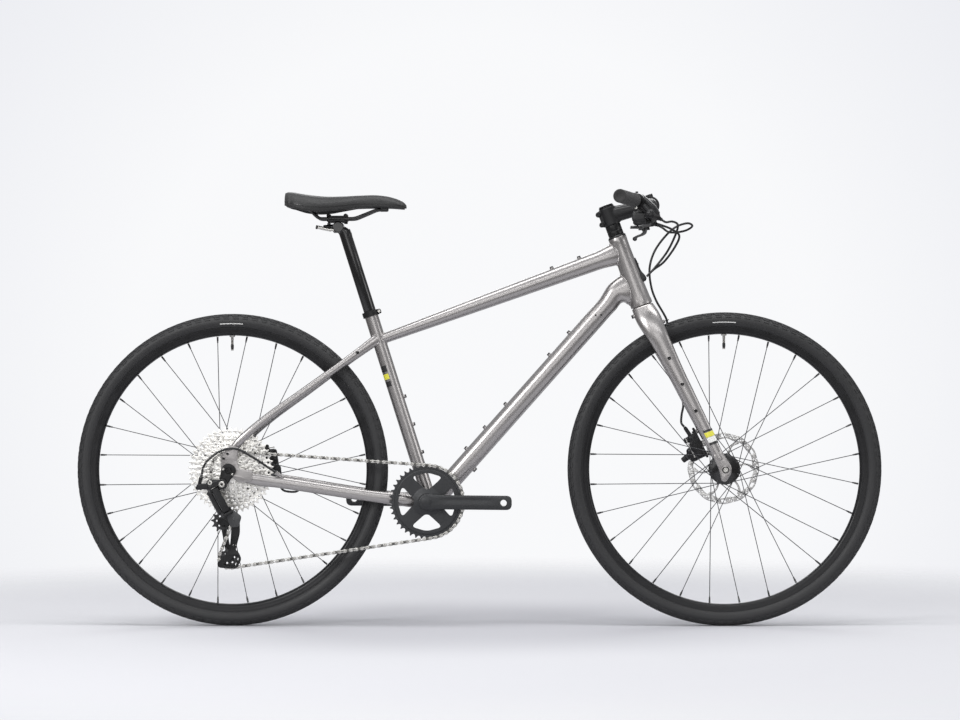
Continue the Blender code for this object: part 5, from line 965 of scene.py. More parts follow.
def wheels():
    """Both wheels, each with its own hub."""
    right, left = -0.0290, 0.0210
    profile = hub_profile(
        right, left, [(0.0065, -0.0500), (0.0100, -0.0500), (0.0104, -0.0490), (0.0125, -0.0400),
                      (0.0135, right - 0.0060)], 0.0145, 0.0185,
        [(0.0195, left + 0.0050), (0.0190, 0.0330), (0.0150, 0.0334), (0.0150, 0.0390),
         (0.0104, 0.0420), (0.0100, 0.0500), (0.0065, 0.0500)])
    wheel("front", FRONT, (right, left), profile, FRONT_ROTOR_Y, "front_wheel_body")
    right, left = -0.0220, 0.0340
    profile = hub_profile(
        right, left, [(0.0065, -0.0285), (0.0180, -0.0285)], 0.0155, 0.0190,
        [(0.0195, left + 0.0060), (0.0190, 0.0505), (0.0150, 0.0509), (0.0150, 0.0560),
         (0.0104, 0.0600), (0.0100, 0.0705), (0.0065, 0.0705)])
    wheel("rear", REAR, (right, left), profile, REAR_ROTOR_Y, "rear_wheel_body")


# Drive


def sprocket_radius(teeth):
    """The radius of the circle that a sprocket's chain pins lie on."""
    return PITCH / (2 * math.sin(math.pi / teeth))


COG_TEETH = SPROCKETS[ENGAGED_SPROCKET]
COG_CENTRE = (REAR.x, REAR.z)
RING_CENTRE = (BB.x, BB.z)
ROLLER_SEAT = 0.00385
TOOTH_HEIGHT = 0.0026
WEB_WINDOWS = 9


def pulley_centres(swing):
    """The guide and tension pulleys' centres, with the cage turned by this angle about its pivot."""
    pivot = Vector(CAGE_PIVOT)
    guide = Vector(GUIDE_PULLEY) - pivot
    tension = guide + Vector((0.247, -0.969)) * PULLEY_DISTANCE
    turn = Matrix.Rotation(swing, 2)
    return pivot + turn @ guide, pivot + turn @ tension


def chain_path(swing):
    """The chain's loop in the bicycle's plane, as arcs and lines."""
    guide, tension = pulley_centres(swing)
    wheels_of_chain = ((Vector(RING_CENTRE), CHAINRING_TEETH, -1), (tension, PULLEY_TEETH, -1),
                       (guide, PULLEY_TEETH, 1), (Vector(COG_CENTRE), COG_TEETH, -1))
    count = len(wheels_of_chain)
    tangents = []
    for i in range(count):
        (a, teeth_a, turn_a), (b, teeth_b, turn_b) = wheels_of_chain[i], wheels_of_chain[(i + 1) % count]
        radius_a, radius_b = sprocket_radius(teeth_a), sprocket_radius(teeth_b)
        apart = b - a
        heading = math.atan2(apart.y, apart.x)
        heading -= math.asin((turn_b * radius_b - turn_a * radius_a) / apart.length)
        normal = Vector((-math.sin(heading), math.cos(heading)))
        tangents.append((a - turn_a * radius_a * normal, b - turn_b * radius_b * normal))
    path = []
    for i, (centre, teeth, turn) in enumerate(wheels_of_chain):
        arrive, leave = tangents[i - 1][1] - centre, tangents[i][0] - centre
        start = math.atan2(arrive.y, arrive.x)
        sweep = (math.atan2(leave.y, leave.x) - start) % (2 * math.pi)
        if turn < 0:
            sweep -= 2 * math.pi
        radius = sprocket_radius(teeth)
        path.append(("arc", centre, radius, start, sweep, abs(sweep) * radius))
        first, last = tangents[i]
        path.append(("line", first, last, 0.0, 0.0, (last - first).length))
    return path


def path_point(path, distance):
    """The point this far round the chain's loop."""
    distance %= sum(part[-1] for part in path)
    for kind, first, second, start, sweep, length in path:
        if distance <= length:
            share = distance / length
            if kind == "line":
                return first.lerp(second, share)
            angle = start + sweep * share
            return first + second * Vector((math.cos(angle), math.sin(angle)))
        distance -= length
    return path_point(path, 0.0)


def chain_pins(path, links):
    """Pins one pitch apart in a straight line, and how far they fall short of closing the loop."""
    pins, travelled = [path_point(path, 0.0)], 0.0
    for _ in range(links):
        low, high = travelled + 0.99 * PITCH, travelled + 1.05 * PITCH
        for _ in range(26):
            middle = (low + high) / 2
            if (path_point(path, middle) - pins[-1]).length < PITCH:
                low = middle
            else:
                high = middle
        travelled = low
        pins.append(path_point(path, travelled))
    return pins[:-1], sum(part[-1] for part in path) - travelled


def closed_chain():
    """The cage's swing at which a whole, even number of links closes the loop, and the pins then."""
    length = sum(part[-1] for part in chain_path(0.0))
    links = 2 * round(length / PITCH / 2 - 0.1)
    low, high = -0.25, 0.25
    for _ in range(22):
        middle = (low + high) / 2
        if chain_pins(chain_path(middle), links)[1] > 0.0:
            low = middle
        else:
            high = middle
    swing = (low + high) / 2
    return swing, chain_pins(chain_path(swing), links)[0]


CAGE_SWING, PINS = closed_chain()


def phase_at(centre, radius):
    """The angle of a chain pin that lies on this pitch circle."""
    centre = Vector(centre)
    pin = min(PINS, key=lambda p: abs((p - centre).length - radius) + 0.001 * (p - centre).x)
    return math.atan2(pin.y - centre.y, pin.x - centre.x)


def toothed(centre, teeth, phase):
    """A sprocket's outline: a round seat for each roller and a tooth between."""
    radius = sprocket_radius(teeth)
    outer = radius + TOOTH_HEIGHT
    step = 2 * math.pi / teeth
    outline = []
    for i in range(teeth):
        middle = phase + step * i
        roller = around(centre, radius, middle)
        outline += [around(roller, ROLLER_SEAT, middle + math.pi + math.radians(62 - 31 * k))
                    for k in range(5)]
        outline += [around(centre, outer, middle + step / 2 + offset / outer)
                    for offset in (-0.0009, 0.0009)]
    return outline


def link_outline(waist, end):
    """A chain plate's outline, with its pins one pitch apart along the first axis."""
    half = PITCH / 2
    right = [(half + end * math.cos(a), end * math.sin(a))
             for a in (math.radians(-118 + 236 * k / 10) for k in range(11))]
    left = [(-x, y) for x, y in reversed(right)]
    top, bottom = (0.0, waist), (0.0, -waist)
    return right + [top] + left + [bottom]


def chain():
    """Every link of the chain: inner plates with rollers, outer plates with pins."""
    def link(side_plate, plate_y, joint):
        """A link's two side plates, with a roller or a pin at each end."""
        return merged([copied(mesh, Matrix.Translation(side * place))
                       for mesh, place in ((side_plate, plate_y * UP),
                                           (joint, Vector((PITCH / 2, 0.0, 0.0))))
                       for side in (-1, 1)])

    up = Matrix.Rotation(math.pi / 2, 4, "X")
    inner_plate = slab([link_outline(0.0029, 0.0041)], 0.0008, 0.00012)
    lightened = rounded([(-0.0030, -0.0011), (0.0030, -0.0011), (0.0030, 0.0011), (-0.0030, 0.0011)],
                        0.001, 2)
    outer_plate = slab([link_outline(0.0025, 0.0040), lightened], 0.0009, 0.00012)
    roller = turned([(0.0017, -0.00105), (0.0037, -0.00105), (0.0039, -0.0008), (0.0039, 0.0008),
                     (0.0037, 0.00105), (0.0017, 0.00105)], 16)
    pin = turned([(0.0, -0.0031), (0.0014, -0.0031), (0.0018, -0.0028), (0.0018, 0.0028),
                  (0.0014, 0.0031), (0.0, 0.0031)], 12)
    inner, outer = link(inner_plate, 0.00155, roller), link(outer_plate, 0.00248, pin)
    inner_links, outer_links = [], []
    for i, point in enumerate(PINS):
        after = PINS[(i + 1) % len(PINS)]
        run = after - point
        middle = (point + after) / 2
        turn = Matrix.Rotation(-math.atan2(run.y, run.x), 4, "Y")
        place = Matrix.Translation((middle.x, -CHAINLINE, middle.y)) @ turn @ up
        if i % 2:
            inner_links.append(copied(inner, place))
        else:
            outer_links.append(copied(outer, place))
    show("chain_outer_links", merged(outer_links), CHAIN, "frame_body", ["chain"],
         sharp=30)
    show("chain_inner_links", merged(inner_links), DARK_CHAIN, "frame_body", sharp=30)


def cassette():
    """Ten sprockets with their own teeth, drilled webs, carrier arms and a lock ring."""
    first = -CHAINLINE - ENGAGED_SPROCKET * SPROCKET_SPACING
    discs = []
    for i, teeth in enumerate(SPROCKETS):
        radius = sprocket_radius(teeth)
        phase = phase_at(COG_CENTRE, radius) if i == ENGAGED_SPROCKET else 0.35 * i
        outline = [toothed(COG_CENTRE, teeth, phase), circle(COG_CENTRE, 0.0178, 28)]
        if teeth >= 18:
            ring_at = radius - 0.0088
            count = int(2 * math.pi * ring_at / 0.0112)
            outline += hole_ring(COG_CENTRE, ring_at, full_turn(count, 0.2 * i), 0.0027, 10)
        if teeth >= 24:
            low, high = 0.0260, radius - 0.0185
            wide = math.pi / WEB_WINDOWS
            corners = ((high, -wide * 0.55), (high, wide * 0.55), (low, wide * 0.40), (low, -wide * 0.40))
            outline += [rounded([around(COG_CENTRE, r, middle + turn) for r, turn in corners], 0.003, 3)
                        for middle in full_turn(WEB_WINDOWS, 0.3 * i)]
        discs.append(plate(outline, first + i * SPROCKET_SPACING, 0.0017, 0.0002))
    show("cassette_sprockets", merged(discs), COG, "cassette_body", ["cassette"],
         sharp=30)
    body = turned([(0.0066, 0.0), (0.0176, 0.0), (0.0176, 0.0370), (0.0066, 0.0370)], 48,
                  along_y(REAR - 0.0663 * ACROSS))
    arms = []
    for angle in full_turn(6, 0.25):
        out = Vector((math.cos(angle), 0.0, math.sin(angle)))
        arms.append(tube([REAR + 0.016 * out - 0.0400 * ACROSS, REAR + 0.052 * out - 0.0350 * ACROSS,
                          REAR + 0.074 * out - 0.0325 * ACROSS], [0.0032, 0.0026, 0.0018], 10))
    show("cassette_carrier", merged([body] + arms), BLACK, "cassette_body")
    lock = [(0.0066, 0.0), (0.0150, 0.0), (0.0158, -0.0006), (0.0158, -0.0018), (0.0140, -0.0026),
            (0.0100, -0.0026), (0.0092, -0.0012), (0.0066, -0.0012)]
    show("cassette_lock_ring", turned(lock, 48, along_y(REAR - 0.0671 * ACROSS)), STEEL,
         "cassette_body")


# Places of the cockpit, the hoses and the calipers

STEM_LOW, STEM_HIGH = 0.1900, 0.2310
BAR_REACH, BAR_RISE = 0.0925, 0.2016
BAR_WIDTH = 0.640
BAR_SWEEP = math.radians(14.5)
BAR_CLIMB = 0.0143
BAR_RADIUS = 0.0111
BAR_CLAMP_RADIUS = 0.0159
GRIP_LENGTH = 0.130
CONTROL_Y = 0.150
CONTROL_BORE = 0.0113
LEVER_PIVOT = (0.012, 0.0478)
SHIFTER_PIVOT = (-0.002, -0.028)
OUTLET = Vector((0.0435, -0.0350, -0.0385))
OUTLET_WAY = Vector((0.80, -0.36, -0.48)).normalized()
PORT_UP, PORT_AHEAD = 0.0570, 0.0322
HOSE_RADIUS = 0.0025
HOSE_CLIP = on_head(-0.050, 0.0375, 0.0330)
HOUSING_END = REAR + Vector((-0.0576, -0.0890, -0.0075))
HOUSING_PORT = REAR + Vector((0.1033, -0.0665, -0.0042))
HOUSING_WAY = Vector((-0.80, -0.18, 0.57)).normalized()
REAR_HOSE_PORT = REAR + Vector((0.1469, 0.0495, -0.0445))
REAR_HOSE_WAY = Vector((-0.80, -0.30, -0.52)).normalized()


def bar_point(y):
    """A point on the handlebar's axis: straight at the stem, then swept back and slightly up."""
    past = abs(y) - 0.040
    out = (past + math.sqrt(past * past + 0.006 ** 2)) / 2
    centre = on_head(BAR_RISE, BAR_REACH)
    return Vector((centre.x - out * math.tan(BAR_SWEEP), y, centre.z + BAR_CLIMB * out))


def bar_direction():
    """The way of the bar's left end."""
    return Vector((-math.tan(BAR_SWEEP), 1.0, BAR_CLIMB)).normalized()


def control_matrix():
    """The left controls' frame: on the bar, with X forward, Y outboard and Z up."""
    out = bar_direction()
    ahead = out.cross(UP).normalized()
    return frame_matrix(bar_point(CONTROL_Y), ahead, out)


def lever_matrix():
    """The brake lever's plane: first axis outboard, second away from the bar, from the bar's axis."""
    tilt = math.radians(75.0)
    away = Vector((math.cos(tilt), 0.0, -math.sin(tilt)))
    normal = Vector((math.sin(tilt), 0.0, math.cos(tilt)))
    return control_matrix() @ frame_matrix(0.0146 * normal, (0.0, 1.0, 0.0), away)


def blade_matrix():
    """The fork blade's frame: from the front axle, up the blade, across, and behind it."""
    return frame_matrix(FRONT, on_fork(0.743 * AXLE_TO_CROWN) - FRONT, ACROSS)


def rear_caliper_matrix():
    """The rear caliper's frame: from the rear axle, forward beside the chainstay, and across."""
    lean = math.radians(8.0)
    return frame_matrix(REAR, (math.cos(lean), 0.0, math.sin(lean)), ACROSS)


CONTROL = control_matrix()
LEVER_PLANE = lever_matrix()
BLADE = blade_matrix()
REAR_CALIPER = rear_caliper_matrix()


# Hoses and housing


def hose_start(side):
    """Just off the mouth of a brake control's outlet, and the way the hose leaves it."""
    tip, way = CONTROL @ (OUTLET + 0.0005 * OUTLET_WAY), OUTLET_WAY.copy()
    way.rotate(CONTROL.to_3x3())
    return Vector((tip.x, side * tip.y, tip.z)), Vector((way.x, side * way.y, way.z))


def hose(node, route, body):
    """A free hose or housing on its route; one with no body is left unattached, with its placing baked into
    its mesh.
    """
    points = smooth_route(route, 0.004)
    obj = show(node + "_line", tube(points, HOSE_RADIUS, 16), HOSE, body, [node])
    if body is None:
        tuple(points[-1])
        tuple(points[0])
        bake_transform(obj)
    length = sum((b - a).length for a, b in zip(points, points[1:]))
    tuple(points[0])


def around_crown(*places):
    """World points from their distances to the fork's crown."""
    return [CROWN + Vector(place) for place in places]


def hoses():
    """The three lines from the controls, and the two that leave the chainstays."""
    start, way = hose_start(1)
    to_clip = [start, start + 0.010 * way] + around_crown(
        (0.0668, 0.104, 0.1670), (0.0978, 0.080, 0.1690), (0.1148, 0.060, 0.1785),
        (0.1038, 0.044, 0.1845), (0.0774, 0.036, 0.1760), (0.0518, 0.033, 0.1530),
        (0.0288, 0.033, 0.1200), (0.0183, 0.033, 0.0830), (0.0218, 0.033, 0.0430),
        (0.0330, 0.033, 0.0110)) + [HOSE_CLIP + (HOSE_RADIUS + 0.0020) * HEAD_AHEAD]
    past_blade = [BLADE @ Vector(place) for place in (
        (0.3340, 0.0490, -0.0215), (0.3110, 0.0556, -0.0010), (0.2760, 0.0552, 0.0118),
        (0.2407, 0.0558, 0.0115), (0.2054, 0.0568, 0.0115), (0.1702, 0.0562, 0.0140),
        (0.1490, 0.0500, 0.0285), (0.1330, 0.0402, 0.0380), (0.1222, 0.0400, 0.0362))]
    hose("front_brake_hose", to_clip + past_blade, "steering_body")

    brake, way = hose_start(-1)
    loop = around_crown((0.0648, -0.096, 0.1815), (0.0778, -0.068, 0.1755),
                        (0.0738, -0.040, 0.1550), (0.0558, -0.016, 0.1180))
    hose("rear_brake_hose", [brake, brake + 0.010 * way, *loop,
                             on_head(PORT_UP + 0.011, PORT_AHEAD + 0.022, -0.0048),
                             on_head(PORT_UP, PORT_AHEAD, -0.0040)], None)
    tip = CONTROL @ Vector((0.0276, -0.0528, -0.0454))
    shift = Vector((tip.x, -tip.y, tip.z))
    loop = around_crown((0.0638, -0.070, 0.1660), (0.0818, -0.044, 0.1530),
                        (0.0738, -0.020, 0.1300), (0.0498, -0.002, 0.0970))
    hose("shift_housing", [shift, shift + Vector((0.012, 0.014, -0.003)), *loop,
                           on_head(PORT_UP + 0.009, PORT_AHEAD + 0.020, 0.0040),
                           on_head(PORT_UP, PORT_AHEAD, 0.0040)], None)

    end = HOUSING_PORT + 0.0005 * HOUSING_WAY
    over = [REAR + Vector(place) for place in (
        (-0.0401, -0.0890, 0.0280), (-0.0141, -0.0880, 0.0450), (0.0182, -0.0855, 0.0490),
        (0.0509, -0.0800, 0.0320))]
    hose("shift_housing_end", [HOUSING_END, HOUSING_END + Vector((0.004, 0.001, 0.018)), *over,
                               end + 0.024 * HOUSING_WAY, end], "frame_body")
    start = REAR_CALIPER @ Vector((0.0950, 0.0455, -0.0420))
    end = REAR_HOSE_PORT + 0.0005 * REAR_HOSE_WAY
    hose("rear_brake_hose_end", [start, start + Vector((0.0020, 0.0, -0.0110)),
                                 REAR + Vector((0.1119, 0.0450, -0.0495)),
                                 end + 0.013 * REAR_HOSE_WAY, end], "frame_body")


# Frame

DOWN_TUBE_HALF = 0.0215
AXLE_HOLE = 0.0062
DROPOUT_Y = 0.0743
DROPOUT_THICKNESS = 0.0060
BOSS_RADIUS, BOSS_HEIGHT = 0.0045, 0.0030
HEAD_TUBE = ((0.0190, 0.0), (0.0241, 0.0), (0.0247, 0.0006), (0.0247, 0.0090), (0.0240, 0.0125),
             (0.0231, 0.0300), (0.0224, 0.0450), (0.0215, 0.0750), (0.0206, 0.1050),
             (0.0200, 0.1300), (0.0200, 0.1480), (0.0203, 0.1500), (0.0203, 0.1600),
             (0.0199, 0.1605), (0.0180, 0.1605))


def down_tube_line():
    """The down tube's foot and top, the way along it, and its upward normal."""
    top = on_head(0.0666)
    along = (top - BB).normalized()
    foot = BB + 0.009 * Vector((along.z, 0.0, -along.x))
    along = (top - foot).normalized()
    return foot, top, along, Vector((-along.z, 0.0, along.x))


def top_tube_line():
    """The top tube's ends at the seat and the head, the way along it, and its upward normal."""
    head, seat = on_head(HEAD_TUBE_LENGTH - 0.0336), SEAT_FOOT + 0.3755 * SEAT_UP
    along = (head - seat).normalized()
    return seat, head, along, Vector((-along.z, 0.0, along.x))


def stay_line(part):
    """A point on the left seat stay's centre line, from the seat tube (0) to its bend (1)."""
    top = SEAT_FOOT + 0.380 * SEAT_UP
    bend = REAR + Vector((0.050, DROPOUT_Y - 0.0050, 0.092))
    knee = top.lerp(bend, 0.16) + 0.012 * ACROSS
    if part < 0.16:
        return (top + 0.010 * ACROSS).lerp(knee, part / 0.16)
    return knee.lerp(bend, (part - 0.16) / 0.84)


def main_tubes():
    """Rings of the down tube, top tube, seat tube, chainstay and seat stay."""
    foot, top, along, normal = down_tube_line()
    down = swept([
        (foot, normal, DOWN_TUBE_HALF, 0.0205), (foot + 0.12 * along, normal, DOWN_TUBE_HALF, 0.0205),
        (top - 0.130 * along, normal, DOWN_TUBE_HALF, 0.0205),
        (top - 0.080 * along, normal, 0.0217, 0.0205),
        (on_head(0.0455, -0.0415), normal + HEAD_UP, 0.0265, 0.0205),
        (on_head(0.0443, -0.0275), HEAD_UP, 0.0330, 0.0200),
        (on_head(0.0433, -0.0040), HEAD_UP, 0.0360, 0.0180)], 8, 48, 2.1)
    seat, head, along, normal = top_tube_line()
    over = swept([
        (seat, normal, 0.0112, 0.0135), (seat.lerp(head, 0.45), normal, 0.0160, 0.0163),
        (head - 0.090 * along, normal, 0.0197, 0.0185), (head - 0.050 * along, normal, 0.0206, 0.0190),
        (head - 0.026 * along, normal, 0.0235, 0.0190), (head, normal, 0.0255, 0.0165)], 8, 48, 2.1)
    upright = swept([(end, SEAT_AHEAD, SEAT_TUBE_RADIUS, SEAT_TUBE_RADIUS)
                     for end in (SEAT_FOOT, SEAT_TOP)], 2, 48)
    chainstay = swept([
        ((BB.x - 0.010, 0.0230, BB.z - 0.0030), UP, 0.0145, 0.0080),
        ((BB.x - 0.060, 0.0312, BB.z + 0.0040), UP, 0.0138, 0.0084),
        ((BB.x - 0.125, 0.0405, BB.z + 0.0125), UP, 0.0130, 0.0080),
        ((REAR.x + 0.110, 0.0625, REAR.z - 0.0260), UP, 0.0125, 0.0072),
        ((REAR.x + 0.048, DROPOUT_Y - 0.0045, REAR.z - 0.0170), UP, 0.0123, 0.0064),
        ((REAR.x + 0.036, DROPOUT_Y - 0.0030, REAR.z - 0.0150), UP, 0.0105, 0.0050),
        ((REAR.x + 0.030, DROPOUT_Y - 0.0020, REAR.z - 0.0142), UP, 0.0060, 0.0028)], 7, 32)
    top_of_stay, bend = stay_line(0.0), stay_line(1.0)
    run = top_of_stay - bend
    normal = -Vector((run.z, 0.0, -run.x)).normalized()
    stay = swept([
        (top_of_stay, normal, 0.0115, 0.0065), (stay_line(0.16), normal, 0.0088, 0.0065),
        (stay_line(0.60), normal, 0.0085, 0.0065), (stay_line(0.90), normal, 0.0085, 0.0065),
        (bend + Vector((-0.0040, 0.0008, -0.0060)), normal - Vector((0.12, 0.0, 0.0)), 0.0085, 0.0063),
        (REAR + Vector((0.0160, DROPOUT_Y - 0.0020, 0.0560)), (-0.9, 0.0, 0.45), 0.0088, 0.0052),
        (REAR + Vector((0.0075, DROPOUT_Y - 0.0012, 0.0425)), (-0.9, 0.0, 0.45), 0.0060, 0.0030)],
        8, 32)
    return down, over, upright, chainstay, stay


def rear_dropout():
    """The left dropout: an axle boss with an arm to each stay and a raised rim."""
    outline = [(x + REAR.x, z + REAR.z) for x, z in rounded(
        arc((0.0, 0.0), 0.0170, math.radians(165), math.radians(300), 12)
        + [(0.022, -0.0262), (0.052, -0.0230), (0.054, 0.0010), (0.024, 0.0040),
           (0.0190, 0.0220), (0.0225, 0.0520), (0.0020, 0.0580), (-0.0175, 0.0330)], 0.0040, 3)]
    rim_of_axle = turned([(AXLE_HOLE, -0.0034), (0.0140, -0.0034), (0.0146, -0.0028),
                          (0.0146, 0.0028), (0.0140, 0.0032), (AXLE_HOLE, 0.0032)], 40,
                         along_y(REAR + DROPOUT_Y * ACROSS))
    return merged([plate([outline, circle((REAR.x, REAR.z), AXLE_HOLE, 28)], DROPOUT_Y,
                         DROPOUT_THICKNESS, 0.0009, 2), rim_of_axle])


def peg(place, direction, radius, height, sink):
    """A small threaded boss with a softened edge."""
    place, direction = Vector(place), Vector(direction).normalized()
    return rod(place - sink * direction, place + height * direction, radius, 20, 0.0005)


def boss_places():
    """Every boss of the frame on the left or in the middle: place, direction, radius and height."""
    foot, top, _, normal = down_tube_line()
    places = [(foot.lerp(top, part) + DOWN_TUBE_HALF * normal, normal, BOSS_RADIUS, BOSS_HEIGHT)
              for part in (0.214, 0.307, 0.410, 0.628, 0.726)]
    places.append((foot.lerp(top, 0.180) - DOWN_TUBE_HALF * normal, -normal, 0.0060, 0.0022))
    places += [(SEAT_FOOT + up * SEAT_UP + SEAT_TUBE_RADIUS * SEAT_AHEAD, SEAT_AHEAD, BOSS_RADIUS,
                BOSS_HEIGHT) for up in (0.109, 0.174, 0.239)]
    seat, head, along, normal = top_tube_line()
    for back in (0.095, 0.160):
        half = 0.0205 + (0.0112 - 0.0205) * back / (head - seat).length
        places.append((head - back * along + half * normal, normal, BOSS_RADIUS, BOSS_HEIGHT))
    return places


def side_boss_places():
    """The bosses that both sides carry."""
    outer = DROPOUT_Y + DROPOUT_THICKNESS / 2
    return [(stay_line(0.16) + 0.0065 * ACROSS, ACROSS, 0.0045, 0.0020),
            (REAR + Vector((-0.0019, outer, 0.0379)), ACROSS, 0.0034, 0.0014),
            (REAR + Vector((-0.0110, outer, 0.0276)), ACROSS, 0.0034, 0.0014)]


def bicycle_frame():
    """The welded frame: tubes, beads, dropouts, bridges, bosses and their bolts."""
    down, over, upright, chainstay, stay = main_tubes()
    head = turned(list(HEAD_TUBE), 64, STEERING)
    shell = turned([(0.0172, -0.034), (0.0205, -0.034), (0.0211, -0.0334), (0.0211, 0.0334),
                    (0.0205, 0.034), (0.0172, 0.034)], 56, along_y(BB))
    tubes = [lofted(rings) for rings in (down, over, upright)]
    parts = tubes + [head, shell]
    left = [lofted(chainstay), lofted(stay), rear_dropout()]
    for ahead in (0.0729, 0.0934):
        x = REAR.x + ahead
        parts.append(rod((x, 0.0610, REAR.z - 0.0200), (x, 0.0610, REAR.z - 0.0023), 0.0050, 24))
    for port, way in ((REAR_HOSE_PORT, REAR_HOSE_WAY), (HOUSING_PORT, HOUSING_WAY)):
        parts.append(rod(port - 0.020 * way, port - 0.0012 * way, 0.0043, 24))
        parts.append(rod(port - 0.0040 * way, port, 0.0047, 24))
    part = 0.0
    while math.hypot(stay_line(part).x - REAR.x, stay_line(part).z - REAR.z) > 0.3645:
        part += 0.005
    end = stay_line(part)
    parts.append(rod((end.x, -end.y, end.z), end, 0.0055, 24))
    low_bridge = BB + Vector((-0.072, 0.0, 0.006))
    parts.append(rod(low_bridge - 0.030 * ACROSS, low_bridge + 0.030 * ACROSS, 0.0055, 24))
    parts += weld(down, head, 0.0020) + weld(over, head, 0.0019) + weld(over[::-1], tubes[2], 0.0015)
    parts += weld(down[::-1], shell, 0.0018) + weld(upright[::-1], shell, 0.0016)
    left += weld(chainstay[::-1], shell, 0.0015) + weld(stay[::-1], tubes[2], 0.0014)
    for place, way, radius, height in boss_places():
        parts.append(peg(place, way, radius, height, 0.003))
    left += [peg(place, way, radius, height, 0.004) for place, way, radius, height in side_boss_places()]
    parts.append(both_sides(merged(left)))
    show("frame_tubes", merged(parts), PAINT, "frame_body", ["frame"], 42)

    bolts = [bolt(place + (height - 0.0002) * way, way, radius * 0.86, 0.0026)
             for place, way, radius, height in boss_places()]
    sides = [bolt(place + (height - 0.0002) * way, way, radius * 0.80, 0.0018)
             for place, way, radius, height in side_boss_places()]
    _, top, along, normal = down_tube_line()
    for back, up in ((0.1165, 0.0035), (0.1080, -0.0050)):
        sides.append(bolt(top - back * along + up * normal + 0.0200 * ACROSS, ACROSS, 0.0021, 0.0013, 14))
    show("frame_bolts", merged(bolts + [both_sides(merged(sides))]), BLACK, "frame_body")

    def on_seat_tube(up, angle):
        way = SEAT_AHEAD * math.cos(angle) + ACROSS * math.sin(angle)
        return SEAT_FOOT + up * SEAT_UP + SEAT_TUBE_RADIUS * way, way

    turns = span(math.radians(98), math.radians(158), 12)
    for name, finish, low, high in (("upper", BAND, 0.3035, 0.3175), ("middle", YELLOW, 0.2865, 0.2985),
                                    ("lower", BAND, 0.2695, 0.2815)):
        show("seat_tube_band_" + name, both_sides(skin(on_seat_tube, span(low, high, 4), turns)),
             finish, "frame_body")


# Fork

FORK_DROPOUT_Y = 0.0561
BLADE_BOSSES = (0.1305, 0.1940, 0.2595)
BLADE_STATIONS = (
    (0.0010, 0.0240, 0.0150, 0.0100), (0.0300, 0.0270, 0.0150, 0.0260),
    (0.0650, 0.0240, 0.0120, 0.0380), (0.1600, 0.0180, 0.0100, 0.0440),
    (0.2800, 0.0150, 0.0085, 0.0500), (0.3780, 0.0120, 0.0065, 0.0565))


def blade_station(down):
    """The left blade's centre and its two half sizes, this far below the crown."""
    for low, high in zip(BLADE_STATIONS, BLADE_STATIONS[1:]):
        if down <= high[0]:
            break
    part = (down - low[0]) / (high[0] - low[0])
    half_long, half_wide, out = [a + (b - a) * part for a, b in zip(low[1:], high[1:])]
    return on_fork(down, out), half_long, half_wide


def on_blade(down, angle):
    """A place on the left blade's skin, and its outward way."""
    centre, half_long, half_wide = blade_station(down)
    way = (HEAD_AHEAD * math.cos(angle) / half_long + ACROSS * math.sin(angle) / half_wide)
    return (centre + HEAD_AHEAD * half_long * math.cos(angle) + ACROSS * half_wide * math.sin(angle),
            way.normalized())


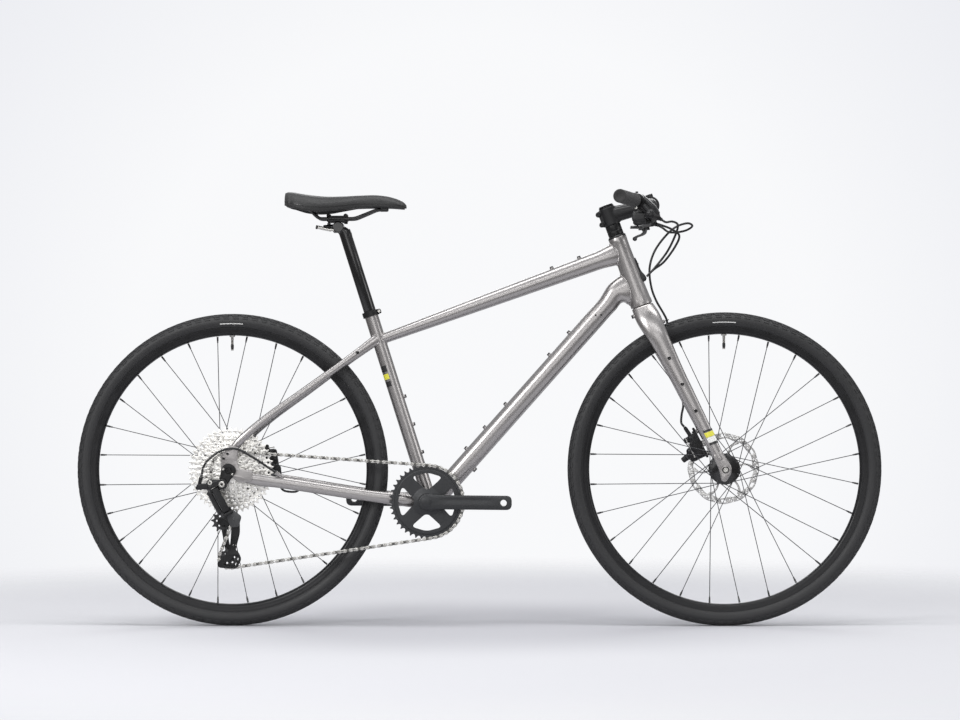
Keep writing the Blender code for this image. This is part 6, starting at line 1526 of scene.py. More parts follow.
def fork():
    """Crown and tapering blades in one smooth form, with dropouts, bosses and hose clip."""
    rows = []
    for down in (0.0010, 0.0300, 0.0650, 0.1100, 0.1600, 0.2200, 0.2800, 0.3300, 0.3700, 0.3820):
        centre, half_long, half_wide = blade_station(min(down, BLADE_STATIONS[-1][0]))
        rows.append((on_fork(down, centre.y), HEAD_AHEAD, half_long, half_wide))
    blade = lofted(swept(rows, 6, 36))
    crown = turned([(0.0, -0.036), (0.0150, -0.034), (0.0215, -0.022), (0.0240, -0.010),
                    (0.0245, -0.0012), (0.0, -0.0012)], 56, STEERING)
    body = fused([blade, mirrored(blade), crown], 0.0017, 10)
    up_blade = on_fork(AXLE_TO_CROWN - 0.029) - FRONT
    back = Vector((-up_blade.z, up_blade.x)).normalized()
    top = Vector((FRONT.x + up_blade.x * 1.45, FRONT.z + up_blade.z * 1.45))
    outline = rounded([tuple(top + 0.0112 * back), (0.5330, 0.3500), (0.5395, 0.3225),
                       (0.5490, 0.3215), (0.5617, 0.3420), (0.5608, 0.3560),
                       tuple(top - 0.0112 * back)], 0.0065, 5)
    drop = merged([plate([outline, circle((FRONT.x, FRONT.z), AXLE_HOLE, 28)], FORK_DROPOUT_Y,
                         0.0116, 0.0022, 4),
                   turned([(AXLE_HOLE, -0.0060), (0.0082, -0.0060), (0.0086, -0.0056),
                           (0.0086, 0.0058), (0.0082, 0.0062), (AXLE_HOLE, 0.0062)], 40,
                          along_y(FRONT + FORK_DROPOUT_Y * ACROSS))])
    left = [drop]
    for down in BLADE_BOSSES:
        centre, _, half_wide = blade_station(down)
        left.append(peg(centre + half_wide * ACROSS, ACROSS, BOSS_RADIUS, BOSS_HEIGHT, 0.004))
    parts = [both_sides(merged(left)),
             peg(on_head(-0.017, -0.0245), -HEAD_AHEAD, BOSS_RADIUS, BOSS_HEIGHT, 0.006)]
    for up in (0.045, 0.100):
        parts.append(moved(rod((up, 0.0535, 0.0020), (up, 0.0535, 0.0165), 0.0055, 28), BLADE))
    parts.append(rod(HOSE_CLIP - 0.0085 * HEAD_AHEAD, HOSE_CLIP, 0.0040, 20))
    steerer = turned([(0.0, 0.0), (0.0186, 0.0), (0.0186, 0.012), (0.0143, 0.060), (0.0143, 0.2270),
                      (0.0, 0.2270)], 40, STEERING)
    show("fork_body", merged([body, steerer] + parts), PAINT, "steering_body",
         ["fork"], 40)

    bolts = []
    for down in BLADE_BOSSES:
        centre, _, half_wide = blade_station(down)
        bolts.append(bolt(centre + (half_wide + 0.0028) * ACROSS, ACROSS, 0.0039, 0.0028))
    clip = tube([HOSE_CLIP + 0.0045 * HEAD_AHEAD
                 + 0.0040 * (HEAD_AHEAD * math.cos(a) + ACROSS * math.sin(a))
                 for a in full_turn(24)], 0.0012, 10, closed=True)
    front = bolt(on_head(-0.017, -0.0273), -HEAD_AHEAD, 0.0040, 0.0030)
    bolts.append(turned([(0.0052, 0.0050), (0.0074, 0.0050), (0.0074, 0.0068), (0.0070, 0.0072),
                         (0.0052, 0.0072)], 40, along_y(FRONT + FORK_DROPOUT_Y * ACROSS)))
    show("fork_bolts", merged([both_sides(merged(bolts)), clip, front]), BLACK, "steering_body")
    turns = span(math.radians(-8), math.radians(118), 16)
    for name, finish, low, high in (("first", BAND, 0.3070, 0.3115), ("second", YELLOW, 0.3125, 0.3235),
                                    ("third", WHITE, 0.3245, 0.3360), ("fourth", BAND, 0.3370, 0.3420)):
        show("fork_band_" + name, both_sides(skin(on_blade, span(low, high, 4), turns)), finish,
             "steering_body")


# Headset, stem and handlebar


def headset():
    """The headset's ring and cover, the spacers, and the top cap with its lid and screw."""
    top = HEAD_TUBE_LENGTH + 0.0003
    rings = (
        ("headset_lower_ring", "headset_lower_bearing", "frame_body", [
            (0.0193, -0.0007), (0.0213, -0.0007), (0.0213, 0.0110), (0.0193, 0.0110)]),
        ("headset_cover", "headset_upper_bearing", "frame_body", [
            (0.0148, top - 0.009), (0.0176, top - 0.009), (0.0176, top), (0.0201, top),
            (0.0206, top + 0.0006), (0.0204, top + 0.0016), (0.0190, top + 0.0030),
            (0.0178, top + 0.0046), (0.0172, top + 0.0050), (0.0148, top + 0.0050)]))
    for name, node, body, profile in rings:
        show(name, turned(profile, 64, STEERING), BLACK, body, [node])
    low, high = top + 0.0053, STEM_LOW - 0.0003
    profile = [(0.0148, low), (0.0166, low)]
    for a, b in ((low, low + 0.0098), (low + 0.0101, high)):
        profile += [(0.0171, a + 0.0005), (0.0173, a + 0.0014), (0.0173, b - 0.0014),
                    (0.0171, b - 0.0005), (0.0167, b)]
    profile += [(0.0148, high)]
    show("headset_spacers", turned(profile, 64, STEERING), BLACK, "steering_body",
         ["headset_spacer"], 60)
    cap = STEM_HIGH + 0.0003
    cup = turned([(0.0, cap), (0.0168, cap), (0.0173, cap + 0.0006), (0.0171, cap + 0.0020),
                  (0.0150, cap + 0.0030), (0.0, cap + 0.0030)], 64, STEERING)
    outlines = [circle((0.0, 0.0), 0.0158, 64)]
    outlines += [rounded([around((0.0, 0.0), r, middle + turn) for r, turn in (
        (0.0138, -0.20), (0.0138, 0.20), (0.0098, 0.22), (0.0098, -0.22))], 0.0014, 3)
        for middle in full_turn(8)]
    lid = slab(outlines, 0.0020, 0.0003, STEERING @ Matrix.Translation((0.0, 0.0, cap + 0.0041)))
    screw = bolt(on_head(cap + 0.0046), HEAD_UP, 0.0052, 0.0014)
    show("headset_cap_lid", merged([lid, cup]), BLACK, "steering_body",
         ["headset_top_cap"])
    show("headset_cap_screw", screw, STEEL, "steering_body")


def split_at(mesh, distance, keep_ahead):
    """The part of a mesh ahead of, or behind, a plane square to its own X, closed there."""
    bm = bmesh.new()
    bm.from_mesh(mesh)
    made = bmesh.ops.bisect_plane(
        bm, geom=bm.verts[:] + bm.edges[:] + bm.faces[:], plane_co=(distance, 0.0, 0.0),
        plane_no=(1.0, 0.0, 0.0), clear_inner=keep_ahead, clear_outer=not keep_ahead)
    cut_edges = [e for e in made["geom_cut"] if isinstance(e, bmesh.types.BMEdge)]
    bmesh.ops.edgeloop_fill(bm, edges=cut_edges)
    return mesh_of(bm)


def stem():
    """A forged stem with its faceplate, and six bolts."""
    low, high = STEM_LOW, STEM_HIGH
    bar, back = Vector((BAR_REACH, 0.0, BAR_RISE)), Vector((0.006, 0.0, (low + high) / 2))
    run = (bar - back).normalized()
    rise = Vector((-run.z, 0.0, run.x))
    barrel = swept([(back, rise, 0.0175, 0.0165), (back.lerp(bar, 0.35), rise, 0.0158, 0.0150),
                    (back.lerp(bar, 0.65), rise, 0.0150, 0.0152),
                    (bar - 0.010 * run, rise, 0.0165, 0.0180)], 6, 36, 2.4)
    whole = fused([
        rod((0.0, 0.0, low), (0.0, 0.0, high), 0.0187, 56, 0.0008), lofted(barrel),
        block((-0.0222, -0.0105, low + 0.002), (-0.0080, 0.0105, high - 0.002), 0.0025),
        *(rod((-0.0226, -0.0122, up), (-0.0226, 0.0122, up), 0.0056, 28, 0.0010)
          for up in (low + 0.0085, high - 0.0085)),
        rod((BAR_REACH, -0.0215, BAR_RISE), (BAR_REACH, 0.0215, BAR_RISE), 0.0207, 56, 0.0010),
        block((BAR_REACH - 0.008, -0.0212, BAR_RISE - 0.0245),
              (BAR_REACH + 0.0105, 0.0212, BAR_RISE + 0.0245), 0.0030)], 0.0010, 8)
    split = BAR_REACH + 0.002
    body = split_at(whole, split - 0.0004, False)
    cover = split_at(whole, split + 0.0004, True)
    show("stem_body", moved(body, STEERING), FORGED, "steering_body", ["stem"], 50)
    show("stem_cover", moved(cover, STEERING), FORGED, "steering_body",
         ["stem_faceplate"], 50)
    bolts = [moved(bolt((BAR_REACH + 0.0100, side * 0.0150, BAR_RISE + up), (1.0, 0.0, 0.0), 0.0042,
                        0.0030), STEERING) for side in (-1, 1) for up in (-0.0200, 0.0200)]
    for up in (low + 0.0085, high - 0.0085):
        bolts.append(moved(bolt((-0.0226, -0.0120, up), (0.0, -1.0, 0.0), 0.0044, 0.0030), STEERING))
    show("stem_bolts", merged(bolts), BLACK, "steering_body")


def handlebar():
    """The swept bar, thicker at the stem, and its two ribbed grips."""
    end = BAR_WIDTH / 2 - 0.0035
    places = span(-end, end, 129)
    radii = []
    for y in places:
        part = min(1.0, max(0.0, (abs(y) - 0.026) / 0.055))
        part = part * part * (3 - 2 * part)
        radii.append(BAR_CLAMP_RADIUS + (BAR_RADIUS - BAR_CLAMP_RADIUS) * part)
    show("handlebar_tube", tube([bar_point(y) for y in places], radii, 40), BLACK, "steering_body",
         ["handlebar"])
    profile = [(0.0114, 0.0), (0.0150, 0.0), (0.0157, 0.0008), (0.0157, 0.0032), (0.0146, 0.0048)]
    at = 0.0070
    while at < 0.1190:
        swell = 0.0004 * math.sin(math.pi * at / 0.130)
        profile += [(0.0141 + swell, at), (0.0145 + swell, at + 0.0007), (0.0145 + swell, at + 0.0017),
                    (0.0141 + swell, at + 0.0023)]
        at += 0.0030
    profile += [(0.0146, 0.1215), (0.0148, 0.1230), (0.0148, 0.1275), (0.0138, 0.1295),
                (0.0080, 0.1300), (0.0070, 0.1292), (0.0, 0.1292)]
    turn = bar_direction().to_track_quat("Z", "Y").to_matrix().to_4x4()
    start = BAR_WIDTH / 2 - GRIP_LENGTH * math.cos(BAR_SWEEP)
    left = turned(profile + [(0.0, 0.1260), (0.0114, 0.1260)], 48, ring=True)
    left.transform(Matrix.Translation(bar_point(start)) @ turn)
    show("grip_left_rubber", left, GRIP, "steering_body", ["grip_left"], 50)
    show("grip_right_rubber", mirrored(left), GRIP, "steering_body", ["grip_right"], 50)


# Brake levers and shifter

STEERED = ("steering_body", "steering_body")


def clamp_ring(radius, low, high):
    """A left control's ring round the bar."""
    profile = [(CONTROL_BORE, low), (radius, low), (radius, high), (CONTROL_BORE, high)]
    return turned(profile, 48, CONTROL @ along_y((0.0, 0.0, 0.0)))


def brake_levers():
    """Both lever blades with their pivots and ball ends."""
    out, away = LEVER_PIVOT
    rows = flowing([(x, y, 0.0, half, high) for (x, y), half, high in (
        ((out, away), 0.0050, 0.0040), ((0.026, 0.0570), 0.0042, 0.0042),
        ((0.044, 0.0610), 0.0034, 0.0044), ((0.080, 0.0640), 0.0029, 0.0044),
        ((0.110, 0.0668), 0.0029, 0.0042), ((0.1195, 0.0690), 0.0034, 0.0038))], 7)
    rings = []
    for i, (x, y, _, half, high) in enumerate(rows):
        before, after = rows[max(i - 1, 0)], rows[min(i + 1, len(rows) - 1)]
        run = Vector((after[0] - before[0], after[1] - before[1], 0.0)).normalized()
        rings.append(section((x, y, 0.0), UP, (-run.y, run.x, 0.0), high, half, 24, 2.8))
    blade = merged([
        lofted(rings), rod((out, away, -0.0041), (out, away, 0.0041), 0.0060, 28, 0.0008)])
    tip = merged([rod((out, away, -0.0077), (out, away, 0.0077), 0.0023, 20),
                  ball((0.1215, 0.0700, 0.0), 0.0054)])
    levers = ("left_lever_body", "right_lever_body")
    show_pair("lever_blade", moved(blade, LEVER_PLANE), PLATE_GREY, levers,
              "brake_lever_")
    show_pair("lever_tip", moved(tip, LEVER_PLANE), GLOSS, levers)


def brake_controls():
    """Both brake controls: clamp, reservoir and cylinder in one forging, and the small pieces."""
    out, away = LEVER_PIVOT
    reach = Vector((0.673, 0.0, -0.740))
    face = Vector((0.740, 0.0, 0.673))
    lid_frame = CONTROL @ frame_matrix((0.0030, -0.0060, 0.0170), reach, (0.0, 1.0, 0.0))
    clamp = clamp_ring(0.0163, 0.0035, 0.0165)
    reservoir = swept([
        ((0.0050, -0.0060, 0.0120), face, 0.0050, 0.0120),
        ((0.0160, -0.0060, -0.0020), face, 0.0085, 0.0150),
        ((0.0290, -0.0060, -0.0170), face, 0.0105, 0.0160),
        ((0.0400, -0.0060, -0.0290), face, 0.0070, 0.0120)], 5, 28, 3.0)
    by_bar = merged([
        lofted(reservoir), rod((0.0080, 0.0100, -0.0080), (0.0280, 0.0100, -0.0280), 0.0065, 24, 0.0010),
        rod((0.0300, -0.0350, -0.0300), (0.0300, 0.0300, -0.0300), 0.0108, 36, 0.0030),
        rod((0.0300, 0.0280, -0.0300), (0.0250, 0.0400, -0.0340), 0.0090, 28, 0.0030, 0.0070),
        rod(OUTLET - 0.0180 * OUTLET_WAY, OUTLET - 0.0040 * OUTLET_WAY, 0.0050, 24)])
    by_lever = merged([
        block((out - 0.0088, 0.0340, low), (out + 0.0093, away + end, high), 0.0012)
        for low, high, end in ((-0.0075, -0.0046, 0.0068), (0.0046, 0.0075, 0.0068),
                               (-0.0075, 0.0075, -0.0076))])
    body = fused([moved(by_bar, CONTROL), moved(by_lever, LEVER_PLANE)], 0.0008, 5)
    show_pair("brake_body", merged([body, clamp]), FORGED, STEERED, "brake_master_", 50)
    lid = slab([rounded([(0.0, -0.0150), (0.0560, -0.0120), (0.0580, 0.0100), (0.0, 0.0150)], 0.0085, 6)],
               0.0034, 0.0010, lid_frame @ Matrix.Translation((0.0, 0.0, -0.0020)), 3)
    show_pair("brake_lid", lid, PLATE_GREY, STEERED)
    screws = [bolt(lid_frame @ Vector((u, v, -0.0036)), lid_frame.to_3x3() @ -UP, 0.0019, 0.0012, 12)
              for u, v in ((0.0065, 0.0), (0.0500, -0.0010))]
    knob = rod((0.0, 0.0175, 0.0170), (0.0, 0.0175, 0.0205), 0.0030, 16)
    nut = rod(OUTLET - 0.0060 * OUTLET_WAY, OUTLET, 0.0042, 6, 0.0004)
    show_pair("brake_screws", merged(screws + [moved(merged([knob, nut]), CONTROL)]), BLACK, STEERED)
    fixing = bolt(CONTROL @ Vector((-0.0020, 0.0165, -0.0140)), CONTROL.to_3x3() @ ACROSS, 0.0036, 0.0026)
    show_pair("brake_fixing", fixing, STEEL, STEERED)
    brake_levers()


def shifter():
    """The right-hand shifter, made on the left and mirrored: clamp, pod, window ring and paddles."""
    x, y = SHIFTER_PIVOT
    clamp = clamp_ring(0.0160, -0.0222, -0.0098)
    pod = fused([
        block((-0.0060, -0.0210, -0.0240), (0.0060, -0.0110, -0.0130), 0.0015),
        block((-0.0188, -0.0448, -0.0440), (0.0163, -0.0082, -0.0205), 0.0070, 4),
        rod((x, y, -0.0300), (x, y, -0.0500), 0.0170, 40, 0.0040),
        rod((0.0080, -0.0370, -0.0383), (0.0200, -0.0466, -0.0425), 0.0056, 28, 0.0010)], 0.0008, 6)
    show("shifter_pod", mirrored(moved(pod, CONTROL)), PLASTIC, "steering_body",
         ["shifter_body"], 50)
    show("shifter_clamp", mirrored(clamp), BLACK, "steering_body")
    post = merged([rod((x, y, -0.045), (x, y, -0.0605), 0.0030, 20),
                   rod((x, y, -0.0585), (x, y, -0.0608), 0.0052, 28, 0.0006)])
    knob = []
    for k in range(5):
        a = 0.0010 + 0.0016 * k
        knob += [(0.0040, a), (0.0040, a + 0.0010), (0.0036, a + 0.0012), (0.0036, a + 0.0015)]
    knob = [(0.0, 0.0), (0.0036, 0.0)] + knob + [(0.0030, 0.0092), (0.0, 0.0092)]
    way = Vector((0.0162, -0.0130, -0.0058)).normalized()
    barrel = turned(knob, 24, towards(Vector((0.0262, -0.0515, -0.0448)) - 0.0092 * way, way))
    show("shifter_post", mirrored(moved(merged([post, barrel]), CONTROL)), BLACK, "steering_body")
    ring = turned([(0.0060, -0.0011), (0.0082, -0.0011), (0.0086, 0.0), (0.0082, 0.0011),
                   (0.0060, 0.0011)], 40, CONTROL @ Matrix.Translation((0.0020, -0.0452, -0.0320))
                  @ Matrix.Rotation(math.pi / 2, 4, "X"))
    show("shifter_ring", mirrored(ring), STEEL, "steering_body")
    hub_hole = circle(SHIFTER_PIVOT, 0.0034, 20)
    for name, node, path, halves, height, body in (
            ("main_paddle", "shift_lever_main",
             [(0.004, -0.031), (x, y), (-0.012, -0.022), (-0.022, -0.017)],
             (0.004, 0.0068, 0.0050, 0.0070), -0.0561, "main_paddle_body"),
            ("release_paddle", "shift_lever_release",
             [(0.003, -0.0255), (x, y), (-0.014, -0.034), (-0.025, -0.037)],
             (0.004, 0.0068, 0.0045, 0.0055), -0.0522, "release_paddle_body")):
        outline = rounded(ribbon([(*p, half) for p, half in zip(path, halves)], 6), 0.0020, 2)
        paddle = slab([outline, hub_hole], 0.0034, 0.0009,
                      CONTROL @ Matrix.Translation((0.0, 0.0, height)), 3)
        show(name, mirrored(paddle), PLATE_GREY, body, [node])


def cable_port():
    """The dark inlay down the front of the head tube, with a nose for the two lines."""
    strip = swept([((0.0195, 0.0, PORT_UP + 0.0480), (1.0, 0.0, 0.0), 0.0030, 0.0035),
                   ((0.0200, 0.0, PORT_UP + 0.0420), (1.0, 0.0, 0.0), 0.0034, 0.0064),
                   ((0.0215, 0.0, PORT_UP + 0.0150), (1.0, 0.0, 0.0), 0.0038, 0.0066),
                   ((0.0235, 0.0, PORT_UP + 0.0020), (1.0, 0.0, 0.0), 0.0066, 0.0078),
                   ((0.0240, 0.0, PORT_UP - 0.0050), (1.0, 0.0, 0.0), 0.0060, 0.0076),
                   ((0.0230, 0.0, PORT_UP - 0.0088), (1.0, 0.0, 0.0), 0.0035, 0.0050)], 6, 32, 3.0)
    show("cable_port_cover", moved(lofted(strip), STEERING), PLASTIC, "frame_body",
         ["head_tube_cable_port"])
    screw = bolt(on_head(PORT_UP + 0.0340, 0.0240), HEAD_AHEAD, 0.0026, 0.0012, 16)
    show("cable_port_screw", screw, STEEL, "frame_body")


# Frame fittings and axles

HANGER_DROP = Vector((-0.0130, 0.0, -0.0292))
HANGER_Y = -0.0806


def seat_collar():
    """The ring round the seat tube's top, with its split ears, screw and nut."""
    seat = frame_matrix(SEAT_TOP, SEAT_AHEAD, ACROSS)
    ring = turned([(0.0156, -0.0110), (0.0179, -0.0110), (0.0185, -0.0104), (0.0185, 0.0004),
                   (0.0178, 0.0011), (0.0144, 0.0011), (0.0140, 0.0007), (0.0140, 0.0004),
                   (0.0156, 0.0004)], 64)
    split = [block((0.0150, low, -0.0100), (0.0240, high, 0.0004), 0.0025, 4)
             for low, high in ((0.0008, 0.0075), (-0.0075, -0.0008))]
    screw = bolt((0.0200, -0.0070, -0.0048), -ACROSS, 0.0032, 0.0024)
    nut = rod((0.0200, 0.0070, -0.0048), (0.0200, 0.0090, -0.0048), 0.0030, 20)
    show("collar_ring", moved(merged([ring] + split), seat), BLACK, "frame_body",
         ["seat_collar"])
    show("collar_screw", moved(merged([screw, nut]), seat), STEEL, "frame_body")


def bottom_bracket():
    """The two notched bearing cups."""
    notches = []
    for middle in full_turn(16):
        notches += [around((0.0, 0.0), radius, middle + offset) for offset, radius in (
            (-0.150, 0.0216), (-0.060, 0.0216), (-0.040, 0.0200), (0.040, 0.0200), (0.060, 0.0216),
            (0.150, 0.0216))]
    cup = merged([
        plate([notches, circle((0.0, 0.0), 0.0128, 32)], 0.0376, 0.0064, 0.0004),
        turned([(0.0128, 0.0404), (0.0206, 0.0404), (0.0202, 0.0432), (0.0180, 0.0444),
                (0.0128, 0.0444)], 56, along_y((0.0, 0.0, 0.0)))])
    left = moved(cup, Matrix.Translation(BB))
    show("bottom_bracket_left_cup", left, BLACK, "frame_body",
         ["bottom_bracket_left"])
    show("bottom_bracket_right_cup", mirrored(left), BLACK, "frame_body",
         ["bottom_bracket_right"])


def hanger():
    """The plate that carries the derailleur, with its two screws."""
    hook = REAR + HANGER_DROP
    away = math.atan2(HANGER_DROP.z, HANGER_DROP.x)
    outline = (arc((REAR.x, REAR.z), 0.0163, away + 1.75, away - 1.75 + 2 * math.pi, 28)
               + arc((hook.x, hook.z), 0.0093, away - 1.45, away + 1.45, 14))
    bores = [circle((REAR.x, REAR.z), 0.0064, 28), circle((hook.x, hook.z), 0.0046, 20)]
    screws = [bolt(REAR + Vector((x, HANGER_Y - 0.0028, z)), -ACROSS, 0.0024, 0.0012, 16)
              for x, z in ((0.0088, -0.0072), (-0.0110, 0.0040))]
    show("hanger_plate", plate([outline] + bores, HANGER_Y, 0.0060, 0.0012, 3), BLACK,
         "frame_body", ["derailleur_hanger"])
    show("hanger_screws", merged(screws), STEEL, "frame_body")


def axle(centre, low, shoulder, high, plug_low, plug_high):
    """A hollow axle with a flanged head on the left, and a hexagonal socket inside."""
    shaft = [(0.0032, low), (0.0054, low), (0.0060, low + 0.0006), (0.0060, shoulder),
             (0.0090, shoulder), (0.0095, shoulder + 0.0005), (0.0095, high - 0.0006), (0.0088, high),
             (0.0032, high)]
    plug = [(0.0, plug_low), (0.0034, plug_low), (0.0034, plug_high), (0.0, plug_high)]
    return merged([turned(shaft, 40, along_y(centre)), turned(plug, 6, along_y(centre))])


def fittings():
    """Seat collar, bottom bracket cups, derailleur hanger and both axles."""
    seat_collar()
    bottom_bracket()
    hanger()
    show("rear_axle_shaft", axle(REAR, -0.0851, 0.0781, 0.0826, -0.0815, 0.0800), BLACK,
         "frame_body", ["rear_axle"])
    show("front_axle_shaft", axle(FRONT, -0.0630, 0.0622, 0.0664, -0.0600, 0.0640), STEEL,
         "steering_body", ["front_axle"])


# Calipers

ROTOR_ROOM = 0.0822


def rotor_room(centre, y):
    """The disc-shaped space that a caliper leaves for its rotor."""
    return rod(centre + (y - 0.0021) * ACROSS, centre + (y + 0.0021) * ACROSS, ROTOR_ROOM, 128, 0.0)


def calipers():
    """Two flat-mount calipers, each with a piston's cap, bolts, a pad pin and a hose fitting."""
    forged = fused([
        block((0.0420, 0.0262, 0.0200), (0.1010, 0.0468, 0.0420), 0.0080, 4),
        block((0.0420, 0.0280, 0.0300), (0.0760, 0.0450, 0.0580), 0.0090, 4),
        block((0.0860, 0.0300, 0.0340), (0.0990, 0.0440, 0.0520), 0.0050, 4),
        rod((0.0600, 0.0365, 0.0520), (0.0560, 0.0365, 0.0745), 0.0074, 28, 0.0020, 0.0066),
        rod((0.0740, 0.0262, 0.0310), (0.0740, 0.0472, 0.0310), 0.0150, 40, 0.0020),
        block((0.0370, 0.0405, 0.0170), (0.1110, 0.0585, 0.0226), 0.0020),
        rod((0.0930, 0.0380, 0.0325), (0.1190, 0.0400, 0.0355), 0.0045, 24)], 0.0010, 4)
    forged = cut(moved(forged, BLADE), rotor_room(FRONT, FRONT_ROTOR_Y))
    show("front_caliper_body", forged, FORGED, "steering_body",
         ["front_brake_caliper"], 50)
    parts = [rod((up, 0.0535, 0.0222), (up, 0.0535, 0.0262), 0.0042, 24, 0.0005)
             for up in (0.0450, 0.1000)]
    parts += [rod((0.0740, 0.0256, 0.0300), (0.0740, 0.0266, 0.0300), 0.0095, 32, 0.0004),
              rod((0.1150, 0.0400, 0.0347), (0.1215, 0.0400, 0.0360), 0.0038, 6, 0.0004)]
    show("front_caliper_caps", moved(merged(parts), BLADE), BLACK, "steering_body")
    pin = rod((0.0500, 0.0280, 0.0458), (0.0980, 0.0280, 0.0458), 0.0012, 12)
    show("front_caliper_pin", moved(pin, BLADE), STEEL, "steering_body")

    forged = fused([
        block((0.0700, 0.0405, -0.0250), (0.0985, 0.0635, 0.0330), 0.0070, 4),
        block((0.0820, 0.0405, -0.0360), (0.1020, 0.0635, -0.0050), 0.0060, 4),
        rod((0.0830, 0.0402, 0.0060), (0.0830, 0.0638, 0.0060), 0.0152, 40, 0.0020),
        rod((0.0780, 0.0440, 0.0260), (0.0760, 0.0440, 0.0440), 0.0068, 28, 0.0020),
        rod((0.0950, 0.0455, -0.0300), (0.0950, 0.0455, -0.0390), 0.0042, 24)], 0.0010, 4)
    forged = cut(moved(forged, REAR_CALIPER), rotor_room(REAR, REAR_ROTOR_Y))
    foot = block((REAR.x + 0.028, 0.0532, REAR.z - 0.0680), (REAR.x + 0.128, 0.0900, REAR.z - 0.0019),
                 0.0002)
    show("rear_caliper_body", cut(forged, foot), FORGED, "frame_body",
         ["rear_brake_caliper"], 50)
    parts = [rod((0.0830, 0.0396, 0.0040), (0.0830, 0.0406, 0.0040), 0.0105, 32, 0.0004),
             rod((0.0950, 0.0455, -0.0360), (0.0950, 0.0455, -0.0415), 0.0038, 6, 0.0004),
             bolt((0.0930, 0.0408, 0.0260), (0.0, -1.0, 0.0), 0.0036, 0.0024)]
    show("rear_caliper_caps", moved(merged(parts), REAR_CALIPER), BLACK, "frame_body")
    pin = rod((0.0720, 0.0425, 0.0362), (0.0960, 0.0425, 0.0362), 0.0012, 12)
    show("rear_caliper_pin", moved(pin, REAR_CALIPER), STEEL, "frame_body")


# Chainring and cranks

CRANK_TILT = math.radians(-0.6)
CRANK_INNER = 0.0590
CRANK_HALF_THICK = 0.0065
CRANK_LENGTH = 0.170
CRANK_START_HALF, CRANK_END_HALF = 0.0176, 0.0158
CRANK_SIDE_LENGTH, CRANK_END_REACH = 0.1728, 0.0152


def chainring():
    """A forty-tooth ring on a four-armed spider that is dished out to the crank."""
    phase = phase_at(RING_CENTRE, sprocket_radius(CHAINRING_TEETH))
    teeth = plate([toothed(RING_CENTRE, CHAINRING_TEETH, phase), circle(RING_CENTRE, 0.0680, 96)],
                  -CHAINLINE, 0.0018)
    show("chainring_teeth", teeth, SATIN, "crank_body", ["chainring"], 30)
    windows = []
    for i in range(4):
        middle = math.pi * i / 2 + CRANK_TILT
        window = (arc(RING_CENTRE, 0.0650, middle - 0.56, middle + 0.56, 3)
                  + arc(RING_CENTRE, 0.0285, middle + 0.16, middle - 0.16, 2))
        windows.append(plate([rounded(window, 0.0110, 8)], -0.0520, 0.0160))
    boss = turned([(0.0128, -0.0460), (0.0200, -0.0460), (0.0215, -0.0500), (0.0320, -0.0520),
                   (0.0310, -0.0545), (0.0215, -0.0575), (0.0200, -0.0586), (0.0128, -0.0586)], 64,
                  along_y(BB))
    disc = rod(BB - 0.0492 * ACROSS, BB - 0.0537 * ACROSS, 0.0722, 128, 0.0012)
    body = cut(fused([disc, boss], 0.0010, 4), merged(windows))
    show("chainring_spider", body, SATIN, "crank_body", sharp=50)


def crank_half(along):
    """Half the crank's width, this far from its axis."""
    if along < 0.0:
        return math.sqrt(max(0.0, CRANK_START_HALF ** 2 - along ** 2))
    if along > CRANK_SIDE_LENGTH:
        past = (along - CRANK_SIDE_LENGTH) / CRANK_END_REACH
        return CRANK_END_HALF * max(0.0, 1.0 - past ** 3) ** (1 / 3)
    share = min(1.0, along / 0.045)
    return CRANK_START_HALF + (CRANK_END_HALF - CRANK_START_HALF) * share * share * (3 - 2 * share)


def crank_arm():
    """The right crank in its own frame: X along it, Y outward and Z up, from the bottom bracket."""
    places = [-CRANK_START_HALF * math.cos(math.radians(a)) for a in range(4, 90, 8)]
    places += span(0.0, CRANK_SIDE_LENGTH, 48)
    places += [CRANK_SIDE_LENGTH + CRANK_END_REACH * math.sin(math.radians(a)) for a in range(10, 87, 8)]
    rings = []
    for along in places:
        half = max(0.0008, crank_half(along))
        thin = CRANK_HALF_THICK - 0.0012 * (1.0 - min(1.0, half / 0.0120))
        ridge = min(1.0, max(0.0, (along - 0.020) / 0.030)) * min(1.0, max(0.0, (0.158 - along) / 0.035))
        ring = []
        for turn in full_turn(72):
            c, s = math.cos(turn), math.sin(turn)
            across = half * math.copysign(abs(s) ** (2 / 3.6), s)
            out = thin * math.copysign(abs(c) ** (2 / 3.6), c)
            if out > 0.0:
                hollow = math.exp(-((across / half - 0.36) / 0.34) ** 2)
                crest = math.exp(-((across / half + 0.34) / 0.22) ** 2)
                out += ridge * (0.0004 * crest - 0.0019 * hollow)
            ring.append(Vector((along, CRANK_INNER + CRANK_HALF_THICK + out, across)))
        rings.append(ring)
    hole = rod((CRANK_LENGTH, 0.050, 0.0), (CRANK_LENGTH, 0.080, 0.0), 0.0072, 48, 0.0)
    return cut(lofted(rings), hole)


def pedal_thread():
    """The bright threaded liner of the pedal hole."""
    profile = [(0.0074, 0.0592)]
    for i in range(18):
        profile.append((0.0068 if i % 2 else 0.0071, 0.0596 + 0.0118 * i / 17))
    return turned(profile + [(0.0074, 0.0718)], 40, along_y((CRANK_LENGTH, 0.0, 0.0)))


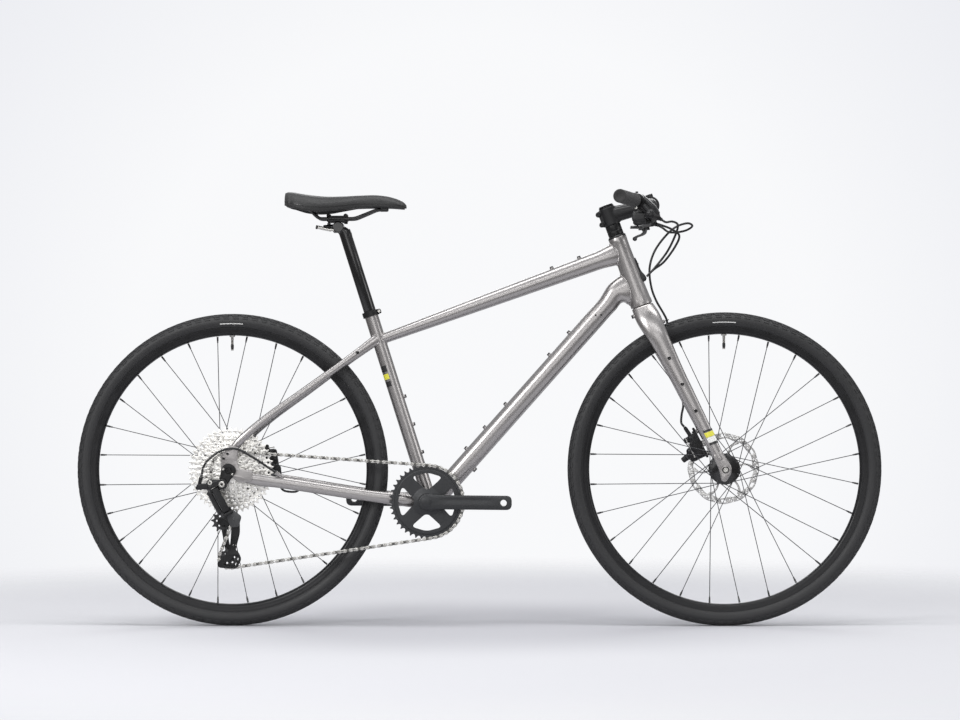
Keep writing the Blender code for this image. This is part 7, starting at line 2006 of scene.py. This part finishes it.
def cranks():
    """Both cranks with their end caps, clamp screws and pedal threads."""
    def on_crank(side):
        tilt = Matrix.Rotation(-CRANK_TILT, 4, "Y")
        if side > 0:
            tilt = tilt @ Matrix.Rotation(math.pi, 4, "Y")
        return Matrix.Translation(BB) @ tilt

    right, left = on_crank(-1), on_crank(1)
    cap = turned([(0.0062, 0.0700), (0.0120, 0.0700), (0.0120, 0.0734), (0.0112, 0.0740),
                  (0.0062, 0.0740)], 48, along_y((0.0, 0.0, 0.0)))
    key = turned([(0.0, 0.0700), (0.0064, 0.0700), (0.0064, 0.0722), (0.0, 0.0722)], 6,
                 along_y((0.0, 0.0, 0.0)))
    show("crank_right_arm", moved(mirrored(crank_arm()), right), SATIN, "crank_body",
         ["crank_right"], 40)
    flush = turned([(0.0, 0.0700), (0.0116, 0.0700), (0.0116, 0.0722), (0.0108, 0.0727),
                    (0.0, 0.0727)], 48, along_y((0.0, 0.0, 0.0)))
    show("crank_right_cap", moved(mirrored(flush), right), SATIN, "crank_body")
    show("crank_right_thread", moved(mirrored(pedal_thread()), right), STEEL, "crank_body")
    spindle = rod((0.0, -0.0585, 0.0), (0.0, 0.0725, 0.0), 0.0119, 48, 0.0006)
    slot = merged([rod((-0.0110, 0.0620, -0.0155), (-0.0110, 0.0620, -0.0186), 0.0028, 20),
                   rod((-0.0110, 0.0690, -0.0155), (-0.0110, 0.0690, -0.0186), 0.0028, 20)])
    show("crank_left_arm", moved(crank_arm(), left), SATIN, "crank_body",
         ["crank_left"], 40)
    show("crank_spindle", moved(spindle, Matrix.Translation(BB)), STEEL, "crank_body")
    show("crank_left_cap", moved(merged([cap, key, slot]), left), GLOSS, "crank_body")
    show("crank_left_thread", moved(pedal_thread(), left), STEEL, "crank_body")


# Rear derailleur

LINK_PINS = REAR + Vector((-0.0311, -0.0850, -0.0420))
LINK_RUN = Vector((0.477, 0.0, -0.879)).normalized()
LINK_SWING = Vector((-0.324, 0.93, -0.176)).normalized()
LINK_LENGTH, LINK_HALF_SPACING = 0.0520, 0.0075
LINK_WIDTH = 0.0160
B_KNUCKLE_Y, B_KNUCKLE_FACE_Y, P_KNUCKLE_Y = -0.0905, -0.0960, -0.0810
EAR_INNER, EAR_OUTER = 0.0083, 0.0113
STOP_BOLT = Vector((-0.5868, -0.0962, 0.3223))
BARREL_BASE = REAR + Vector((-0.0641, 0.0, -0.0335))
CAGE_FOOT = (
    (-0.0080, 0.0080), (-0.0070, -0.0260), (-0.0070, -0.0560), (-0.0100, -0.0740),
    (-0.0340, -0.1030), (-0.0290, -0.1125), (0.0110, -0.1120), (0.0205, -0.0900),
    (0.0130, -0.0755), (0.0060, -0.0715), (0.0085, -0.0560), (0.0130, -0.0330), (0.0100, 0.0040))
CAGE_WINDOW = (
    (-0.0190, -0.1065), (-0.0130, -0.0985), (-0.0050, -0.0980), (-0.0005, -0.0900),
    (0.0040, -0.0835), (0.0095, -0.0820), (0.0140, -0.0890), (0.0070, -0.1065))


def ears(start, sign, place):
    """A knuckle's two ears, joined behind the ends of the links."""
    ear_half = LINK_HALF_SPACING + 0.0050
    made = []
    for low, high in ((-EAR_OUTER, -EAR_INNER), (EAR_INNER, EAR_OUTER)):
        ends = sorted((start - sign * 0.0080, start + sign * 0.0040))
        made.append(block((ends[0], -ear_half, low), (ends[1], ear_half, high), 0.0010, 2))
    ends = sorted((start - sign * 0.0120, start - sign * 0.0055))
    made.append(block((ends[0], -ear_half, -EAR_OUTER), (ends[1], ear_half, EAR_OUTER), 0.0015, 3))
    return [moved(mesh, place) for mesh in made]


def swing_room(low, high, place):
    """The space that the links sweep between a knuckle's ears."""
    deep = EAR_INNER + 0.0001
    return moved(block((low, -0.0215, -deep), (high, 0.0215, deep), 0.0002), place)


def b_knuckle(place):
    """The derailleur's upper knuckle, with its fixing bolt, stop bolt and barrel adjuster."""
    hook = REAR + HANGER_DROP
    back = LINK_PINS - 0.009 * LINK_RUN
    flat_hook, flat_back = (hook.x, hook.z), (back.x, back.z)
    flat_barrel = (BARREL_BASE.x, BARREL_BASE.z)
    body = fused([
        plate([capsule(flat_hook, flat_back, 0.0118, 0.0098, 16)], B_KNUCKLE_Y, 0.0125, 0.0020, 3),
        plate([capsule(flat_back, flat_barrel, 0.0080, 0.0054, 16)], B_KNUCKLE_Y, 0.0106, 0.0020, 3),
        plate([capsule(flat_hook, (STOP_BOLT.x, STOP_BOLT.z), 0.0100, 0.0078, 16)], B_KNUCKLE_Y,
              0.0112, 0.0020, 3),
        rod((-0.6050, -0.0895, 0.3115), (-0.6190, -0.0895, 0.3110), 0.0052, 28, 0.0016, 0.0044),
        rod((hook.x, -0.0842, hook.z), (hook.x, -0.0965, hook.z), 0.0105, 40, 0.0010)]
        + ears(0.0, 1, place), 0.0007, 4)
    show("b_knuckle_body", cut(body, swing_room(-0.0052, 0.0700, place)), FORGED, "frame_body",
         ["derailleur_b_knuckle"], 50)
    head = towards((hook.x, B_KNUCKLE_FACE_Y, hook.z), -ACROSS)
    show("b_knuckle_bolts", merged([
        turned([(0.0030, 0.0), (0.0062, 0.0), (0.0068, 0.0006), (0.0068, 0.0014), (0.0062, 0.0020),
                (0.0034, 0.0020), (0.0030, 0.0016)], 36, head),
        rod((hook.x, -0.0775, hook.z), (hook.x, -0.0862, hook.z), 0.0044, 24),
        turned([(0.0020, 0.0), (0.0044, 0.0), (0.0050, 0.0005), (0.0050, 0.0012), (0.0044, 0.0018),
                (0.0020, 0.0018)], 28, towards((STOP_BOLT.x, -0.0958, STOP_BOLT.z), -ACROSS))]),
        STEEL, "frame_body")
    sockets = [
        turned([(0.0, 0.0), (0.0033, 0.0), (0.0033, 0.0008), (0.0, 0.0008)], 6, head),
        rod((STOP_BOLT.x, -0.0930, STOP_BOLT.z), (STOP_BOLT.x, -0.0964, STOP_BOLT.z), 0.0022, 16)]
    start = Vector((BARREL_BASE.x, -0.0890, BARREL_BASE.z))
    end = HOUSING_END + Vector((-0.0002, 0.0, -0.0006))
    reach = (end - start).length
    profile = [(0.0, 0.0), (0.0034, 0.0), (0.0034, 0.18 * reach)]
    for k in range(7):
        at = (0.22 + 0.075 * k) * reach
        profile += [(0.0046, at), (0.0046, at + 0.030 * reach), (0.0041, at + 0.038 * reach),
                    (0.0041, at + 0.068 * reach)]
    profile += [(0.0040, 0.80 * reach), (0.0032, 0.84 * reach), (0.0032, reach), (0.0, reach)]
    barrel = turned(profile, 28, towards(start, end - start))
    show("b_knuckle_barrel", merged([barrel] + sockets), GLOSS, "frame_body")


def links(place):
    """The two parallel links with their pins, and the outer one's cover."""
    for name, node, side, body in (
            ("outer_link_plate", "derailleur_outer_link", -1, "outer_link_body"),
            ("inner_link_plate", "derailleur_inner_link", 1, "inner_link_body")):
        ends = [(0.0, side * LINK_HALF_SPACING), (LINK_LENGTH, side * LINK_HALF_SPACING)]
        bores = [circle(end, 0.0024, 16) for end in ends]
        link = slab([capsule(*ends, 0.0041, 0.0041, 14)] + bores, LINK_WIDTH, 0.0012, place, 3)
        show(name, link, FORGED, body, [node])
    cover = swept([((x, -LINK_HALF_SPACING - 0.0005, -0.0158), ACROSS, high, wide)
                   for x, high, wide in ((-0.0025, 0.0040, 0.0022), (-0.0010, 0.0058, 0.0034),
                                         (0.0060, 0.0066, 0.0038), (0.0270, 0.0068, 0.0040),
                                         (0.0460, 0.0066, 0.0038), (0.0530, 0.0058, 0.0034),
                                         (0.0545, 0.0040, 0.0022))], 5, 32, 4.0, UP)
    show("outer_link_cover", moved(lofted(cover), place), FORGED, "outer_link_body")
    reach = EAR_OUTER + 0.0006
    for name, at, body in (("upper", 0.0, "frame_body"), ("lower", LINK_LENGTH, "p_knuckle_body")):
        pins = [rod((at, y, -reach), (at, y, reach), 0.0019, 20)
                for y in (-LINK_HALF_SPACING, LINK_HALF_SPACING)]
        show("link_pins_" + name, moved(merged(pins), place), STEEL, body)


def p_knuckle(place):
    """The derailleur's lower knuckle, which holds the cage's pivot, and its grey cover."""
    front = LINK_PINS + (LINK_LENGTH + 0.009) * LINK_RUN
    x, z = CAGE_PIVOT
    body = fused([
        plate([capsule((front.x, front.z), CAGE_PIVOT, 0.0118, 0.0128, 16)], P_KNUCKLE_Y, 0.0136, 0.0022,
              3),
        rod((x, -0.0594, z), (x, -0.0760, z), 0.0120, 40, 0.0010)]
        + ears(LINK_LENGTH, -1, place), 0.0007, 4)
    body = cut(body, swing_room(-0.0200, LINK_LENGTH + 0.0052, place))
    body = cut(body, rod((x, -0.0500, z), (x, -0.0806, z), 0.0060, 32, 0.0))
    show("p_knuckle_casting", body, FORGED, "p_knuckle_body",
         ["derailleur_p_knuckle"], 50)
    face = rounded([(-0.5545, 0.2580), (-0.5370, 0.2640), (-0.5175, 0.2480), (-0.5245, 0.2245),
                    (-0.5425, 0.2240)], 0.0055, 4)
    screw = bolt((x, -0.0889, z), -ACROSS, 0.0040, 0.0012)
    show("p_knuckle_cover", merged([plate([face], -0.0882, 0.0016, 0.0005, 2), screw]), PLATE_GREY,
         "p_knuckle_body")


def cage():
    """The cage's two plates with their pins, and both pulleys."""
    turn = Matrix.Rotation(CAGE_SWING, 2)
    guide, tension = pulley_centres(CAGE_SWING)
    x, z = CAGE_PIVOT

    def on_cage(places, corner):
        return rounded([Vector(CAGE_PIVOT) + turn @ Vector(p) for p in places], corner, 4)

    arms = merged([
        plate([on_cage(CAGE_FOOT, 0.0080), on_cage(CAGE_WINDOW, 0.0030)], -0.0573, 0.0024, 0.0007, 2),
        plate([capsule(CAGE_PIVOT, guide, 0.0118, 0.0098, 16)], -0.0574, 0.0020, 0.0006, 2),
        rod((x, -0.0570, z), (x, -0.0795, z), 0.0054, 32)])
    show("cage_outer_plate", arms, BLACK, "cage_body", ["derailleur_cage_outer"])
    away = (tension - guide).normalized()
    rows = []
    for start, share, half in (
            (guide, -0.0098, 0.0040), (guide, -0.0060, 0.0085), (guide, 0.0, 0.0100),
            (guide, 0.016, 0.0064), (guide.lerp(tension, 0.5), 0.0, 0.0060),
            (tension, -0.016, 0.0064), (tension, 0.0, 0.0100), (tension, 0.0060, 0.0085),
            (tension, 0.0098, 0.0040)):
        rows.append((*(start + share * away), half))
    inner = plate([rounded(ribbon(rows, 5), 0.0010, 2)]
                  + [circle(at, 0.0037, 20) for at in (guide, tension)], -0.0431, 0.0024, 0.0005, 2)
    show("cage_inner_plate", inner, BLACK, "cage_body", ["derailleur_cage_inner"])
    pins = []
    for at in (guide, tension):
        pins.append(rod((at.x, -0.0418, at.y), (at.x, -0.0562, at.y), 0.0029, 20))
        pins.append(bolt((at.x, -0.0421, at.y), ACROSS, 0.0046, 0.0016))
    for offset in (-0.0022, 0.0032):
        dot = Vector(CAGE_PIVOT) + turn @ Vector((0.0020 + offset, -0.0600))
        pins.append(rod((dot.x, -0.0583, dot.y), (dot.x, -0.0589, dot.y), 0.0011, 12))
    show("cage_pins", merged(pins), STEEL, "cage_body")
    for name, at in (("guide_pulley", guide), ("tension_pulley", tension)):
        phase = phase_at(at, sprocket_radius(PULLEY_TEETH))
        outlines = [toothed(at, PULLEY_TEETH, phase), circle(at, 0.0050, 24)]
        outlines += hole_ring(at, 0.0118, full_turn(6, phase), 0.0022, 12)
        hub_ring = turned([(0.0036, -0.0555), (0.0064, -0.0555), (0.0070, -0.0549),
                           (0.0070, -0.0455), (0.0064, -0.0449), (0.0036, -0.0449)], 32,
                          along_y((at.x, 0.0, at.y)))
        show(name + "_disc", merged([plate(outlines, -CHAINLINE, 0.0020, 0.0003, 1), hub_ring]), PLASTIC,
             name + "_body", [name], 32)


def derailleur():
    """Knuckles, links, cage and pulleys, with their pins, screws and covers."""
    place = frame_matrix(LINK_PINS, LINK_RUN, LINK_SWING)
    b_knuckle(place)
    links(place)
    p_knuckle(place)
    cage()


# Seat

RAIL_RADIUS = 0.0035
SADDLE_STATIONS = (
    (-0.1152, 0.0300, 0.0520, 0.0310, 0.0345), (-0.1144, 0.0400, 0.0556, 0.0290, 0.0335),
    (-0.1110, 0.0520, 0.0580, 0.0272, 0.0325), (-0.0980, 0.0650, 0.0586, 0.0238, 0.0315),
    (-0.0780, 0.0735, 0.0552, 0.0180, 0.0290), (-0.0500, 0.0735, 0.0512, 0.0145, 0.0270),
    (-0.0230, 0.0640, 0.0490, 0.0145, 0.0255), (0.0120, 0.0450, 0.0495, 0.0190, 0.0260),
    (0.0500, 0.0300, 0.0515, 0.0240, 0.0280), (0.0950, 0.0225, 0.0518, 0.0255, 0.0285),
    (0.1240, 0.0195, 0.0466, 0.0248, 0.0278), (0.1400, 0.0160, 0.0408, 0.0236, 0.0266),
    (0.1500, 0.0125, 0.0350, 0.0230, 0.0258), (0.1542, 0.0085, 0.0300, 0.0232, 0.0254))
SADDLE_SIDE = 0.0036
RAIL_Y = 0.0220


def saddle_ring(x, half, top, skirt, under):
    """A cross-section of the padding: crowned halves, a shallow channel and a tucked skirt."""
    deep = 0.0022 * math.exp(-((x - 0.005) / 0.060) ** 4)
    left = [(0.0, top - 0.0009 - deep), (0.12, top - 0.0005 - 0.6 * deep), (0.28, top),
            (0.48, top - 0.0006), (0.68, top - 0.0028), (0.84, top - 0.0072),
            (0.95, top * 0.62 + skirt * 0.38 - 0.002), (0.997, top * 0.35 + skirt * 0.65),
            (1.0, skirt + SADDLE_SIDE), (0.985, skirt + 0.0006), (0.94, skirt + 0.0002),
            (0.88, under - 0.0010), (0.60, under), (0.0, under)]
    whole = left + [(-y, z) for y, z in reversed(left[1:-1])]
    fine = eased([(y, z) for y, z in whole] + [whole[0]], 3)[:-1]
    return [SADDLE_CLAMP + Vector((x, y * half, z)) for y, z in fine]


def rail_line(points):
    """The rails' line with every bend rounded."""
    made = [points[0]]
    for before, corner, after in zip(points, points[1:], points[2:]):
        made += corner_curve(before, corner, after, 0.008, 6)
    return made + [points[-1]]


def saddle():
    """Padding with a channel and a seam, the shell under it, and bent steel rails."""
    rows = flowing([(x, 0.0, 0.0, *rest) for x, *rest in SADDLE_STATIONS], 6)
    rings = [saddle_ring(row[0], *row[3:]) for row in rows]
    cover = show("saddle_cover", lofted(rings), LEATHER, "saddle_body",
                 ["saddle_padding"], 60)
    seams = []
    for k in (22, len(rings[0]) - 22):
        line = [ring[k] for ring in rings[6:-4]]
        seams.append(tube([p + math.copysign(0.0001, p.y) * ACROSS for p in line], 0.0006, 8))
    show("saddle_seam", merged(seams), GLOSS, "saddle_body")

    shell_rings = []
    for row in rows[10:-6]:
        x, half, under = row[0], row[3], row[6]
        wide = 0.86 * half
        shape = [(0.0, under - 0.0006), (0.70 * wide, under - 0.0006), (0.96 * wide, under - 0.0008),
                 (wide, under - 0.0022), (0.90 * wide, under - 0.0042), (0.60 * wide, under - 0.0052),
                 (0.0, under - 0.0060)]
        whole = shape + [(-y, z) for y, z in reversed(shape[1:-1])]
        fine = eased(whole + [whole[0]], 3)[:-1]
        shell_rings.append([SADDLE_CLAMP + Vector((x, y, z)) for y, z in fine])
    c = SADDLE_CLAMP
    sockets = fused([
        block(c + Vector((-0.0660, -0.0370, 0.0170)), c + Vector((-0.0470, 0.0370, 0.0262)), 0.0030),
        block(c + Vector((0.0940, -0.0115, 0.0160)), c + Vector((0.1140, 0.0115, 0.0262)), 0.0030)],
        0.0010, 3)
    show("saddle_base", merged([lofted(shell_rings), sockets]), PLASTIC, "saddle_body",
         ["saddle_shell"], 50)

    side = [(-0.0560, 0.0300, 0.0185), (-0.0500, 0.0280, 0.0095), (-0.0395, RAIL_Y, 0.0),
            (0.0400, RAIL_Y, 0.0), (0.0600, 0.0185, 0.0080), (0.0880, 0.0120, 0.0195),
            (0.1020, 0.0070, 0.0205)]
    route = [Vector(p) for p in side]
    route += [Vector((0.1070, 0.0, 0.0205))] + [Vector((v.x, -v.y, v.z)) for v in reversed(route)]
    fine = rail_line([c + v for v in route])
    show("saddle_rail_wire", tube(fine, RAIL_RADIUS, 20), GLOSS, "saddle_body",
         ["saddle_rails"])


def saddle_clamp(head):
    """Two plates shaped round the rails and the post's head, and the two bolts that close them."""
    c = SADDLE_CLAMP
    halves = []
    for low, high, back, ridge_low, ridge_high in ((0.0004, 0.0064, 0.0235, -0.0002, 0.0044),
                                                   (-0.0082, -0.0004, 0.0225, -0.0070, -0.0012)):
        half = fused([
            block(c + Vector((-0.0195, -0.0272, low)), c + Vector((0.0195, 0.0272, high)), 0.0028, 4),
            block(c + Vector((-back, -0.0160, ridge_low)), c + Vector((0.0235, 0.0160, ridge_high)),
                  0.0018)], 0.0007, 4)
        if high < 0.0:
            half = cut(half, rod(head - 0.0320 * ACROSS, head + 0.0320 * ACROSS, 0.0129, 64, 0.0))
        for y in (-RAIL_Y, RAIL_Y):
            half = cut(half, rod((c.x - 0.040, y, c.z), (c.x + 0.040, y, c.z), 0.0037, 32, 0.0))
        halves.append(half)
    show("saddle_clamp_plates", merged(halves), BLACK, "saddle_clamp_body",
         ["saddle_clamp"], 45)
    bolts = []
    for x, low in ((-0.0190, -0.0135), (0.0190, -0.0108)):
        at = c + Vector((x, 0.0, 0.0))
        bolts += [rod(at + (low + 0.002) * UP, at + 0.0060 * UP, 0.0026, 20),
                  rod(at + Vector((0.0, -0.0130, 0.0070)), at + Vector((0.0, 0.0130, 0.0070)), 0.0046, 28,
                      0.0010),
                  bolt(at + (low + 0.0030) * UP, -UP, 0.0040, 0.0034)]
    show("saddle_clamp_bolts", merged(bolts), BLACK, "saddle_clamp_body")


def seatpost():
    """The post with its forged head and bright tongue, and the clamp that holds the rails."""
    radius, high = 0.0136, 0.190
    profile = [(0.0, -0.150), (radius - 0.0006, -0.150), (radius, -0.1494)]
    for at in (-0.0800, -0.0790):
        profile += [(radius, at), (radius - 0.00015, at + 0.0002), (radius - 0.00015, at + 0.0004),
                    (radius, at + 0.0006)]
    profile += [(radius, high - 0.0060), (radius - 0.0004, high), (0.0, high)]
    tube_of_post = turned(profile, 64, towards(SEAT_TOP, SEAT_UP))
    c = SADDLE_CLAMP
    head = c + Vector((0.0025, 0.0, -0.0185))
    top = SEAT_TOP + high * SEAT_UP
    neck = swept([(top - 0.018 * SEAT_UP, SEAT_AHEAD, 0.0136, 0.0136),
                  (top - 0.006 * SEAT_UP, SEAT_AHEAD, 0.0136, 0.0136),
                  (top.lerp(head, 0.5), SEAT_AHEAD, 0.0126, 0.0134), (head, SEAT_AHEAD, 0.0110, 0.0140)],
                 6, 40)
    ear = c + Vector((-0.0465, 0.0, -0.0180))
    forged = fused([lofted(neck), rod(head - 0.0160 * ACROSS, head + 0.0160 * ACROSS, 0.0125, 48,
                                      0.0012),
                    block(head + Vector((-0.0120, -0.0085, -0.0125)),
                          head + Vector((0.0120, 0.0085, -0.0020)), 0.0030),
                    rod(ear + Vector((-0.0010, -0.0120, -0.0002)), ear + Vector((0.0036, -0.0120, -0.0010)),
                        0.0046, 24, 0.0010),
                    rod(ear + 0.30 * (head - ear), head, 0.0050, 24, 0.0010, 0.0080)], 0.0008, 5)
    start = ear + Vector((0.0030, -0.0120, -0.0005))
    tongue = merged([rod(start, start + Vector((0.0310, 0.0, -0.0070)), 0.0040, 24, 0.0010, 0.0036),
                     rod(start + Vector((0.0250, 0.0, -0.0056)), head + Vector((-0.006, -0.012, -0.006)),
                         0.0036, 24)])
    show("seatpost_tongue", tongue, STEEL, "seatpost_body")
    show("seatpost_tube", merged([tube_of_post, forged]), GLOSS, "seatpost_body",
         ["seatpost"], 50)
    saddle_clamp(head)


# Everything in view

bpy.context.scene.view_settings.view_transform = "Standard"
camera()
hoses()
studio()
wheels()
chain()
cassette()
bicycle_frame()
fork()
headset()
stem()
handlebar()
brake_controls()
shifter()
cable_port()
fittings()
calipers()
chainring()
cranks()
derailleur()
seatpost()
saddle()
